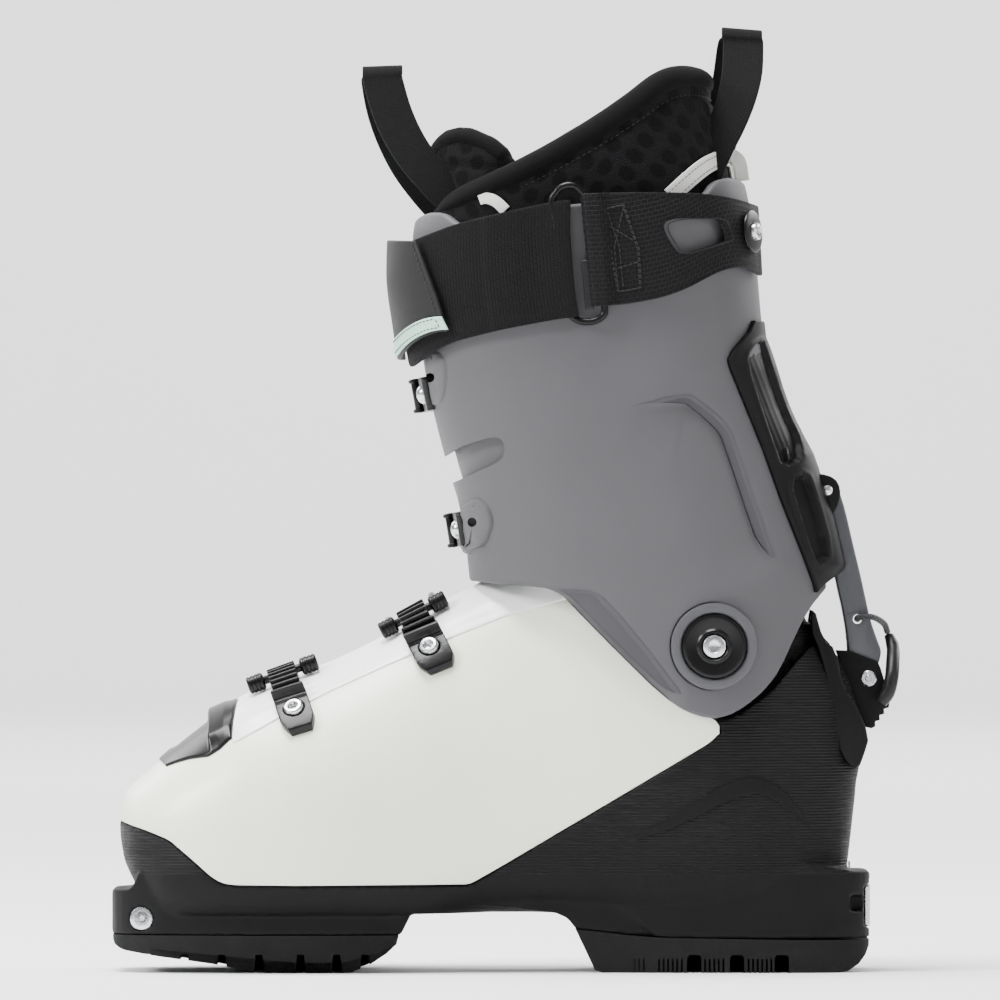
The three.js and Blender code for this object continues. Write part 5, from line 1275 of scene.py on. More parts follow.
SLOT = chaikin([[-34.2, 183.0], [-15.8, 193.7], [-12.8, 195.7], [-7.9, 197.8], [0.4, 200.2], [3.4, 199.7], [5.1, 197.2], [5.1, 193.9], [3.4, 191.2], [-0.4, 189.2], [-10.1, 184.8], [-34.2, 174.7]], 2)
def boss(name, outline, h):
    """Raised pad with a bevelled edge on the inner side of the cuff."""
    rings = []
    for g, o in ((0.9, -0.6), (0.35, h - 0.75), (0.0, h - 0.25), (-0.45, h), (-1.6, h), (-3.2, h)):
        q = grow(outline, g)
        rings.append(leg_side(q[:, 0], q[:, 1], -1, 0.0) + normal_of(leg_F, leg_side(q[:, 0], q[:, 1], -1, 0.0)) * o)
    return loft(name, rings, 40)


HEX_BOSS = np.array([[-10.5, 173.9], [-5.3, 177.0], [-1.1, 173.6], [0.6, 168.3], [-1.9, 160.4], [-9.0, 156.7], [-10.5, 159.7]])
UP_BOSS = np.array([[-24.0, 230.3], [-21.8, 232.6], [-18.0, 230.3], [-16.5, 224.7], [-17.3, 216.8], [-19.2, 212.6], [-22.9, 212.3]])
boolean(cuff, [boss("b", chaikin(HEX_BOSS, 1, w=0.16), 1.5), boss("b", chaikin(UP_BOSS, 1), 1.1)], "UNION")
boolean(cuff, [prism("c", SLOT, -70, 70)])
for s in (-1, 1):
    boolean(cuff, rod("c", [PIVOT[0], s * 46.2, PIVOT[1]], [PIVOT[0], s * 62, PIVOT[1]], 16.75, 96, 0))
    boolean(cuff, rod("c", [PIVOT[0], s * 38, PIVOT[1]], [PIVOT[0], s * 62, PIVOT[1]], 4.6, 40, 0))
holes = [rod("c", [-7.1, -62, 168.3], [-7.1, -20, 168.3], 1.75, 24, 0), rod("c", [-22.9, -62, 222.4], [-22.9, -2, 222.4], 1.75, 24, 0)]
boolean(cuff, holes)
# the inner flap seen through the slot
extra = []
_ui = np.linspace(U_OF_T(math.pi - 1.22), U_OF_T(math.pi + 1.22), 5)
extra.append(skin("flap_in", lambda u, v: leg_pt(177 + 40 * v, T_OF_U(_ui[0] + (_ui[-1] - _ui[0]) * u), -3.2, -1.1), 70, 16, 1.2, 0.5))
# turned ring round each hinge
pivot_rings = []
for s in (-1, 1):
    prof = [(12.35, 0), (16.15, 0), (16.15, 2.5), (15.95, 2.85), (15.5, 3.0), (13.1, 3.25), (12.65, 3.1), (12.35, 2.7), (12.35, 0)]
    pivot_rings.append(turned("pivot_ring_" + ("medial" if s < 0 else "lateral"), prof, [PIVOT[0], s * 46.1, PIVOT[1]], [0, s, 0], 96, 35))
    extra.append(turned("seat", [(4.7, 0), (16.3, 0), (16.3, 0.7), (4.7, 0.7), (4.7, 0)], [PIVOT[0], s * 45.6, PIVOT[1]], [0, s, 0], 64, 35))
shade(cuff, 48)
cuff = join("cuff_shell", [cuff, *extra])

discs, piv_screws = {}, {}
for s, tag in ((-1, "medial"), (1, "lateral")):
    prof = [(4.95, 0), (4.95, 2.75), (5.3, 3.05), (5.9, 3.0), (6.6, 2.45), (8.2, 2.7), (10.4, 3.1), (11.2, 3.1), (11.7, 2.9), (11.9, 2.4), (11.9, 0), (4.95, 0)]
    discs[tag] = turned("pivot_cap_" + tag, prof, [PIVOT[0], s * 47.3, PIVOT[1]], [0, s, 0], 96, 30)
    prof = [(0, 1.7), (0.5, 1.7), (2.0, 1.9), (2.15, 2.0), (2.2, 4.7), (2.55, 5.05), (3.7, 5.0), (4.15, 4.75), (4.35, 4.3), (4.35, 0), (0, 0)]
    sc = turned("pivot_screw_head_" + tag, prof, [PIVOT[0], s * 45.5, PIVOT[1]], [0, s, 0], 48, 30)
    piv_screws[tag] = sc

# ================================================================ spine cover
SPINE = np.array([[98.1, 244.6], [100.7, 243.8], [102.6, 241.2], [104.4, 234.8], [107.5, 225.4], [112.3, 209.6], [118.0, 198.7], [121.7, 191.6], [123.2, 186.3], [129.6, 184.8], [131.9, 178.1], [130.4, 169.1], [133.4, 151.8], [127.0, 146.5], [121.0, 141.6],
         [119.1, 147.7], [116.1, 155.9], [107.8, 176.6], [101.1, 195.4], [93.5, 214.1], [88.3, 226.9], [87.9, 229.2], [89.0, 231.8], [95.4, 239.3]])
SPINE_EDGE = np.array([[z, x] for x, z in [[121.0, 141.3], [120.2, 145.0], [116.1, 155.9], [107.8, 176.6], [101.1, 195.4], [93.5, 214.1], [88.7, 225.8], [87.9, 228.8], [89.4, 232.2], [95.4, 239.3], [97.3, 243.5]]])
SPINE_REAR = np.array([[z, x] for x, z in [[129.6, 142.8], [133.4, 151.4], [131.1, 161.6], [128.9, 170.9], [125.9, 179.6], [123.6, 186.3], [121.7, 191.6], [118.0, 198.7], [115.0, 204.4], [112.3, 210.4], [109.7, 217.9], [107.5, 225.8], [104.4, 234.8], [101.8, 242.0]]])
_sz = np.linspace(142.8, 243.8, 200)


def spine_surface(u, v):
    """u runs from the inner edge round the back to the outer edge, v up."""
    zlo = np.interp(np.abs(2 * u - 1), [0, 0.3, 0.75, 1], [148.8, 148.8, 144.6, 142.0])
    zhi = 243.6 + 0 * zlo
    z = zlo + (zhi - zlo) * v
    q = LT(z); xf, xb, w = q[..., 0], q[..., 1], q[..., 2]
    edge = np.interp(z, SPINE_EDGE[::1, 0], SPINE_EDGE[::1, 1])
    rear = np.interp(z, SPINE_REAR[:, 0], SPINE_REAR[:, 1])
    c, a = (xf + xb) / 2, (xb - xf) / 2
    k = np.clip((edge - c) / a, 0.05, 0.995)
    te = np.arccos(np.clip(k, 0, 1) ** (LEG_N / 2))
    s = 2 * u - 1
    t = te * np.sign(s) * np.abs(s) ** 1.0
    bulge = np.clip(rear - xb, 1.2, 9)
    off = 2.0 + (bulge - 2.0) * smooth_step(1.0, 0.25, np.abs(s))
    p = leg_pt(z, t, 0)
    n = normal_of(leg_F, p)
    return p + n * off[..., None]


WIN1 = chaikin([[96.2, 228.4], [97.7, 232.9], [101.8, 236.7], [103.7, 232.2], [105.9, 224.7], [110.8, 210.4], [115.7, 200.2], [116.5, 190.9], [109.0, 189.7], [107.1, 195.4], [102.9, 207.4]], 1)
WIN2 = chaikin([[112.3, 184.5], [118.3, 186.3], [120.2, 181.1], [127.0, 156.7], [123.2, 153.3], [121.4, 154.8], [116.1, 170.9]], 1)


def spine_disp(P, U, V):
    x, y, z = P[..., 0], P[..., 1], P[..., 2]
    d1, d2 = sdf(WIN1, x, z), sdf(WIN2, x, z)
    d = np.minimum(d1, d2)
    deep = -2.3 * smooth_step(0.35, -0.35, d)
    lip = 0.3 * np.exp(-((d - 1.2) / 0.7) ** 2)
    ribs = 0.1 * np.sin(2 * math.pi * (x * 0.93 + z * 0.36) / 2.0) * smooth_step(-0.8, -1.4, d1) * (0.5 + 0.5 * np.sin(2 * math.pi * z / 1.7))
    return deep + lip + ribs


_su = np.array(_sz)
spine = skin("spine_cover_shell", spine_surface, 140, 110, 3.2, 0.7, disp=spine_disp)
shade(spine, 32)
boolean(spine, [box("c", 118, 170, -8.1, 8.1, 118, ARM_PIN[1] + 7.6)])
# cheeks beside the lever and the slider wedge in the upper window
cheek = []
CHEEK = chaikin([[120.6, 185.6], [123.2, 186.7], [128.9, 185.0], [131.1, 181.1], [130.7, 175.5], [128.1, 170.6], [124.4, 169.1], [120.6, 174.7]], 1)
for s in (-1, 1):
    c = prism("cheek", CHEEK, s * 10.6 - 2.4, s * 10.6 + 2.4, 0.7)
    cheek.append(c)
WEDGE = np.array([[109.7, 206.6], [111.6, 206.6], [115.0, 199.1], [115.9, 191.2], [108.6, 190.7], [108.2, 194.6]])
for s in (-1, 1):
    p = leg_side(WEDGE[:, 0], WEDGE[:, 1], s, 0.0)
    n = normal_of(leg_F, p)
    k = np.array([0.6, 0.6, 2.4, 2.9, 3.2, 2.9])[:, None]
    V = np.concatenate([p + n * k, p - n * 0.6])
    F = [[0, 1, 2, 3, 4, 5], [11, 10, 9, 8, 7, 6]] + [[i, i + 6, (i + 1) % 6 + 6, (i + 1) % 6] for i in range(6)]
    w = mesh("wedge", V, F); b = w.modifiers.new("b", "BEVEL"); b.width = 0.0006; b.segments = 3; applied(w)
    cheek.append(shade(w, 40))
shade(spine, 32)
spine = join("spine_cover_shell", [spine, *cheek])
arm_pin = join("arm_pin_steel", [turned("ap", [(0, 0), (1.2, 0.15), (2.2, 0.7), (2.65, 1.5), (2.65, 2.2), (2.35, 2.5), (2.35, 24.5), (2.65, 24.8), (2.65, 25.5), (2.2, 26.3), (1.2, 26.85), (0, 27)], [ARM_PIN[0], -13.5, ARM_PIN[1]], [0, 1, 0], 40, 30)])

# ================================================================ walk lever
ARM = chaikin([[124.7, 182.6], [127.0, 184.1], [129.6, 183.3], [131.5, 177.7], [133.0, 172.8], [136.0, 159.7], [139.0, 147.3], [141.3, 136.4], [142.4, 131.5], [145.0, 124.0], [146.5, 120.2], [146.1, 117.2], [145.0, 114.2], [137.9, 114.2], [134.1, 115.7], [133.4, 126.2], [131.9, 135.3], [129.6, 145.0], [127.0, 161.6], [125.1, 177.3], [124.0, 180.3]], 1)
arm = prism("walk_arm_plate", ARM, -7.3, 7.3, 0.8)
boolean(arm, [box("c", 133.4, 143.9, -4.6, 4.6, 124.0, 139.0), rod("c", [ARM_PIN[0], -20, ARM_PIN[1]], [ARM_PIN[0], 20, ARM_PIN[1]], 2.8, 40, 0), rod("c", [137.7, -20, 131.9], [137.7, 20, 131.9], 1.9, 32, 0)])
for s in (-1, 1):   # a long pressed groove on each side
    boolean(arm, prism("c", [[130.4, 133.5], [142.4, 136.1], [142.5, 135.6], [130.5, 133.0]], s * 7.6 - 0.7, s * 7.6 + 0.7))
shade(arm, 35)
BLOCK = [[129.6, 120.2], [134.1, 120.0], [141.6, 117.2], [145.0, 116.1], [146.1, 113.8], [149.7, 102.2], [149.5, 100.3]]
_a, _b = np.array([149.5, 100.3]), np.array([142.8, 90.9])
teeth = [(_a + (_b - _a) * i / 8 + (np.array([0.55, -0.4]) if i % 2 else np.array([-0.35, 0.25]))).tolist() for i in range(1, 8)] + [_b.tolist(), [140.9, 91.3], [135.6, 101.4]]
block = prism("latch_block_body", BLOCK + teeth, -9.5, 9.5, 0.4)
boolean(block, [rod("c", [LATCH_PIN[0], -20, LATCH_PIN[1]], [LATCH_PIN[0], 20, LATCH_PIN[1]], 3.0, 40, 0)])
shade(block, 35)
latch_pin = turned("latch_pin_steel", [(0, 0), (1.0, 0), (1.3, 0.35), (2.5, 0.35), (2.95, 0.8), (2.95, 1.6), (2.7, 1.9), (2.7, 20.1), (2.95, 20.4), (2.95, 21.2), (2.5, 21.65), (1.3, 21.65), (1.0, 22), (0, 22)], [LATCH_PIN[0], -11.0, LATCH_PIN[1]], [0, 1, 0], 40, 30)

# ================================================================ buckles
def unit(v):
    return v / np.linalg.norm(v)


class Buckle:
    def __init__(b, F, C, a, depth, bT, bH, length=33.0, cap=13.8, tip=9.3):
        b.F = F
        b.A = unit(np.array(a, float)); b.E2 = np.array([0, 1.0, 0]); b.E1 = unit(np.cross(b.A, b.E2))
        b.O = np.array([C[0], 0, C[1]]) - b.E1 * depth
        b.bT, b.bH, b.cap, b.tip = bT, bH, cap, tip
        b.H = b.at(bH, 0, 5.7)
        bs = np.arange(bH, bH + 60, 0.25)
        p = b.at(bs, 0, 6.0)
        b.bB = bs[np.argmax(np.linalg.norm(p - b.H, axis=1) >= 13)]
        b.B = b.at(b.bB, 0, 6.0)
        bs = np.arange(b.bB, b.bB + 90, 0.25)
        p = b.at(bs, 0, 6.0)
        b.bE = bs[np.argmax(np.linalg.norm(p - b.B, axis=1) >= length)]
        b.T = b.at(bT, 0, 4.6)

    def at(b, beta, s, off):
        beta, s, off = np.broadcast_arrays(np.asarray(beta, float), np.asarray(s, float), np.asarray(off, float))
        d = b.E1 * np.cos(beta * D2R)[..., None] + b.E2 * np.sin(beta * D2R)[..., None]
        o = b.O + b.A * s[..., None]
        lo, hi = np.full(beta.shape, 5.0), np.full(beta.shape, 130.0)
        for _ in range(34):
            m = (lo + hi) / 2
            p = o + d * m[..., None]
            ins = b.F(p[..., 0], p[..., 1], p[..., 2]) < 1
            lo, hi = np.where(ins, m, lo), np.where(ins, hi, m)
        p = o + d * lo[..., None]
        n = normal_of(b.F, p)
        n = n - b.A * (n @ b.A)[..., None]
        n /= np.linalg.norm(n, axis=-1, keepdims=True)
        return p + n * off[..., None]

    def strip(b, name, b0, b1, n, hw, lo, hi, sh=0.0, across=4):
        """Solid that follows the shell from angle b0 to b1."""
        t = np.linspace(0, 1, n + 1)
        f = lambda g: np.array([g(x) for x in t]) if callable(g) else np.full(n + 1, float(g))
        w, l, h = f(hw), f(lo), f(hi)
        beta = b0 + (b1 - b0) * t
        k = np.linspace(-1, 1, across + 1)
        top = b.at(beta[:, None], sh + k[None] * w[:, None], h[:, None] + 0 * k[None])
        bot = b.at(beta[:, None], sh + k[None, ::-1] * w[:, None], l[:, None] + 0 * k[None])
        return loft(name, np.concatenate([top, bot], 1))

    def rodA(b, name, P, s0, s1, r, n=32, bevel=0.25):
        return rod(name, P + b.A * s0, P + b.A * s1, r, n, bevel)


def arc_beta(b, b0, dist, step=-0.25):
    P0 = b.at(b0, 0, 0)
    bs = b0 + np.arange(0, 320) * step
    p = b.at(bs, 0, 0)
    return bs[np.argmax(np.linalg.norm(p - P0, axis=1) >= dist)]


def make_buckle(b, name):
    base = b.strip("b", b.bH - 9, b.bH + 11, 10, lambda t: 6.6 - 1.6 * max(0, (t - 0.75) / 0.25) ** 2, -0.3, 2.0)
    boolean(base, [b.strip("k", b.bH - 3.6, b.bH + 3.6, 4, 3.4, 0.8, 5.4), b.rodA("k", b.H, -3.4, 3.4, 3.3, 32, 0)], "UNION")
    boolean(base, [b.rodA("k", b.H, -9, -3.55, 3.6, 32, 0), b.rodA("k", b.H, 3.55, 9, 3.6, 32, 0)])
    remesh(base, 0.45, 3, 0.5, 7000)
    riv = b.at(b.bH + 7.6, 0, 0); nrm = unit(b.at(b.bH + 7.6, 0, 1) - riv)
    base = join(name + "_hinge_plate", [base, turned("r", [(0, 1.5), (0, 3.2), (0.9, 3.1), (1.7, 2.7), (2.0, 2.1), (2.0, 1.5), (0, 1.5)], riv, nrm, 24, 35)])
    def wid(t):
        return 6.9 if t < 0.42 else 6.9 + 3.6 * min(1, (t - 0.42) / 0.25) - 1.5 * max(0, (t - 0.9) / 0.1) ** 2
    lev = b.strip("l", b.bH - 1, b.bE, 36, wid, lambda t: 4.2 + (1.4 * max(0, (t - 0.86) / 0.14)), lambda t: 8.3 - 0.9 * t + 0.5 * math.sin(t * math.pi) + (1.4 * max(0, (t - 0.86) / 0.14)), across=6)
    boolean(lev, b.rodA("k", b.H, -6.9, 6.9, 3.2, 32, 0), "UNION")
    cuts = [b.rodA("k", b.H, -3.9, 3.9, 4.3, 32, 0), b.strip("k", b.bH - 8, b.bH + 8, 4, 3.9, -1, 6.3)]
    # window and grip scallops on the top of the lever
    span = b.bE - b.bH
    cuts.append(b.strip("k", b.bH + span * 0.46, b.bH + span * 0.66, 8, 4.0, 3.0, 12))
    for f in (0.76, 0.82, 0.88):
        cuts.append(b.strip("k", b.bH + span * f, b.bH + span * (f + 0.025), 2, 7.0, 7.35, 12))
    cuts += [b.rodA("k", b.B, -9, -4.2, 1.75, 20, 0), b.rodA("k", b.B, 4.2, 9, 1.75, 20, 0)]
    boolean(lev, cuts)
    remesh(lev, 0.45, 3, 0.5, 10000)
    lev = join(name + "_lever_arm", [lev, b.rodA("p", b.H, -6.95, 6.95, 1.35, 20)])
    wires = []
    for s in (-9.3, 9.3):
        beta = b.bB + (b.bT - b.bB) * np.arange(1, 12) / 12
        off = 4.9 + smooth_step(0.45, 0.0, np.arange(1, 12) / 12) * 1.1
        tip = math.copysign(b.tip, s)
        path = np.vstack([b.B + b.A * s, b.at(beta, s + (tip - s) * smooth_step(0.15 if b.tip < 9 else 0.55, 0.6 if b.tip < 9 else 1.0, np.arange(1, 12) / 12), off), b.T + b.A * tip])
        wires.append(tube("w", path, 1.35, 14, 50))
    for s in (-1, 1):
        wires.append(rod("w", b.B + b.A * s * 4.6, b.B + b.A * s * 10.55, 1.35, 20, 0.4))
    wires.append(b.rodA("w", b.T, -b.cap + 1, b.cap - 1, 1.6, 24))
    # threaded tuner on both wires
    for s in (-9.3, 9.3):
        beta = b.bB + (b.bT - b.bB) * np.linspace(0.30, 0.42, 5)
        wires.append(tube("w", b.at(beta, s, 5.3), 2.1, 10, 24))
    bail = join(name + "_bail_wire", wires)
    caps = []
    for s in (-1, 1):
        if b.cap < 9:
            caps.append(turned("cap", [(0, 0), (1.9, 0), (2.4, 0.4), (2.4, 1.2), (1.9, 1.6), (0, 1.6)], b.T + b.A * s * (b.cap - 1.4), b.A * s, 32, 30))
            continue
        L = b.cap - 7.2
        prof = [(0, 0), (2.2, 0), (2.9, 0.25), (3.3, 0.8), (3.3, 1.5), (3.05, 1.7), (3.05, 2.1), (3.3, 2.3)]
        h = 2.3
        while h + 1.6 < L - 0.6:
            prof += [(3.3, h + 0.9), (3.05, h + 1.05), (3.05, h + 1.35), (3.3, h + 1.5)]; h += 1.5
        prof += [(3.3, L - 0.7), (2.9, L - 0.15), (2.3, L), (1.2, L), (0.9, L - 0.3), (0, L - 0.3)]
        caps.append(turned("cap", prof, b.T + b.A * s * 7.2, b.A * s, 40, 30))
    return base, lev, bail, join(name + "_bail_caps", caps)


def beta_near(b, xz, off=3.0):
    """Angle whose point lies nearest to x, z as seen from the side."""
    bs = np.arange(-100, 4, 0.25)
    p = b.at(bs, 0, off)
    return bs[np.argmin(np.hypot(p[:, 0] - xz[0], p[:, 2] - xz[1]))]


def make_rack(b, name, bT, screw, end, hw):
    b1, b0, sb = beta_near(b, end, 1.5), arc_beta(b, bT, 6.5, 0.25), beta_near(b, screw)
    bs = np.linspace(b0, b1, 200)
    p = b.at(bs, 0, 0)
    s = np.concatenate([[0], np.cumsum(np.linalg.norm(np.diff(p, axis=0), axis=1))])
    L, us = s[-1], np.interp(sb, bs[::-1], s[::-1])
    xs, ys = [0, 0.5], [2.6, 4.0]
    k = 1.0
    while k + 3.4 < us - 3.6:
        xs += [k, k + 0.5, k + 1.9, k + 2.5, k + 3.2]; ys += [4.2, 7.0, 7.2, 4.0, 3.2]; k += 3.5
    xs += [k + 0.4, us - 3.4, L - 1.2, L]; ys += [4.4, 3.4, 3.2, 1.4]
    def teeth(t):
        return float(np.interp(np.interp(b0 + (b1 - b0) * t, bs[::-1], s[::-1]), xs, ys))
    rack = b.strip("r", b0, b1, 150, hw, -0.3, teeth, across=8)
    S = b.at(sb, 0, 0); N = unit(b.at(sb, 0, 1) - S)
    boolean(rack, rod("k", S + N * 1.4, S + N * 9, 4.05, 48, 0))
    remesh(rack, 0.34, 1, 0.5, 13000)
    rack.name = name + "_body"
    prof = [(0, 2.4), (0.6, 2.4), (1.7, 2.6), (1.85, 2.8), (1.9, 4.4), (2.2, 4.75), (3.0, 4.7), (3.5, 4.35), (3.75, 3.8), (3.75, 1.6), (0, 1.6)]
    return rack, turned(name + "_screw_head", prof, S, N, 40, 30)


def make_catch(b, name, bC):
    c = b.strip("c", bC - 7, 9.5, 44, lambda t: 6.5 - 1.6 * max(0, (0.12 - t) / 0.12) ** 2 - 1.4 * max(0, (t - 0.9) / 0.1) ** 2, -0.3, lambda t: float(np.interp(t, [0, 0.04, 0.5, 0.56, 0.86, 0.92, 1.0], [1.6, 3.0, 3.2, 2.6, 2.6, 6.0, 5.9])), across=6)
    S = b.at(bC, 0, 0); N = unit(b.at(bC, 0, 1) - S)
    boolean(c, rod("k", S + N * 1.2, S + N * 9, 4.0, 40, 0))
    remesh(c, 0.38, 2, 0.5, 8000)
    c.name = name + "_plate"
    dome = turned(name + "_rivet_dome", [(0, 1.3), (3.7, 1.3), (3.75, 2.0), (3.55, 3.1), (3.0, 4.0), (2.1, 4.7), (1.0, 5.05), (0, 5.1)], S, N, 48, 60)
    return c, dome


TB = Buckle(foot_F, [-76.3, 106.7], [0.94, 0, 0.34], 46, -20, 60)
IB = Buckle(foot_F, [-28.0, 131.5], [0.888, 0, 0.46], 48, -19, 56)
LB = Buckle(leg_F, [-11.6, 165.7], [-0.15, 0, 0.989], 50, 1, 50, cap=6.2, tip=5.2)
UB = Buckle(leg_F, [-24.0, 216.4], [-0.17, 0, 0.985], 52, 1, 48, cap=6.2, tip=5.2)
buckles = {n: make_buckle(b, n) for n, b in (("toe_buckle", TB), ("instep_buckle", IB), ("lower_cuff_buckle", LB), ("upper_cuff_buckle", UB))}
toe_rack = make_rack(TB, "toe_rack", -20, [-74.2, 98.8], [-71.8, 89.8], lambda t: 5.4 + 1.0 * float(smooth_step(0.5, 0.6, t)) - 2.4 * max(0, (t - 0.86) / 0.14) ** 1.3)
instep_rack = make_rack(IB, "instep_rack", -19, [-22.5, 122.1], [-19.2, 112.7], lambda t: 5.6 + 1.4 * float(smooth_step(0.4, 0.5, t)) - 2.6 * max(0, (t - 0.86) / 0.14) ** 1.3)
lower_catch = make_catch(LB, "lower_catch", -10)
upper_catch = make_catch(UB, "upper_catch", -10)


# ================================================================ padded liner above the foot
LINER_TOP = chaikin([[-19.9, 288.2], [-18.0, 290.8], [-7.9, 295.3], [14.7, 305.4], [35.3, 316.7], [52.2, 327.2], [58.2, 331.7], [64.2, 336.3], [69.9, 338.5], [75.5, 338.7], [80.8, 337.8], [84.5, 335.1], [95.4, 329.9], [104.8, 326.9], [153.7, 289.3], [153.7, 154.0], [-34.2, 154.0], [-34.2, 278.0]], 1)
LIN_OFF = -WALL - GAP
_keep = np.array([[-40, 178], [10, 178], [28, 182], [60, 203], [110, 206], [140, 206], [140, 400], [-40, 400]])
_t0 = math.pi - 0.196
_u0, _u1 = U_OF_T(-_t0 + 2 * math.pi), U_OF_T(_t0)      # inner side of the slit, outer side of the slit
# u runs from the slit on the outer side round the back to the slit on the inner side
_lu = np.linspace(0, 1, 321)
_lt = np.interp(_lu, [0, 1], [_u1, _u0 - 1.0])
lin_t = lambda u: T_OF_U(np.mod(np.interp(u, [0, 1], [_u1, _u0 - 1.0]), 1.0))
_tt = lin_t(_lu)
_zz = np.arange(170, 345, 0.25)
_P = leg_pt(_zz[None], _tt[:, None], LIN_OFF)
_in = pip(LINER_TOP, _P[..., 0], _P[..., 2]) & pip(_keep, _P[..., 0], _P[..., 2])
_llo = _zz[_in.argmax(1)]; _lhi = _zz[len(_zz) - 1 - _in[:, ::-1].argmax(1)]
for a in (_llo, _lhi):
    a[:] = np.convolve(np.pad(a, 7, "edge"), np.hanning(15) / np.hanning(15).sum(), "valid")
_lhi = np.minimum(_lhi, 341.0)


def liner_surface(u, v):
    lo, hi = np.interp(u, _lu, _llo), np.interp(u, _lu, _lhi)
    return leg_pt(lo + (hi - lo) * v, lin_t(u), LIN_OFF)


def liner_puff(P, U, V):
    hi = np.interp(U, _lu, _lhi)
    free = smooth_step(286, 300, P[..., 2])
    top = hi - P[..., 2]
    welt = -1.0 * np.exp(-((top - 11) / 1.4) ** 2)
    return free * (welt + 0.35 * grid_noise(P, 5, 14.0)) - 0.15 * (1 - free)


def liner_puff_in(P, U, V):
    hi = np.interp(U, _lu, _lhi)
    top = hi - P[..., 2]
    quilt = -0.9 * np.exp(-((top - 12) / 1.8) ** 2) - 0.7 * np.exp(-((top - 62) / 2.0) ** 2)
    return quilt + 0.5 * grid_noise(P, 9, 18.0)


liner = skin("liner_cuff_pad", liner_surface, 190, 80, 7.4, 3.6, disp=liner_puff, inner_disp=liner_puff_in)

# rolled edge, trim and labels: bands that follow the top of the liner
def liner_band(name, u0, u1, d0, d1, off, th, nu=160, nv=10, r=0.3, wob=None):
    """Band from d0 to d1 below the liner's top edge between u0 and u1."""
    def S(u, v):
        uu = u0 + (u1 - u0) * u
        hi = np.interp(uu, _lu, _lhi)
        a = d1 if not callable(d1) else d1(u)
        b = d0 if not callable(d0) else d0(u)
        return leg_pt(hi - (a + (b - a) * v), lin_t(uu), LIN_OFF + off)
    return skin(name, S, nu, nv, th, r)


top_line = leg_pt(_lhi - 4.4, _tt, LIN_OFF - 3.2)
roll_path = resample(top_line, 3.0)
roll = tube("liner_roll", roll_path, 4.9, 22, 260, r_fn=lambda s: np.minimum(1, 0.55 + 6 * np.minimum(s, 1 - s)), smooth_path=True)
stitch = []


def stitches(name, pts, n_out, pitch=2.6, length=1.7, r=0.22, lift=0.12):
    """Thread pieces along a line; n_out gives the outward direction at each point."""
    p = resample(pts, 0.4)
    nn = np.stack([np.interp(np.linspace(0, 1, len(p)), np.linspace(0, 1, len(n_out)), n_out[:, k]) for k in range(3)], 1)
    nn /= np.linalg.norm(nn, axis=1, keepdims=True)
    s = np.concatenate([[0], np.cumsum(np.linalg.norm(np.diff(p, axis=0), axis=1))])
    V, F, k = [], [], 0
    a = 0.0
    while a + length < s[-1]:
        q = [np.array([np.interp(a + length * f, s, p[:, c]) for c in range(3)]) for f in (0, 0.25, 0.5, 0.75, 1)]
        m = np.array([np.interp(a + length / 2, s, nn[:, c]) for c in range(3)]); m /= np.linalg.norm(m)
        d = unit(q[-1] - q[0]); w = np.cross(d, m)
        for j, (f, rr) in enumerate(zip((-0.6, 0.55, 0.9, 0.55, -0.6), (0.7, 1, 1, 1, 0.7))):
            c = q[j] + m * (lift + r * f)
            for g in range(6):
                an = g / 6 * 2 * math.pi
                V.append(c + (w * math.cos(an) + m * math.sin(an)) * r * rr)
        for j in range(4):
            for g in range(6):
                F.append([k + j * 6 + g, k + j * 6 + (g + 1) % 6, k + (j + 1) * 6 + (g + 1) % 6, k + (j + 1) * 6 + g])
        F.append([k + g for g in range(6)][::-1]); F.append([k + 24 + g for g in range(6)])
        k += 30; a += pitch
    return mesh(name, np.array(V), F)


def on_liner(x, z, off=0.0, side=-1):
    p = leg_side(np.asarray(x, float), np.asarray(z, float), side, LIN_OFF)
    n = normal_of(leg_F, p)
    return p + n * off, n


def strip_on(fn, name, line, width, th, off, nu=60, nv=8, r=0.3, side=-1, **k):
    """Ribbon of a width that follows a line in x, z on a surface given by fn(x, z, off, side)."""
    l = resample(chaikin(line, 2, False), 0.8)
    d = np.gradient(l, axis=0); d /= np.linalg.norm(d, axis=1, keepdims=True)
    nn = np.stack([-d[:, 1], d[:, 0]], 1)
    s = np.linspace(0, 1, len(l))
    def S(u, v):
        x = np.interp(u, s, l[:, 0]) + np.interp(u, s, nn[:, 0]) * width * (v - 0.5)
        z = np.interp(u, s, l[:, 1]) + np.interp(u, s, nn[:, 1]) * width * (v - 0.5)
        return fn(x, z, off, side)[0]
    return skin(name, S, nu, nv, th, r, flip=side > 0, **k)


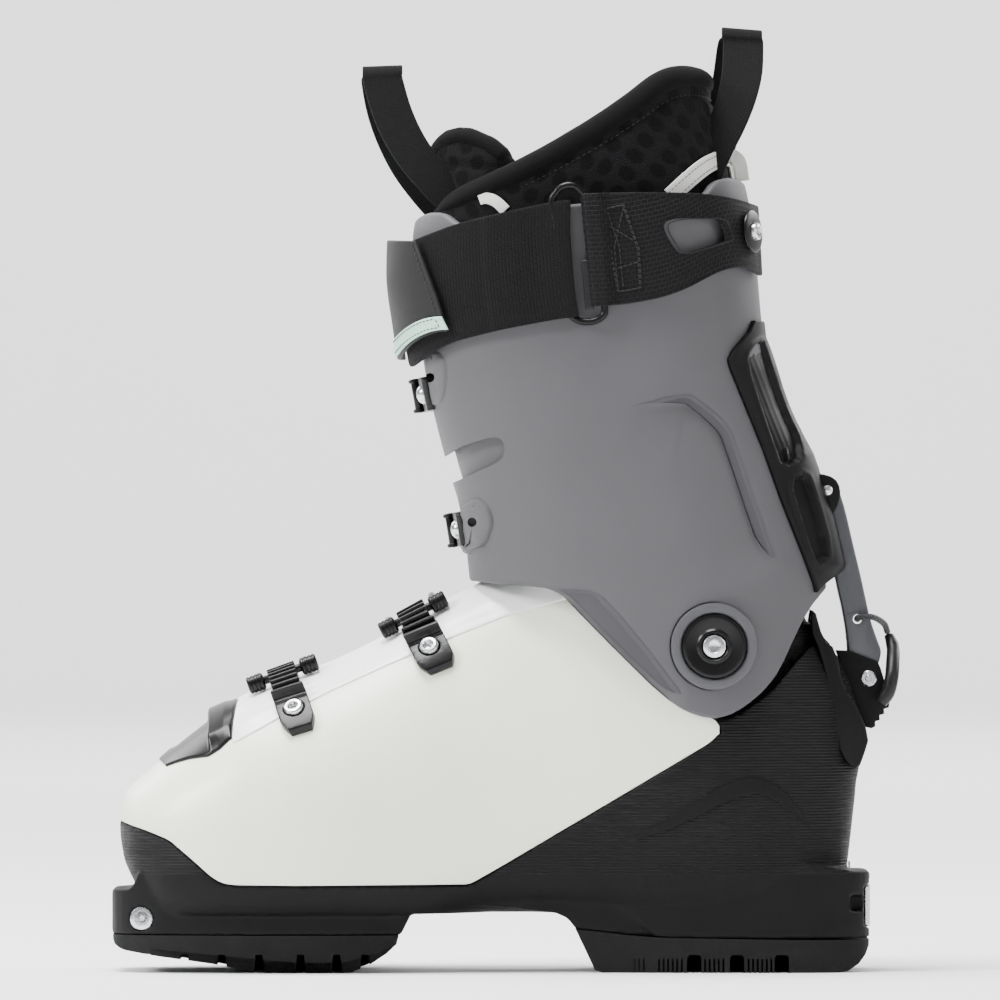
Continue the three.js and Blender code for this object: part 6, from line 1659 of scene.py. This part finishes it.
trim_parts, trim_st = [], []
for s in (-1, 1):
    line = np.array([[66.5, 289.7], [72.5, 295.3], [78.5, 300.6], [83.0, 303.2], [86.8, 304.5], [90.5, 305.1], [92.0, 302.4], [92.8, 296.1]])
    # keep the line on the flat part of the side
    trim_parts.append(strip_on(on_liner, "trim", line, 6.4, 0.9, 1.15, 70, 8, 0.35, s))
    for w in (-1.9, 1.5):
        l = resample(chaikin(line, 2, False), 0.8)
        d = np.gradient(l, axis=0); d /= np.linalg.norm(d, axis=1, keepdims=True)
        q, n = on_liner(l[:, 0] - d[:, 1] * w, l[:, 1] + d[:, 0] * w, 1.15, s)
        trim_st.append(stitches("st", q, n, 1.9, 1.25, 0.16, 0.05))
liner_trim = join("liner_white_trim", trim_parts)
labels = []
for s, line, w in ((-1, [[-4.1, 288.5], [-1.9, 289.3], [1.9, 288.2], [5.6, 284.4]], 4.2), (-1, [[29.7, 274.3], [33.8, 274.3]], 7.5), (1, [[-2.3, 288.2], [6.4, 284.0]], 5.0)):
    labels.append(strip_on(on_liner, "label", np.array(line), w, 0.5, 0.75, 16, 6, 0.2, s))
liner_label = join("liner_label_patches", labels)
# seam threads under the roll
l = leg_pt(_lhi - 10.6, _tt, LIN_OFF - 0.9)
seam = stitches("s", l[6:-6], normal_of(leg_F, l[6:-6]), 2.4, 1.6, 0.2, 0.1)
liner_thread = join("liner_threads", [seam, *trim_st])

# ================================================================ tongue
TR = Tab([[176, -4.2, 9, 25], [190, -3.2, 10, 27], [205, -7.0, 12, 29], [222, -11.0, 15, 31], [245, -14.6, 19, 31], [270, -17.2, 24, 31], [290, -18.6, 30, 30], [304, -21.5, 35, 29.5], [312, -22.8, 37, 28.5], [318, -23.2, 37, 28.0]])


def tongue_surface(u, v):
    s = 2 * u - 1
    top = np.interp(np.abs(s), [0, 0.15, 0.35, 0.5, 0.62, 0.78, 0.9, 1.0], [311.5, 312.4, 315.3, 316.3, 316.0, 312.8, 308.0, 302.5])
    z = 178 + (top - 178) * v
    q = TR(z); xo, dp, w = q[..., 0], q[..., 1], q[..., 2]
    a = s * 84 * D2R
    return np.stack([xo + dp * (1 - np.cos(a)), w * np.sin(a), z], -1)


def tongue_th(P, U, V):
    return np.clip(8.0 - 2.0 * smooth_step(290, 312, P[..., 2]), 5, 10)


def tongue_puff(P, U, V):
    y, z = P[..., 1], P[..., 2]
    free = smooth_step(283, 296, z)
    return free * (0.4 * grid_noise(P, 11, 12.0) - 0.9 * np.exp(-((z - 303.5 + 0.004 * y * y) / 1.3) ** 2))


tongue = skin("tongue_pad", tongue_surface, 105, 96, 7.0, 2.8, disp=tongue_puff, th_fn=tongue_th, flip=True)
_uu = np.linspace(0.02, 0.98, 60)
_bt = tongue_surface(_uu, np.full(60, 0.972))
_bn = np.stack([_bt[:, 0] - 8.0, _bt[:, 1] * 1.4, 0 * _uu], 1); _bn /= np.linalg.norm(_bn, axis=1, keepdims=True)
_bi = _bt - _bn * 2.9
binding = tube("tongue_binding", _bi, 3.6, 18, 160, r_fn=lambda s: np.minimum(1, 0.5 + 8 * np.minimum(s, 1 - s)))

# ================================================================ webbing loops
def ribbon(name, pts, wid, w, t, n=120, nv=9):
    """Band of webbing: centre line, width direction at each point."""
    p = curve_pts(pts, n)
    W = curve_pts(np.asarray(wid, float), n)
    W /= np.linalg.norm(W, axis=1, keepdims=True)
    s = np.linspace(0, 1, n)
    def S(u, v):
        c = np.stack([np.interp(u, s, p[:, k]) for k in range(3)], -1)
        d = np.stack([np.interp(u, s, W[:, k]) for k in range(3)], -1)
        return c + d * ((v - 0.5) * w)[..., None]
    return skin(name, S, n, nv, t, 0.45)


def loop_path(low, yLow, wLow, top, half, wTop, bow=0.0):
    pts, wid = [], []
    def leg(k, q):
        pts.append([low[0] + (top[0] - low[0]) * k**0.9, q * (yLow + (half - yLow) * math.sin(k * 90 * D2R) + bow * math.sin(k * math.pi)), low[1] + (top[1] - half - low[1]) * k])
        f = min(1, k * 1.7); g = f * f * (3 - 2 * f)
        wid.append([wLow[0] + (wTop[0] - wLow[0]) * g, -q * (wLow[1] + (wTop[1] - wLow[1]) * g), wLow[2] + (wTop[2] - wLow[2]) * g])
    for i in range(8):
        leg(i / 7, -1)
    for i in range(1, 8):
        a = math.pi - i / 8 * math.pi
        pts.append([top[0], half * math.cos(a), top[1] - half + half * math.sin(a)]); wid.append(wTop)
    for i in range(7, -1, -1):
        leg(i / 7, 1)
    return pts, wid


def px_loop(near, far, y_n, y_f, top_z, top_x, half, wTop, lean):
    """Loop whose near and far strands follow their own centre lines (x, z from the top down)."""
    pts, wid = [], []
    def down(line, ys, q, rev):
        l = resample(chaikin(line, 2, False), 12.0)
        k = np.linspace(0, 1, len(l))
        y = ys[0] + (ys[1] - ys[0]) * np.sin(k * math.pi / 2)
        f = smooth_step(0.05, 0.75, k)
        P = [[l[i, 0], q * y[i], l[i, 1]] for i in range(len(l))]
        W = [[wTop[0] + (lean[0] - wTop[0]) * f[i], q * (wTop[1] + (lean[1] - wTop[1]) * f[i]), wTop[2] + (lean[2] - wTop[2]) * f[i]] for i in range(len(l))]
        return (P[::-1], W[::-1]) if rev else (P, W)
    P, W = down(np.array(near), (half, y_n), -1, True)
    pts += P; wid += W
    for i in range(1, 8):
        a = math.pi - i / 8 * math.pi
        pts.append([top_x, half * math.cos(a), top_z - half + half * math.sin(a)]); wid.append(list(wTop))
    P, W = down(np.array(far), (half, y_f), 1, False)
    return pts + P, wid + W


fp, fw = px_loop([[-40.6, 334.4], [-38.7, 326.9], [-35.7, 318.6], [-31.2, 309.6], [-25.2, 301.3], [-17.7, 293.0], [-9.4, 284.8]], [[-41.3, 334.4], [-40.2, 326.9], [-37.9, 318.6], [-34.2, 309.6], [-29.3, 300.6], [-22.2, 291.5], [-14.7, 283.3]],
                 19.0, 17.0, 339.8, -40.8, 5.6, [1.0, 0, 0.04], [0.80, -0.40, 0.42])
front_loop = ribbon("tongue_pull_loop", fp, fw, 15.0, 1.4, 170, 11)
rp, rw = px_loop([[94.7, 347.9], [94.7, 341.9], [93.9, 335.1], [92.0, 327.6], [89.4, 320.1], [86.0, 312.6], [81.9, 304.3], [78.5, 295.3]], [[92.8, 347.9], [92.0, 341.9], [90.9, 335.1], [89.4, 327.6], [87.5, 320.1], [85.3, 311.8], [83.0, 301.3], [80.8, 290.8]],
                 28.0, 26.0, 353.7, 94.3, 5.6, [1, 0, -0.08], [0.93, 0.36, 0.1])
rear_loop = ribbon("liner_pull_loop", rp, rw, 15.2, 1.4, 160, 11)

# ================================================================ power strap, tab, ring and rear piece
STRAP_IN = np.array([[-41.7, 269.8], [-28.9, 273.9], [-12.8, 279.5], [7.1, 284.0], [25.9, 287.8], [33.1, 288.5], [37.2, 266.0], [39.8, 245.7], [29.7, 244.6], [3.4, 239.7], [-16.5, 234.8], [-29.7, 226.2], [-34.2, 226.2], [-41.7, 229.2]])
STRAP_OUT = np.array([[-41.7, 269.8], [-28.9, 273.9], [-12.8, 279.5], [7.1, 284.0], [25.9, 287.8], [41.0, 289.7], [71.0, 289.7], [99.9, 286.7], [99.9, 263.7], [91.7, 263.7], [78.5, 258.1], [63.5, 251.7], [37.2, 248.7], [3.4, 242.0], [-16.5, 238.2], [-29.7, 232.9], [-41.7, 232.2]])
t_in = -math.acos(-abs((33.1 - 35.3) / 66.6) ** (LEG_N / 2)) if 33.1 < 35.3 else -math.acos(abs((33.1 - 35.3) / 66.6) ** (LEG_N / 2))
t_out = math.acos(abs((99.9 - 35.3) / 67.5) ** (LEG_N / 2))
# from the ring on the inner side, over the front, to the rivet on the outer side
_a0, _a1 = U_OF_T(t_in + 2 * math.pi), U_OF_T(t_out)
_bu = np.linspace(0, 1, 401)
_bt2 = T_OF_U(_a0 + (_a1 - _a0) * _bu)
_zq = np.arange(215, 300, 0.25)
_Q = leg_pt(_zq[None], _bt2[:, None], 3.1, 2.6)
_iq = np.where(_Q[..., 1] > 0, pip(STRAP_OUT, _Q[..., 0], _Q[..., 2]), pip(STRAP_IN, _Q[..., 0], _Q[..., 2]))
_slo = _zq[_iq.argmax(1)]; _shi = _zq[len(_zq) - 1 - _iq[:, ::-1].argmax(1)]
_slo = np.where(_iq.any(1), _slo, np.nan); _shi = np.where(_iq.any(1), _shi, np.nan)
ok = ~np.isnan(_slo)
_slo = np.interp(_bu, _bu[ok], _slo[ok]); _shi = np.interp(_bu, _bu[ok], _shi[ok])
for a, k in ((_slo, 41), (_shi, 25)):
    a[:] = np.convolve(np.pad(a, k // 2, "edge"), np.hanning(k) / np.hanning(k).sum(), "valid")


def strap_surface(u, v, off=3.1, front=2.6):
    lo, hi = np.interp(u, _bu, _slo), np.interp(u, _bu, _shi)
    z = lo + (hi - lo) * v
    lean = np.interp(z, [245.0, 288.5], [-0.3, -1.4]) / 300 * smooth_step(0.5, 0.0, u)
    return leg_pt(z, T_OF_U(_a0 + (_a1 - _a0) * u + lean), off, front)


def strap_disp(P, U, V):
    e = np.minimum(V, 1 - V)
    sag = 0.35 * grid_noise(P, 21, 20.0)
    # the doubled end beside the ring
    dbl = 0.8 * smooth_step(0.125, 0.115, U) + 1.7 * smooth_step(0.055, 0.0, U)
    return sag * smooth_step(0, 0.2, e) + dbl


strap = skin("power_strap_webbing", strap_surface, 260, 30, 1.9, 0.7, disp=strap_disp, flip=True)

# keeper bar through the ring and the strap's folded end
def on_leg(x, z, off=0.0, side=-1):
    p = leg_side(np.asarray(x, float), np.asarray(z, float), side, 0.0)
    n = normal_of(leg_F, p)
    return p + n * off, n


keeper = strip_on(on_leg, "keeper", np.array([[35.3, 266.0], [36.1, 257.4], [36.8, 247.6]]), 3.4, 1.2, 3.9, 30, 10, 0.5)

TAB_TOP = np.array([[-41.7, 274.3], [-34.2, 273.9], [-28.9, 273.3]])
def tab_surface(u, v):
    # u from the front centre to the slanted inner edge, v up
    top = np.array([274.6, 273.3]); bot = np.array([229.2, 239.3])
    z = (bot[0] + (bot[1] - bot[0]) * smooth_step(0.25, 1.0, u)) * (1 - v) + (top[0] + (top[1] - top[0]) * u) * v
    xe = np.interp(z, [238.2, 251.7, 273.5], [-16.2, -20.3, -28.7])
    q = LT(z); xf, xb = q[..., 0] - 5.2 - 4.4, q[..., 1] + 5.2
    c, a = (xf + xb) / 2, (xb - xf) / 2
    te = np.arccos(-np.clip(np.abs((xe - c) / a), 0, 1) ** (LEG_N / 2))
    t = math.pi + 0.24 - (0.24 + (math.pi - te)) * (1 - (1 - u)) * 1.0
    t = math.pi - 0.24 + (0.24 + (math.pi - te)) * u
    return leg_pt(z, t, 5.2, 4.4)


tab = skin("strap_end_tab", tab_surface, 64, 60, 1.7, 0.6)
tab_bvh_src = None


def on_tab(u, v):
    return tab_surface(np.asarray(u, float), np.asarray(v, float))


# the strap's pale accent along the foot of the tab
def accent_surface(u, v):
    lo = tab_surface(0.30 + 0.72 * u, np.full_like(u, 0.02)); hi = tab_surface(0.30 + 0.70 * u, np.full_like(u, 0.165))
    p = lo * (1 - v)[..., None] + hi * v[..., None]
    c = np.array([32.0, 0.0])
    d = p[..., :2] - c; n = d / np.linalg.norm(d, axis=-1, keepdims=True)
    p = p.copy(); p[..., :2] += n * 0.75
    return p


accent = skin("strap_tab_accent", accent_surface, 50, 14, 1.1, 0.4)


def side_normals(p):
    n = p[:, :2] - np.array([32.0, 0.0]); n = np.concatenate([n, np.zeros((len(p), 1))], 1)
    return n / np.linalg.norm(n, axis=1, keepdims=True)


_v = np.linspace(0.18, 0.97, 60)
e1 = on_tab(np.full(60, 0.955), _v)
tab_st = [stitches("t", e1, side_normals(e1), 2.0, 1.35, 0.17, 0.05)]
_w = np.linspace(0.05, 0.93, 60)
acc_st = []
for vv in (0.18, 0.82):
    e2 = accent_surface(_w, np.full(60, vv)); acc_st.append(stitches("t", e2, side_normals(e2), 2.0, 1.4, 0.19, 0.05))
e3 = accent_surface(np.full(20, 0.93), np.linspace(0.18, 0.82, 20)); acc_st.append(stitches("t", e3, side_normals(e3), 2.0, 1.4, 0.19, 0.05))
tab_threads = join("strap_tab_threads", [*tab_st, *acc_st])

RING = np.array([[24.4, 290.8], [26.7, 293.0], [30.1, 293.6], [33.1, 291.9], [36.1, 287.0], [38.7, 270.5], [42.1, 249.5], [41.3, 245.0], [37.2, 243.1], [31.9, 243.8], [28.9, 248.7], [25.9, 268.6], [22.9, 286.3]])
rc = curve_pts(RING, 120, True)
rpp, _n = on_leg(rc[:, 0], rc[:, 1], 3.6)
ring = tube("strap_ring_wire", rpp, 1.35, 16, 120, closed=True, smooth_path=False)

REAR_TOP = np.array([[33.1, 290.4], [41.0, 290.8], [56.0, 291.1], [78.5, 291.0], [89.8, 289.7], [100.3, 287.0]])
REAR_BOT = np.array([[37.2, 248.7], [48.5, 249.1], [63.5, 251.7], [72.9, 255.1], [78.5, 258.1], [84.9, 261.5], [91.7, 263.6], [96.6, 263.0], [101.8, 260.7]])
_rt, _rb = chaikin(REAR_TOP, 2, False), chaikin(REAR_BOT, 2, False)


def rear_surface(u, v):
    x_l = 33.1 + (37.2 - 33.1) * (1 - v)
    x_r = 100.5 + (101.8 - 100.5) * (1 - v)
    x = x_l + (x_r - x_l) * u
    zt, zb = np.interp(x, _rt[:, 0], _rt[:, 1]), np.interp(x, _rb[:, 0], _rb[:, 1])
    z = zb + (zt - zb) * v
    q = LT(z); xf, xb = q[..., 0] - 3.3 - 2.6, q[..., 1] + 3.3
    c, a = (xf + xb) / 2, (xb - xf) / 2
    k = np.clip((x - c) / a, -0.999, 0.999)
    t = -np.arccos(np.sign(k) * np.abs(k) ** (LEG_N / 2))
    return leg_pt(z, t, 3.3, 2.6)


def rear_disp(P, U, V):
    e = np.minimum(np.minimum(V, 1 - V) * 36, np.minimum(U, 1 - U) * 70)
    # narrow pressed border, and the fold over the ring
    return -0.25 * np.exp(-((e - 1.6) / 0.5) ** 2) + 2.3 * smooth_step(0.16, 0.09, U) * (0.35 + 0.65 * smooth_step(0.0, 0.025, U))


rear = skin("rear_strap_band", rear_surface, 140, 56, 2.1, 0.6, disp=rear_disp, flip=True)
WINDOW = chaikin([[63.1, 279.1], [68.0, 281.4], [78.5, 281.6], [84.2, 281.4], [85.7, 278.8], [87.4, 274.3], [86.4, 272.8], [78.5, 270.3], [71.4, 267.9], [68.8, 269.0]], 2)
boolean(rear, prism("c", WINDOW, -90, -5))
shade(rear, 48)
# thin piping round the window
wl, wn = on_leg(*grow(WINDOW, -0.1).T, 4.55)
piping = tube("rear_strap_edge", resample(wl, 1.0, True), 0.22, 8, 90, closed=True)
# box of stitching
def rear_pt(x, z, off=0.0):
    q = LT(np.asarray(z, float)); xf, xb = q[..., 0] - 3.3 - 2.6, q[..., 1] + 3.3
    c, a = (xf + xb) / 2, (xb - xf) / 2
    k = np.clip((np.asarray(x, float) - c) / a, -0.999, 0.999)
    t = -np.arccos(np.sign(k) * np.abs(k) ** (LEG_N / 2))
    return leg_pt(z, t, 3.3 + off, 2.6)


rear_th = []
BOX = [[[42.1, 284.8], [48.8, 286.3], [54.5, 269.8], [55.2, 255.5], [47.0, 254.0], [44.7, 266.0], [42.5, 275.0], [42.1, 284.8]], [[43.2, 284.0], [47.7, 270.5], [49.2, 254.7]], [[49.2, 285.5], [45.8, 270.5], [47.3, 254.7]], [[42.5, 279.5], [53.3, 272.8]], [[45.1, 262.2], [54.9, 265.2]]]
for i, ln in enumerate(BOX):
    for dz in ((0.0, 0.55) if i == 0 else (0.0,)):
        l = resample(np.array(ln), 0.5)
        p = rear_pt(l[:, 0] + dz, l[:, 1], 0.0)
        rear_th.append(stitches("t", p, side_normals(p), 2.1, 1.6, 0.24, 0.10))
rear_threads = join("rear_strap_threads", rear_th)

strap_hw = {}
for s, tag in ((-1, "medial"), (1, "lateral")):
    q, n = on_leg(np.array([93.9]), np.array([276.5]), 0.0, s)
    q, n = q[0], n[0]
    prof = [(3.5, 0.3), (6.9, 0.2), (7.6, 0.0), (7.95, -0.15), (8.05, -0.55), (7.7, -0.8), (3.5, -0.6), (3.5, 0.3)]
    wsh = turned("strap_washer_ring_" + tag, prof, q + n * 4.95, n, 64, 35)
    prof = [(0, 1.0), (0.8, 1.0), (1.5, 1.2), (1.65, 1.5), (1.7, 1.9), (2.0, 2.2), (2.7, 2.1), (3.2, 1.6), (3.35, 1.0), (3.4, -1.0), (0, -1.0)]
    scr = turned("strap_screw_head_" + tag, prof, q + n * 4.9, n, 40, 30)
    strap_hw[tag] = (wsh, scr)

# ================================================================ cord and sleeve
cxx, czz = 137.7, 131.9
cord_path = [[149.0, -1.7, 126.9], [147.6, -4.2, 130.2], [143.4, -8.6, 132.6], [cxx + 0.8, -8.6, czz + 0.6], [cxx, -6.6, czz], [cxx, 0, czz], [cxx, 6.6, czz], [cxx + 0.8, 8.6, czz + 0.6], [143.4, 8.6, 132.6], [147.6, 4.2, 130.2], [149.0, 1.7, 126.9]]
cpp = curve_pts(cord_path, 90)
cord = tube("pull_cord_loop", cpp, 1.15, 14, 90, smooth_path=False)
sleeve_path = [[149.6, 0, 125.6], [151.0, -3, 121.0], [150.8, -8.2, 116], [150.2, -12.6, 110], [148.8, -13.4, 104.4], [146.1, -13.4, 100.7]]
sleeve = tube("cord_sleeve_shrink", sleeve_path, 2.75, 8, 60, squash=0.86, r_fn=lambda s: np.interp(s, [0, 0.06, 0.12, 0.5, 0.9, 1], [0.72, 0.8, 0.95, 1.0, 0.98, 0.9]))

# ================================================================ inside the foot
def soft_copy(node, name, voxel, smooth, tris):
    src = frame["nodes"][node]
    o = src.copy(); o.data = src.data.copy(); o.name = name
    bpy.context.scene.collection.objects.link(o)
    o.parent = None
    bpy.context.view_layer.update()
    o.data.transform(src.matrix_world); o.matrix_world.identity()
    for k in list(o.keys()):
        if k.startswith("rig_"):
            del o[k]
    o.hide_render = False; o.hide_viewport = False
    return remesh(o, voxel, smooth, 0.5, tris)


liner_foot = soft_copy("liner_foot", "liner_foot_pad", 2.2, 8, 18000)


def tuck_in(o):
    """Keeps the pad's ankle inside the shell's instep."""
    n = len(o.data.vertices)
    c = np.empty(n * 3); o.data.vertices.foreach_get("co", c); c = c.reshape(-1, 3)
    metres = np.abs(c).max() < 5
    p = c * 1000 - SH if metres else c.copy()
    x, z = p[:, 0], p[:, 2]
    lim = np.maximum(np.abs(side_of_foot(x, z, -1)[:, 1]) - 6.4, 10.0)
    w = smooth_step(-25, -5, x) * smooth_step(62, 50, x) * smooth_step(98, 112, z)
    y = np.sign(p[:, 1]) * np.minimum(np.abs(p[:, 1]), lim)
    p[:, 1] += (y - p[:, 1]) * w
    c = (p + SH) / 1000 if metres else p
    o.data.vertices.foreach_set("co", c.reshape(-1)); o.data.update()


tuck_in(liner_foot)
footbed = soft_copy("footbed", "footbed_foam", 0.9, 2, 9000)


# ================================================================ hand over to the frame
BODY = {n: o["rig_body"] for n, o in frame["nodes"].items()}


def put(o, node, mats, slot, replaces=True):
    return out(o, node if replaces else None, BODY[node], mats, slot)


put(clog, "lower_shell", M_CLOG, "shell_plastic")
put(chassis, "chassis", M_CHASSIS, "black_plastic")
for o in chev + ribs:
    put(o, "chassis", M_BLACK, "black_plastic", False)
put(dam, "toe_dam", M_GLOSS, "black_gloss")
put(toe_sole, "toe_sole", M_RUBBER, "sole_rubber")
put(heel_sole, "heel_sole", M_RUBBER, "sole_rubber")
put(toe_insert, "toe_insert", M_STEEL, "steel")
put(heel_plate, "heel_insert", M_STEEL, "steel")
put(heel_screw, "heel_insert_screw", M_STEEL, "steel")
put(cuff, "cuff", M_CUFF, "cuff_plastic")
# the ledge and front bevel bands carry painted shade in a darker grey
for o in painted_shade_bands:
    put(o, "cuff", M_CUFF_PAINTED_SHADE, "cuff_plastic", False)
for o in pivot_rings:
    put(o, "cuff", M_PRING, "cuff_plastic", False)
for tag in ("medial", "lateral"):
    put(discs[tag], "pivot_disc_" + tag, M_GLOSS, "black_gloss")
    put(piv_screws[tag], "pivot_screw_" + tag, M_STEEL, "steel")
    put(strap_hw[tag][0], "strap_washer_" + tag, M_GLOSS, "black_gloss")
    put(strap_hw[tag][1], "strap_screw_" + tag, M_STEEL, "steel")
put(spine, "spine_cover", M_BLACK, "black_plastic")
put(arm_pin, "arm_pin", M_STEEL, "steel")
put(arm, "walk_arm", M_ARM, "lever_metal")
put(block, "latch_block", M_BLACK, "black_plastic")
put(latch_pin, "latch_pin", M_STEEL, "steel")
for n, (ba, le, bl, cp) in buckles.items():
    put(ba, n + "_base", M_BUCKLE, "dark_metal")
    put(le, n + "_lever", M_ARM, "lever_metal")
    put(bl, n + "_bail", M_RINGM, "dark_metal")
    put(cp, n + "_bail", M_GLOSS, "black_gloss", False)
for (r, s), n in ((toe_rack, "toe_rack"), (instep_rack, "instep_rack")):
    put(r, n, M_GLOSS, "black_gloss")
    put(s, n + "_screw", M_STEEL, "steel")
for (c, d), n in ((lower_catch, "lower_catch"), (upper_catch, "upper_catch")):
    put(c, n, M_BUCKLE, "dark_metal")
    put(d, n + "_rivet", M_STEEL, "steel")
put(liner, "liner_cuff", M_MESH, "liner_fabric")
put(roll, "liner_cuff", M_NEO, "liner_fabric", False)
put(liner_trim, "liner_cuff", M_TRIM, "webbing", False)
put(liner_label, "liner_cuff", M_LABEL, "webbing", False)
put(liner_thread, "liner_cuff", M_THREAD, "webbing", False)
put(tongue, "tongue", M_MESH, "liner_fabric")
put(binding, "tongue", M_BIND, "webbing", False)
put(front_loop, "tongue_loop", M_LOOPWEB, "webbing")
put(rear_loop, "liner_loop", M_LOOPWEB, "webbing")
put(strap, "power_strap", [M_WEB], "webbing")
put(keeper, "strap_ring", M_BUCKLE, "dark_metal", False)
put(tab, "strap_tab", M_SYNTH, "strap_synthetic")
put(accent, "strap_tab", M_MINT, "strap_synthetic", False)
put(tab_threads, "strap_tab", M_THREAD, "webbing", False)
put(ring, "strap_ring", M_RINGM, "dark_metal")
put(rear, "rear_strap", M_CELL, "strap_synthetic")
put(piping, "rear_strap", M_SYNTH, "strap_synthetic", False)
put(rear_threads, "rear_strap", M_THREAD, "webbing", False)
put(liner_foot, "liner_foot", M_LINING, "liner_fabric")
put(footbed, "footbed", M_FOAM, "foam_sheet")
put(sleeve, "cord_sleeve", M_SLEEVE, "black_plastic")
put(cord, "pull_cord", M_CORD, "webbing")

# the white flap replaces its node but is attached to no body
out(flap, "instep_flap", None, M_FLAP, "flap_plastic")
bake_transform(flap)

board = frame["nodes"]["boot_board"]
board.data.materials.clear(); board.data.materials.append(M_BOARD)

# ================================================================ stage, lights, camera
V, F = [], []
prof = [(-11.0, 0.0), (-4.0, 0.0), (6.5, 0.0)] + [(6.5 + 1.4 * math.sin(a), 1.4 - 1.4 * math.cos(a)) for a in np.linspace(0, math.pi / 2, 14)[1:]] + [(7.9, 5.5)]
me = bpy.data.meshes.new("studio_sweep")
for y, z in prof:
    V += [(-11.0, y, z), (11.0, y, z)]
F = [(2 * i, 2 * i + 1, 2 * i + 3, 2 * i + 2) for i in range(len(prof) - 1)]
me.from_pydata(V, [], F); me.update()
sweep = bpy.data.objects.new("studio_sweep", me)
bpy.context.scene.collection.objects.link(sweep)
me.polygons.foreach_set("use_smooth", np.ones(len(F), bool))
me.materials.append(M_FLOOR)


def area(name, loc, aim, size, power, size_y=None):
    d = bpy.data.lights.new(name, "AREA")
    d.energy, d.size = power, size
    if size_y:
        d.shape = "RECTANGLE"; d.size_y = size_y
    o = bpy.data.objects.new(name, d)
    bpy.context.scene.collection.objects.link(o)
    o.location = loc
    o.rotation_euler = (Vector(aim) - Vector(loc)).to_track_quat("-Z", "Y").to_euler()
    return o


CEN = (0, 0, 0.17)
area("key_top", (-0.35, -0.15, 1.7), CEN, 1.0, 80, 0.8)
area("key_left", (-1.7, -0.9, 1.2), CEN, 0.6, 58, 0.6)
area("fill_right", (1.7, -1.1, 0.8), CEN, 0.9, 13, 0.9)
area("back_left", (-1.2, 1.4, 1.1), CEN, 0.8, 20, 0.8)
area("back_right", (1.3, 1.3, 1.0), CEN, 0.8, 20, 0.8)

area("wall_wash", (0, 2.6, 4.2), (0, 7.0, 0.8), 3.0, 640, 1.5)

w = bpy.data.worlds.new("studio")
bpy.context.scene.world = w
w.use_nodes = True
bg = next(n for n in w.node_tree.nodes if n.type == "BACKGROUND")
bg.inputs["Color"].default_value = (1.0, 1.0, 1.0, 1)
wt = w.node_tree
lp, mr = wt.nodes.new("ShaderNodeLightPath"), wt.nodes.new("ShaderNodeMapRange")
mr.inputs["To Min"].default_value, mr.inputs["To Max"].default_value = 0.5, 2.6
wt.links.new(lp.outputs["Is Camera Ray"], mr.inputs["Value"])
wt.links.new(mr.outputs["Result"], bg.inputs["Strength"])

cam = bpy.data.cameras.new("camera")
cam.lens, cam.sensor_width, cam.clip_end = 500.0, 36.0, 60.0
co = bpy.data.objects.new("camera", cam)
bpy.context.scene.collection.objects.link(co)
co.location = (-0.00057, -5.218, 0.1766)
co.rotation_euler = (math.pi / 2, 0, 0)
bpy.context.scene.camera = co
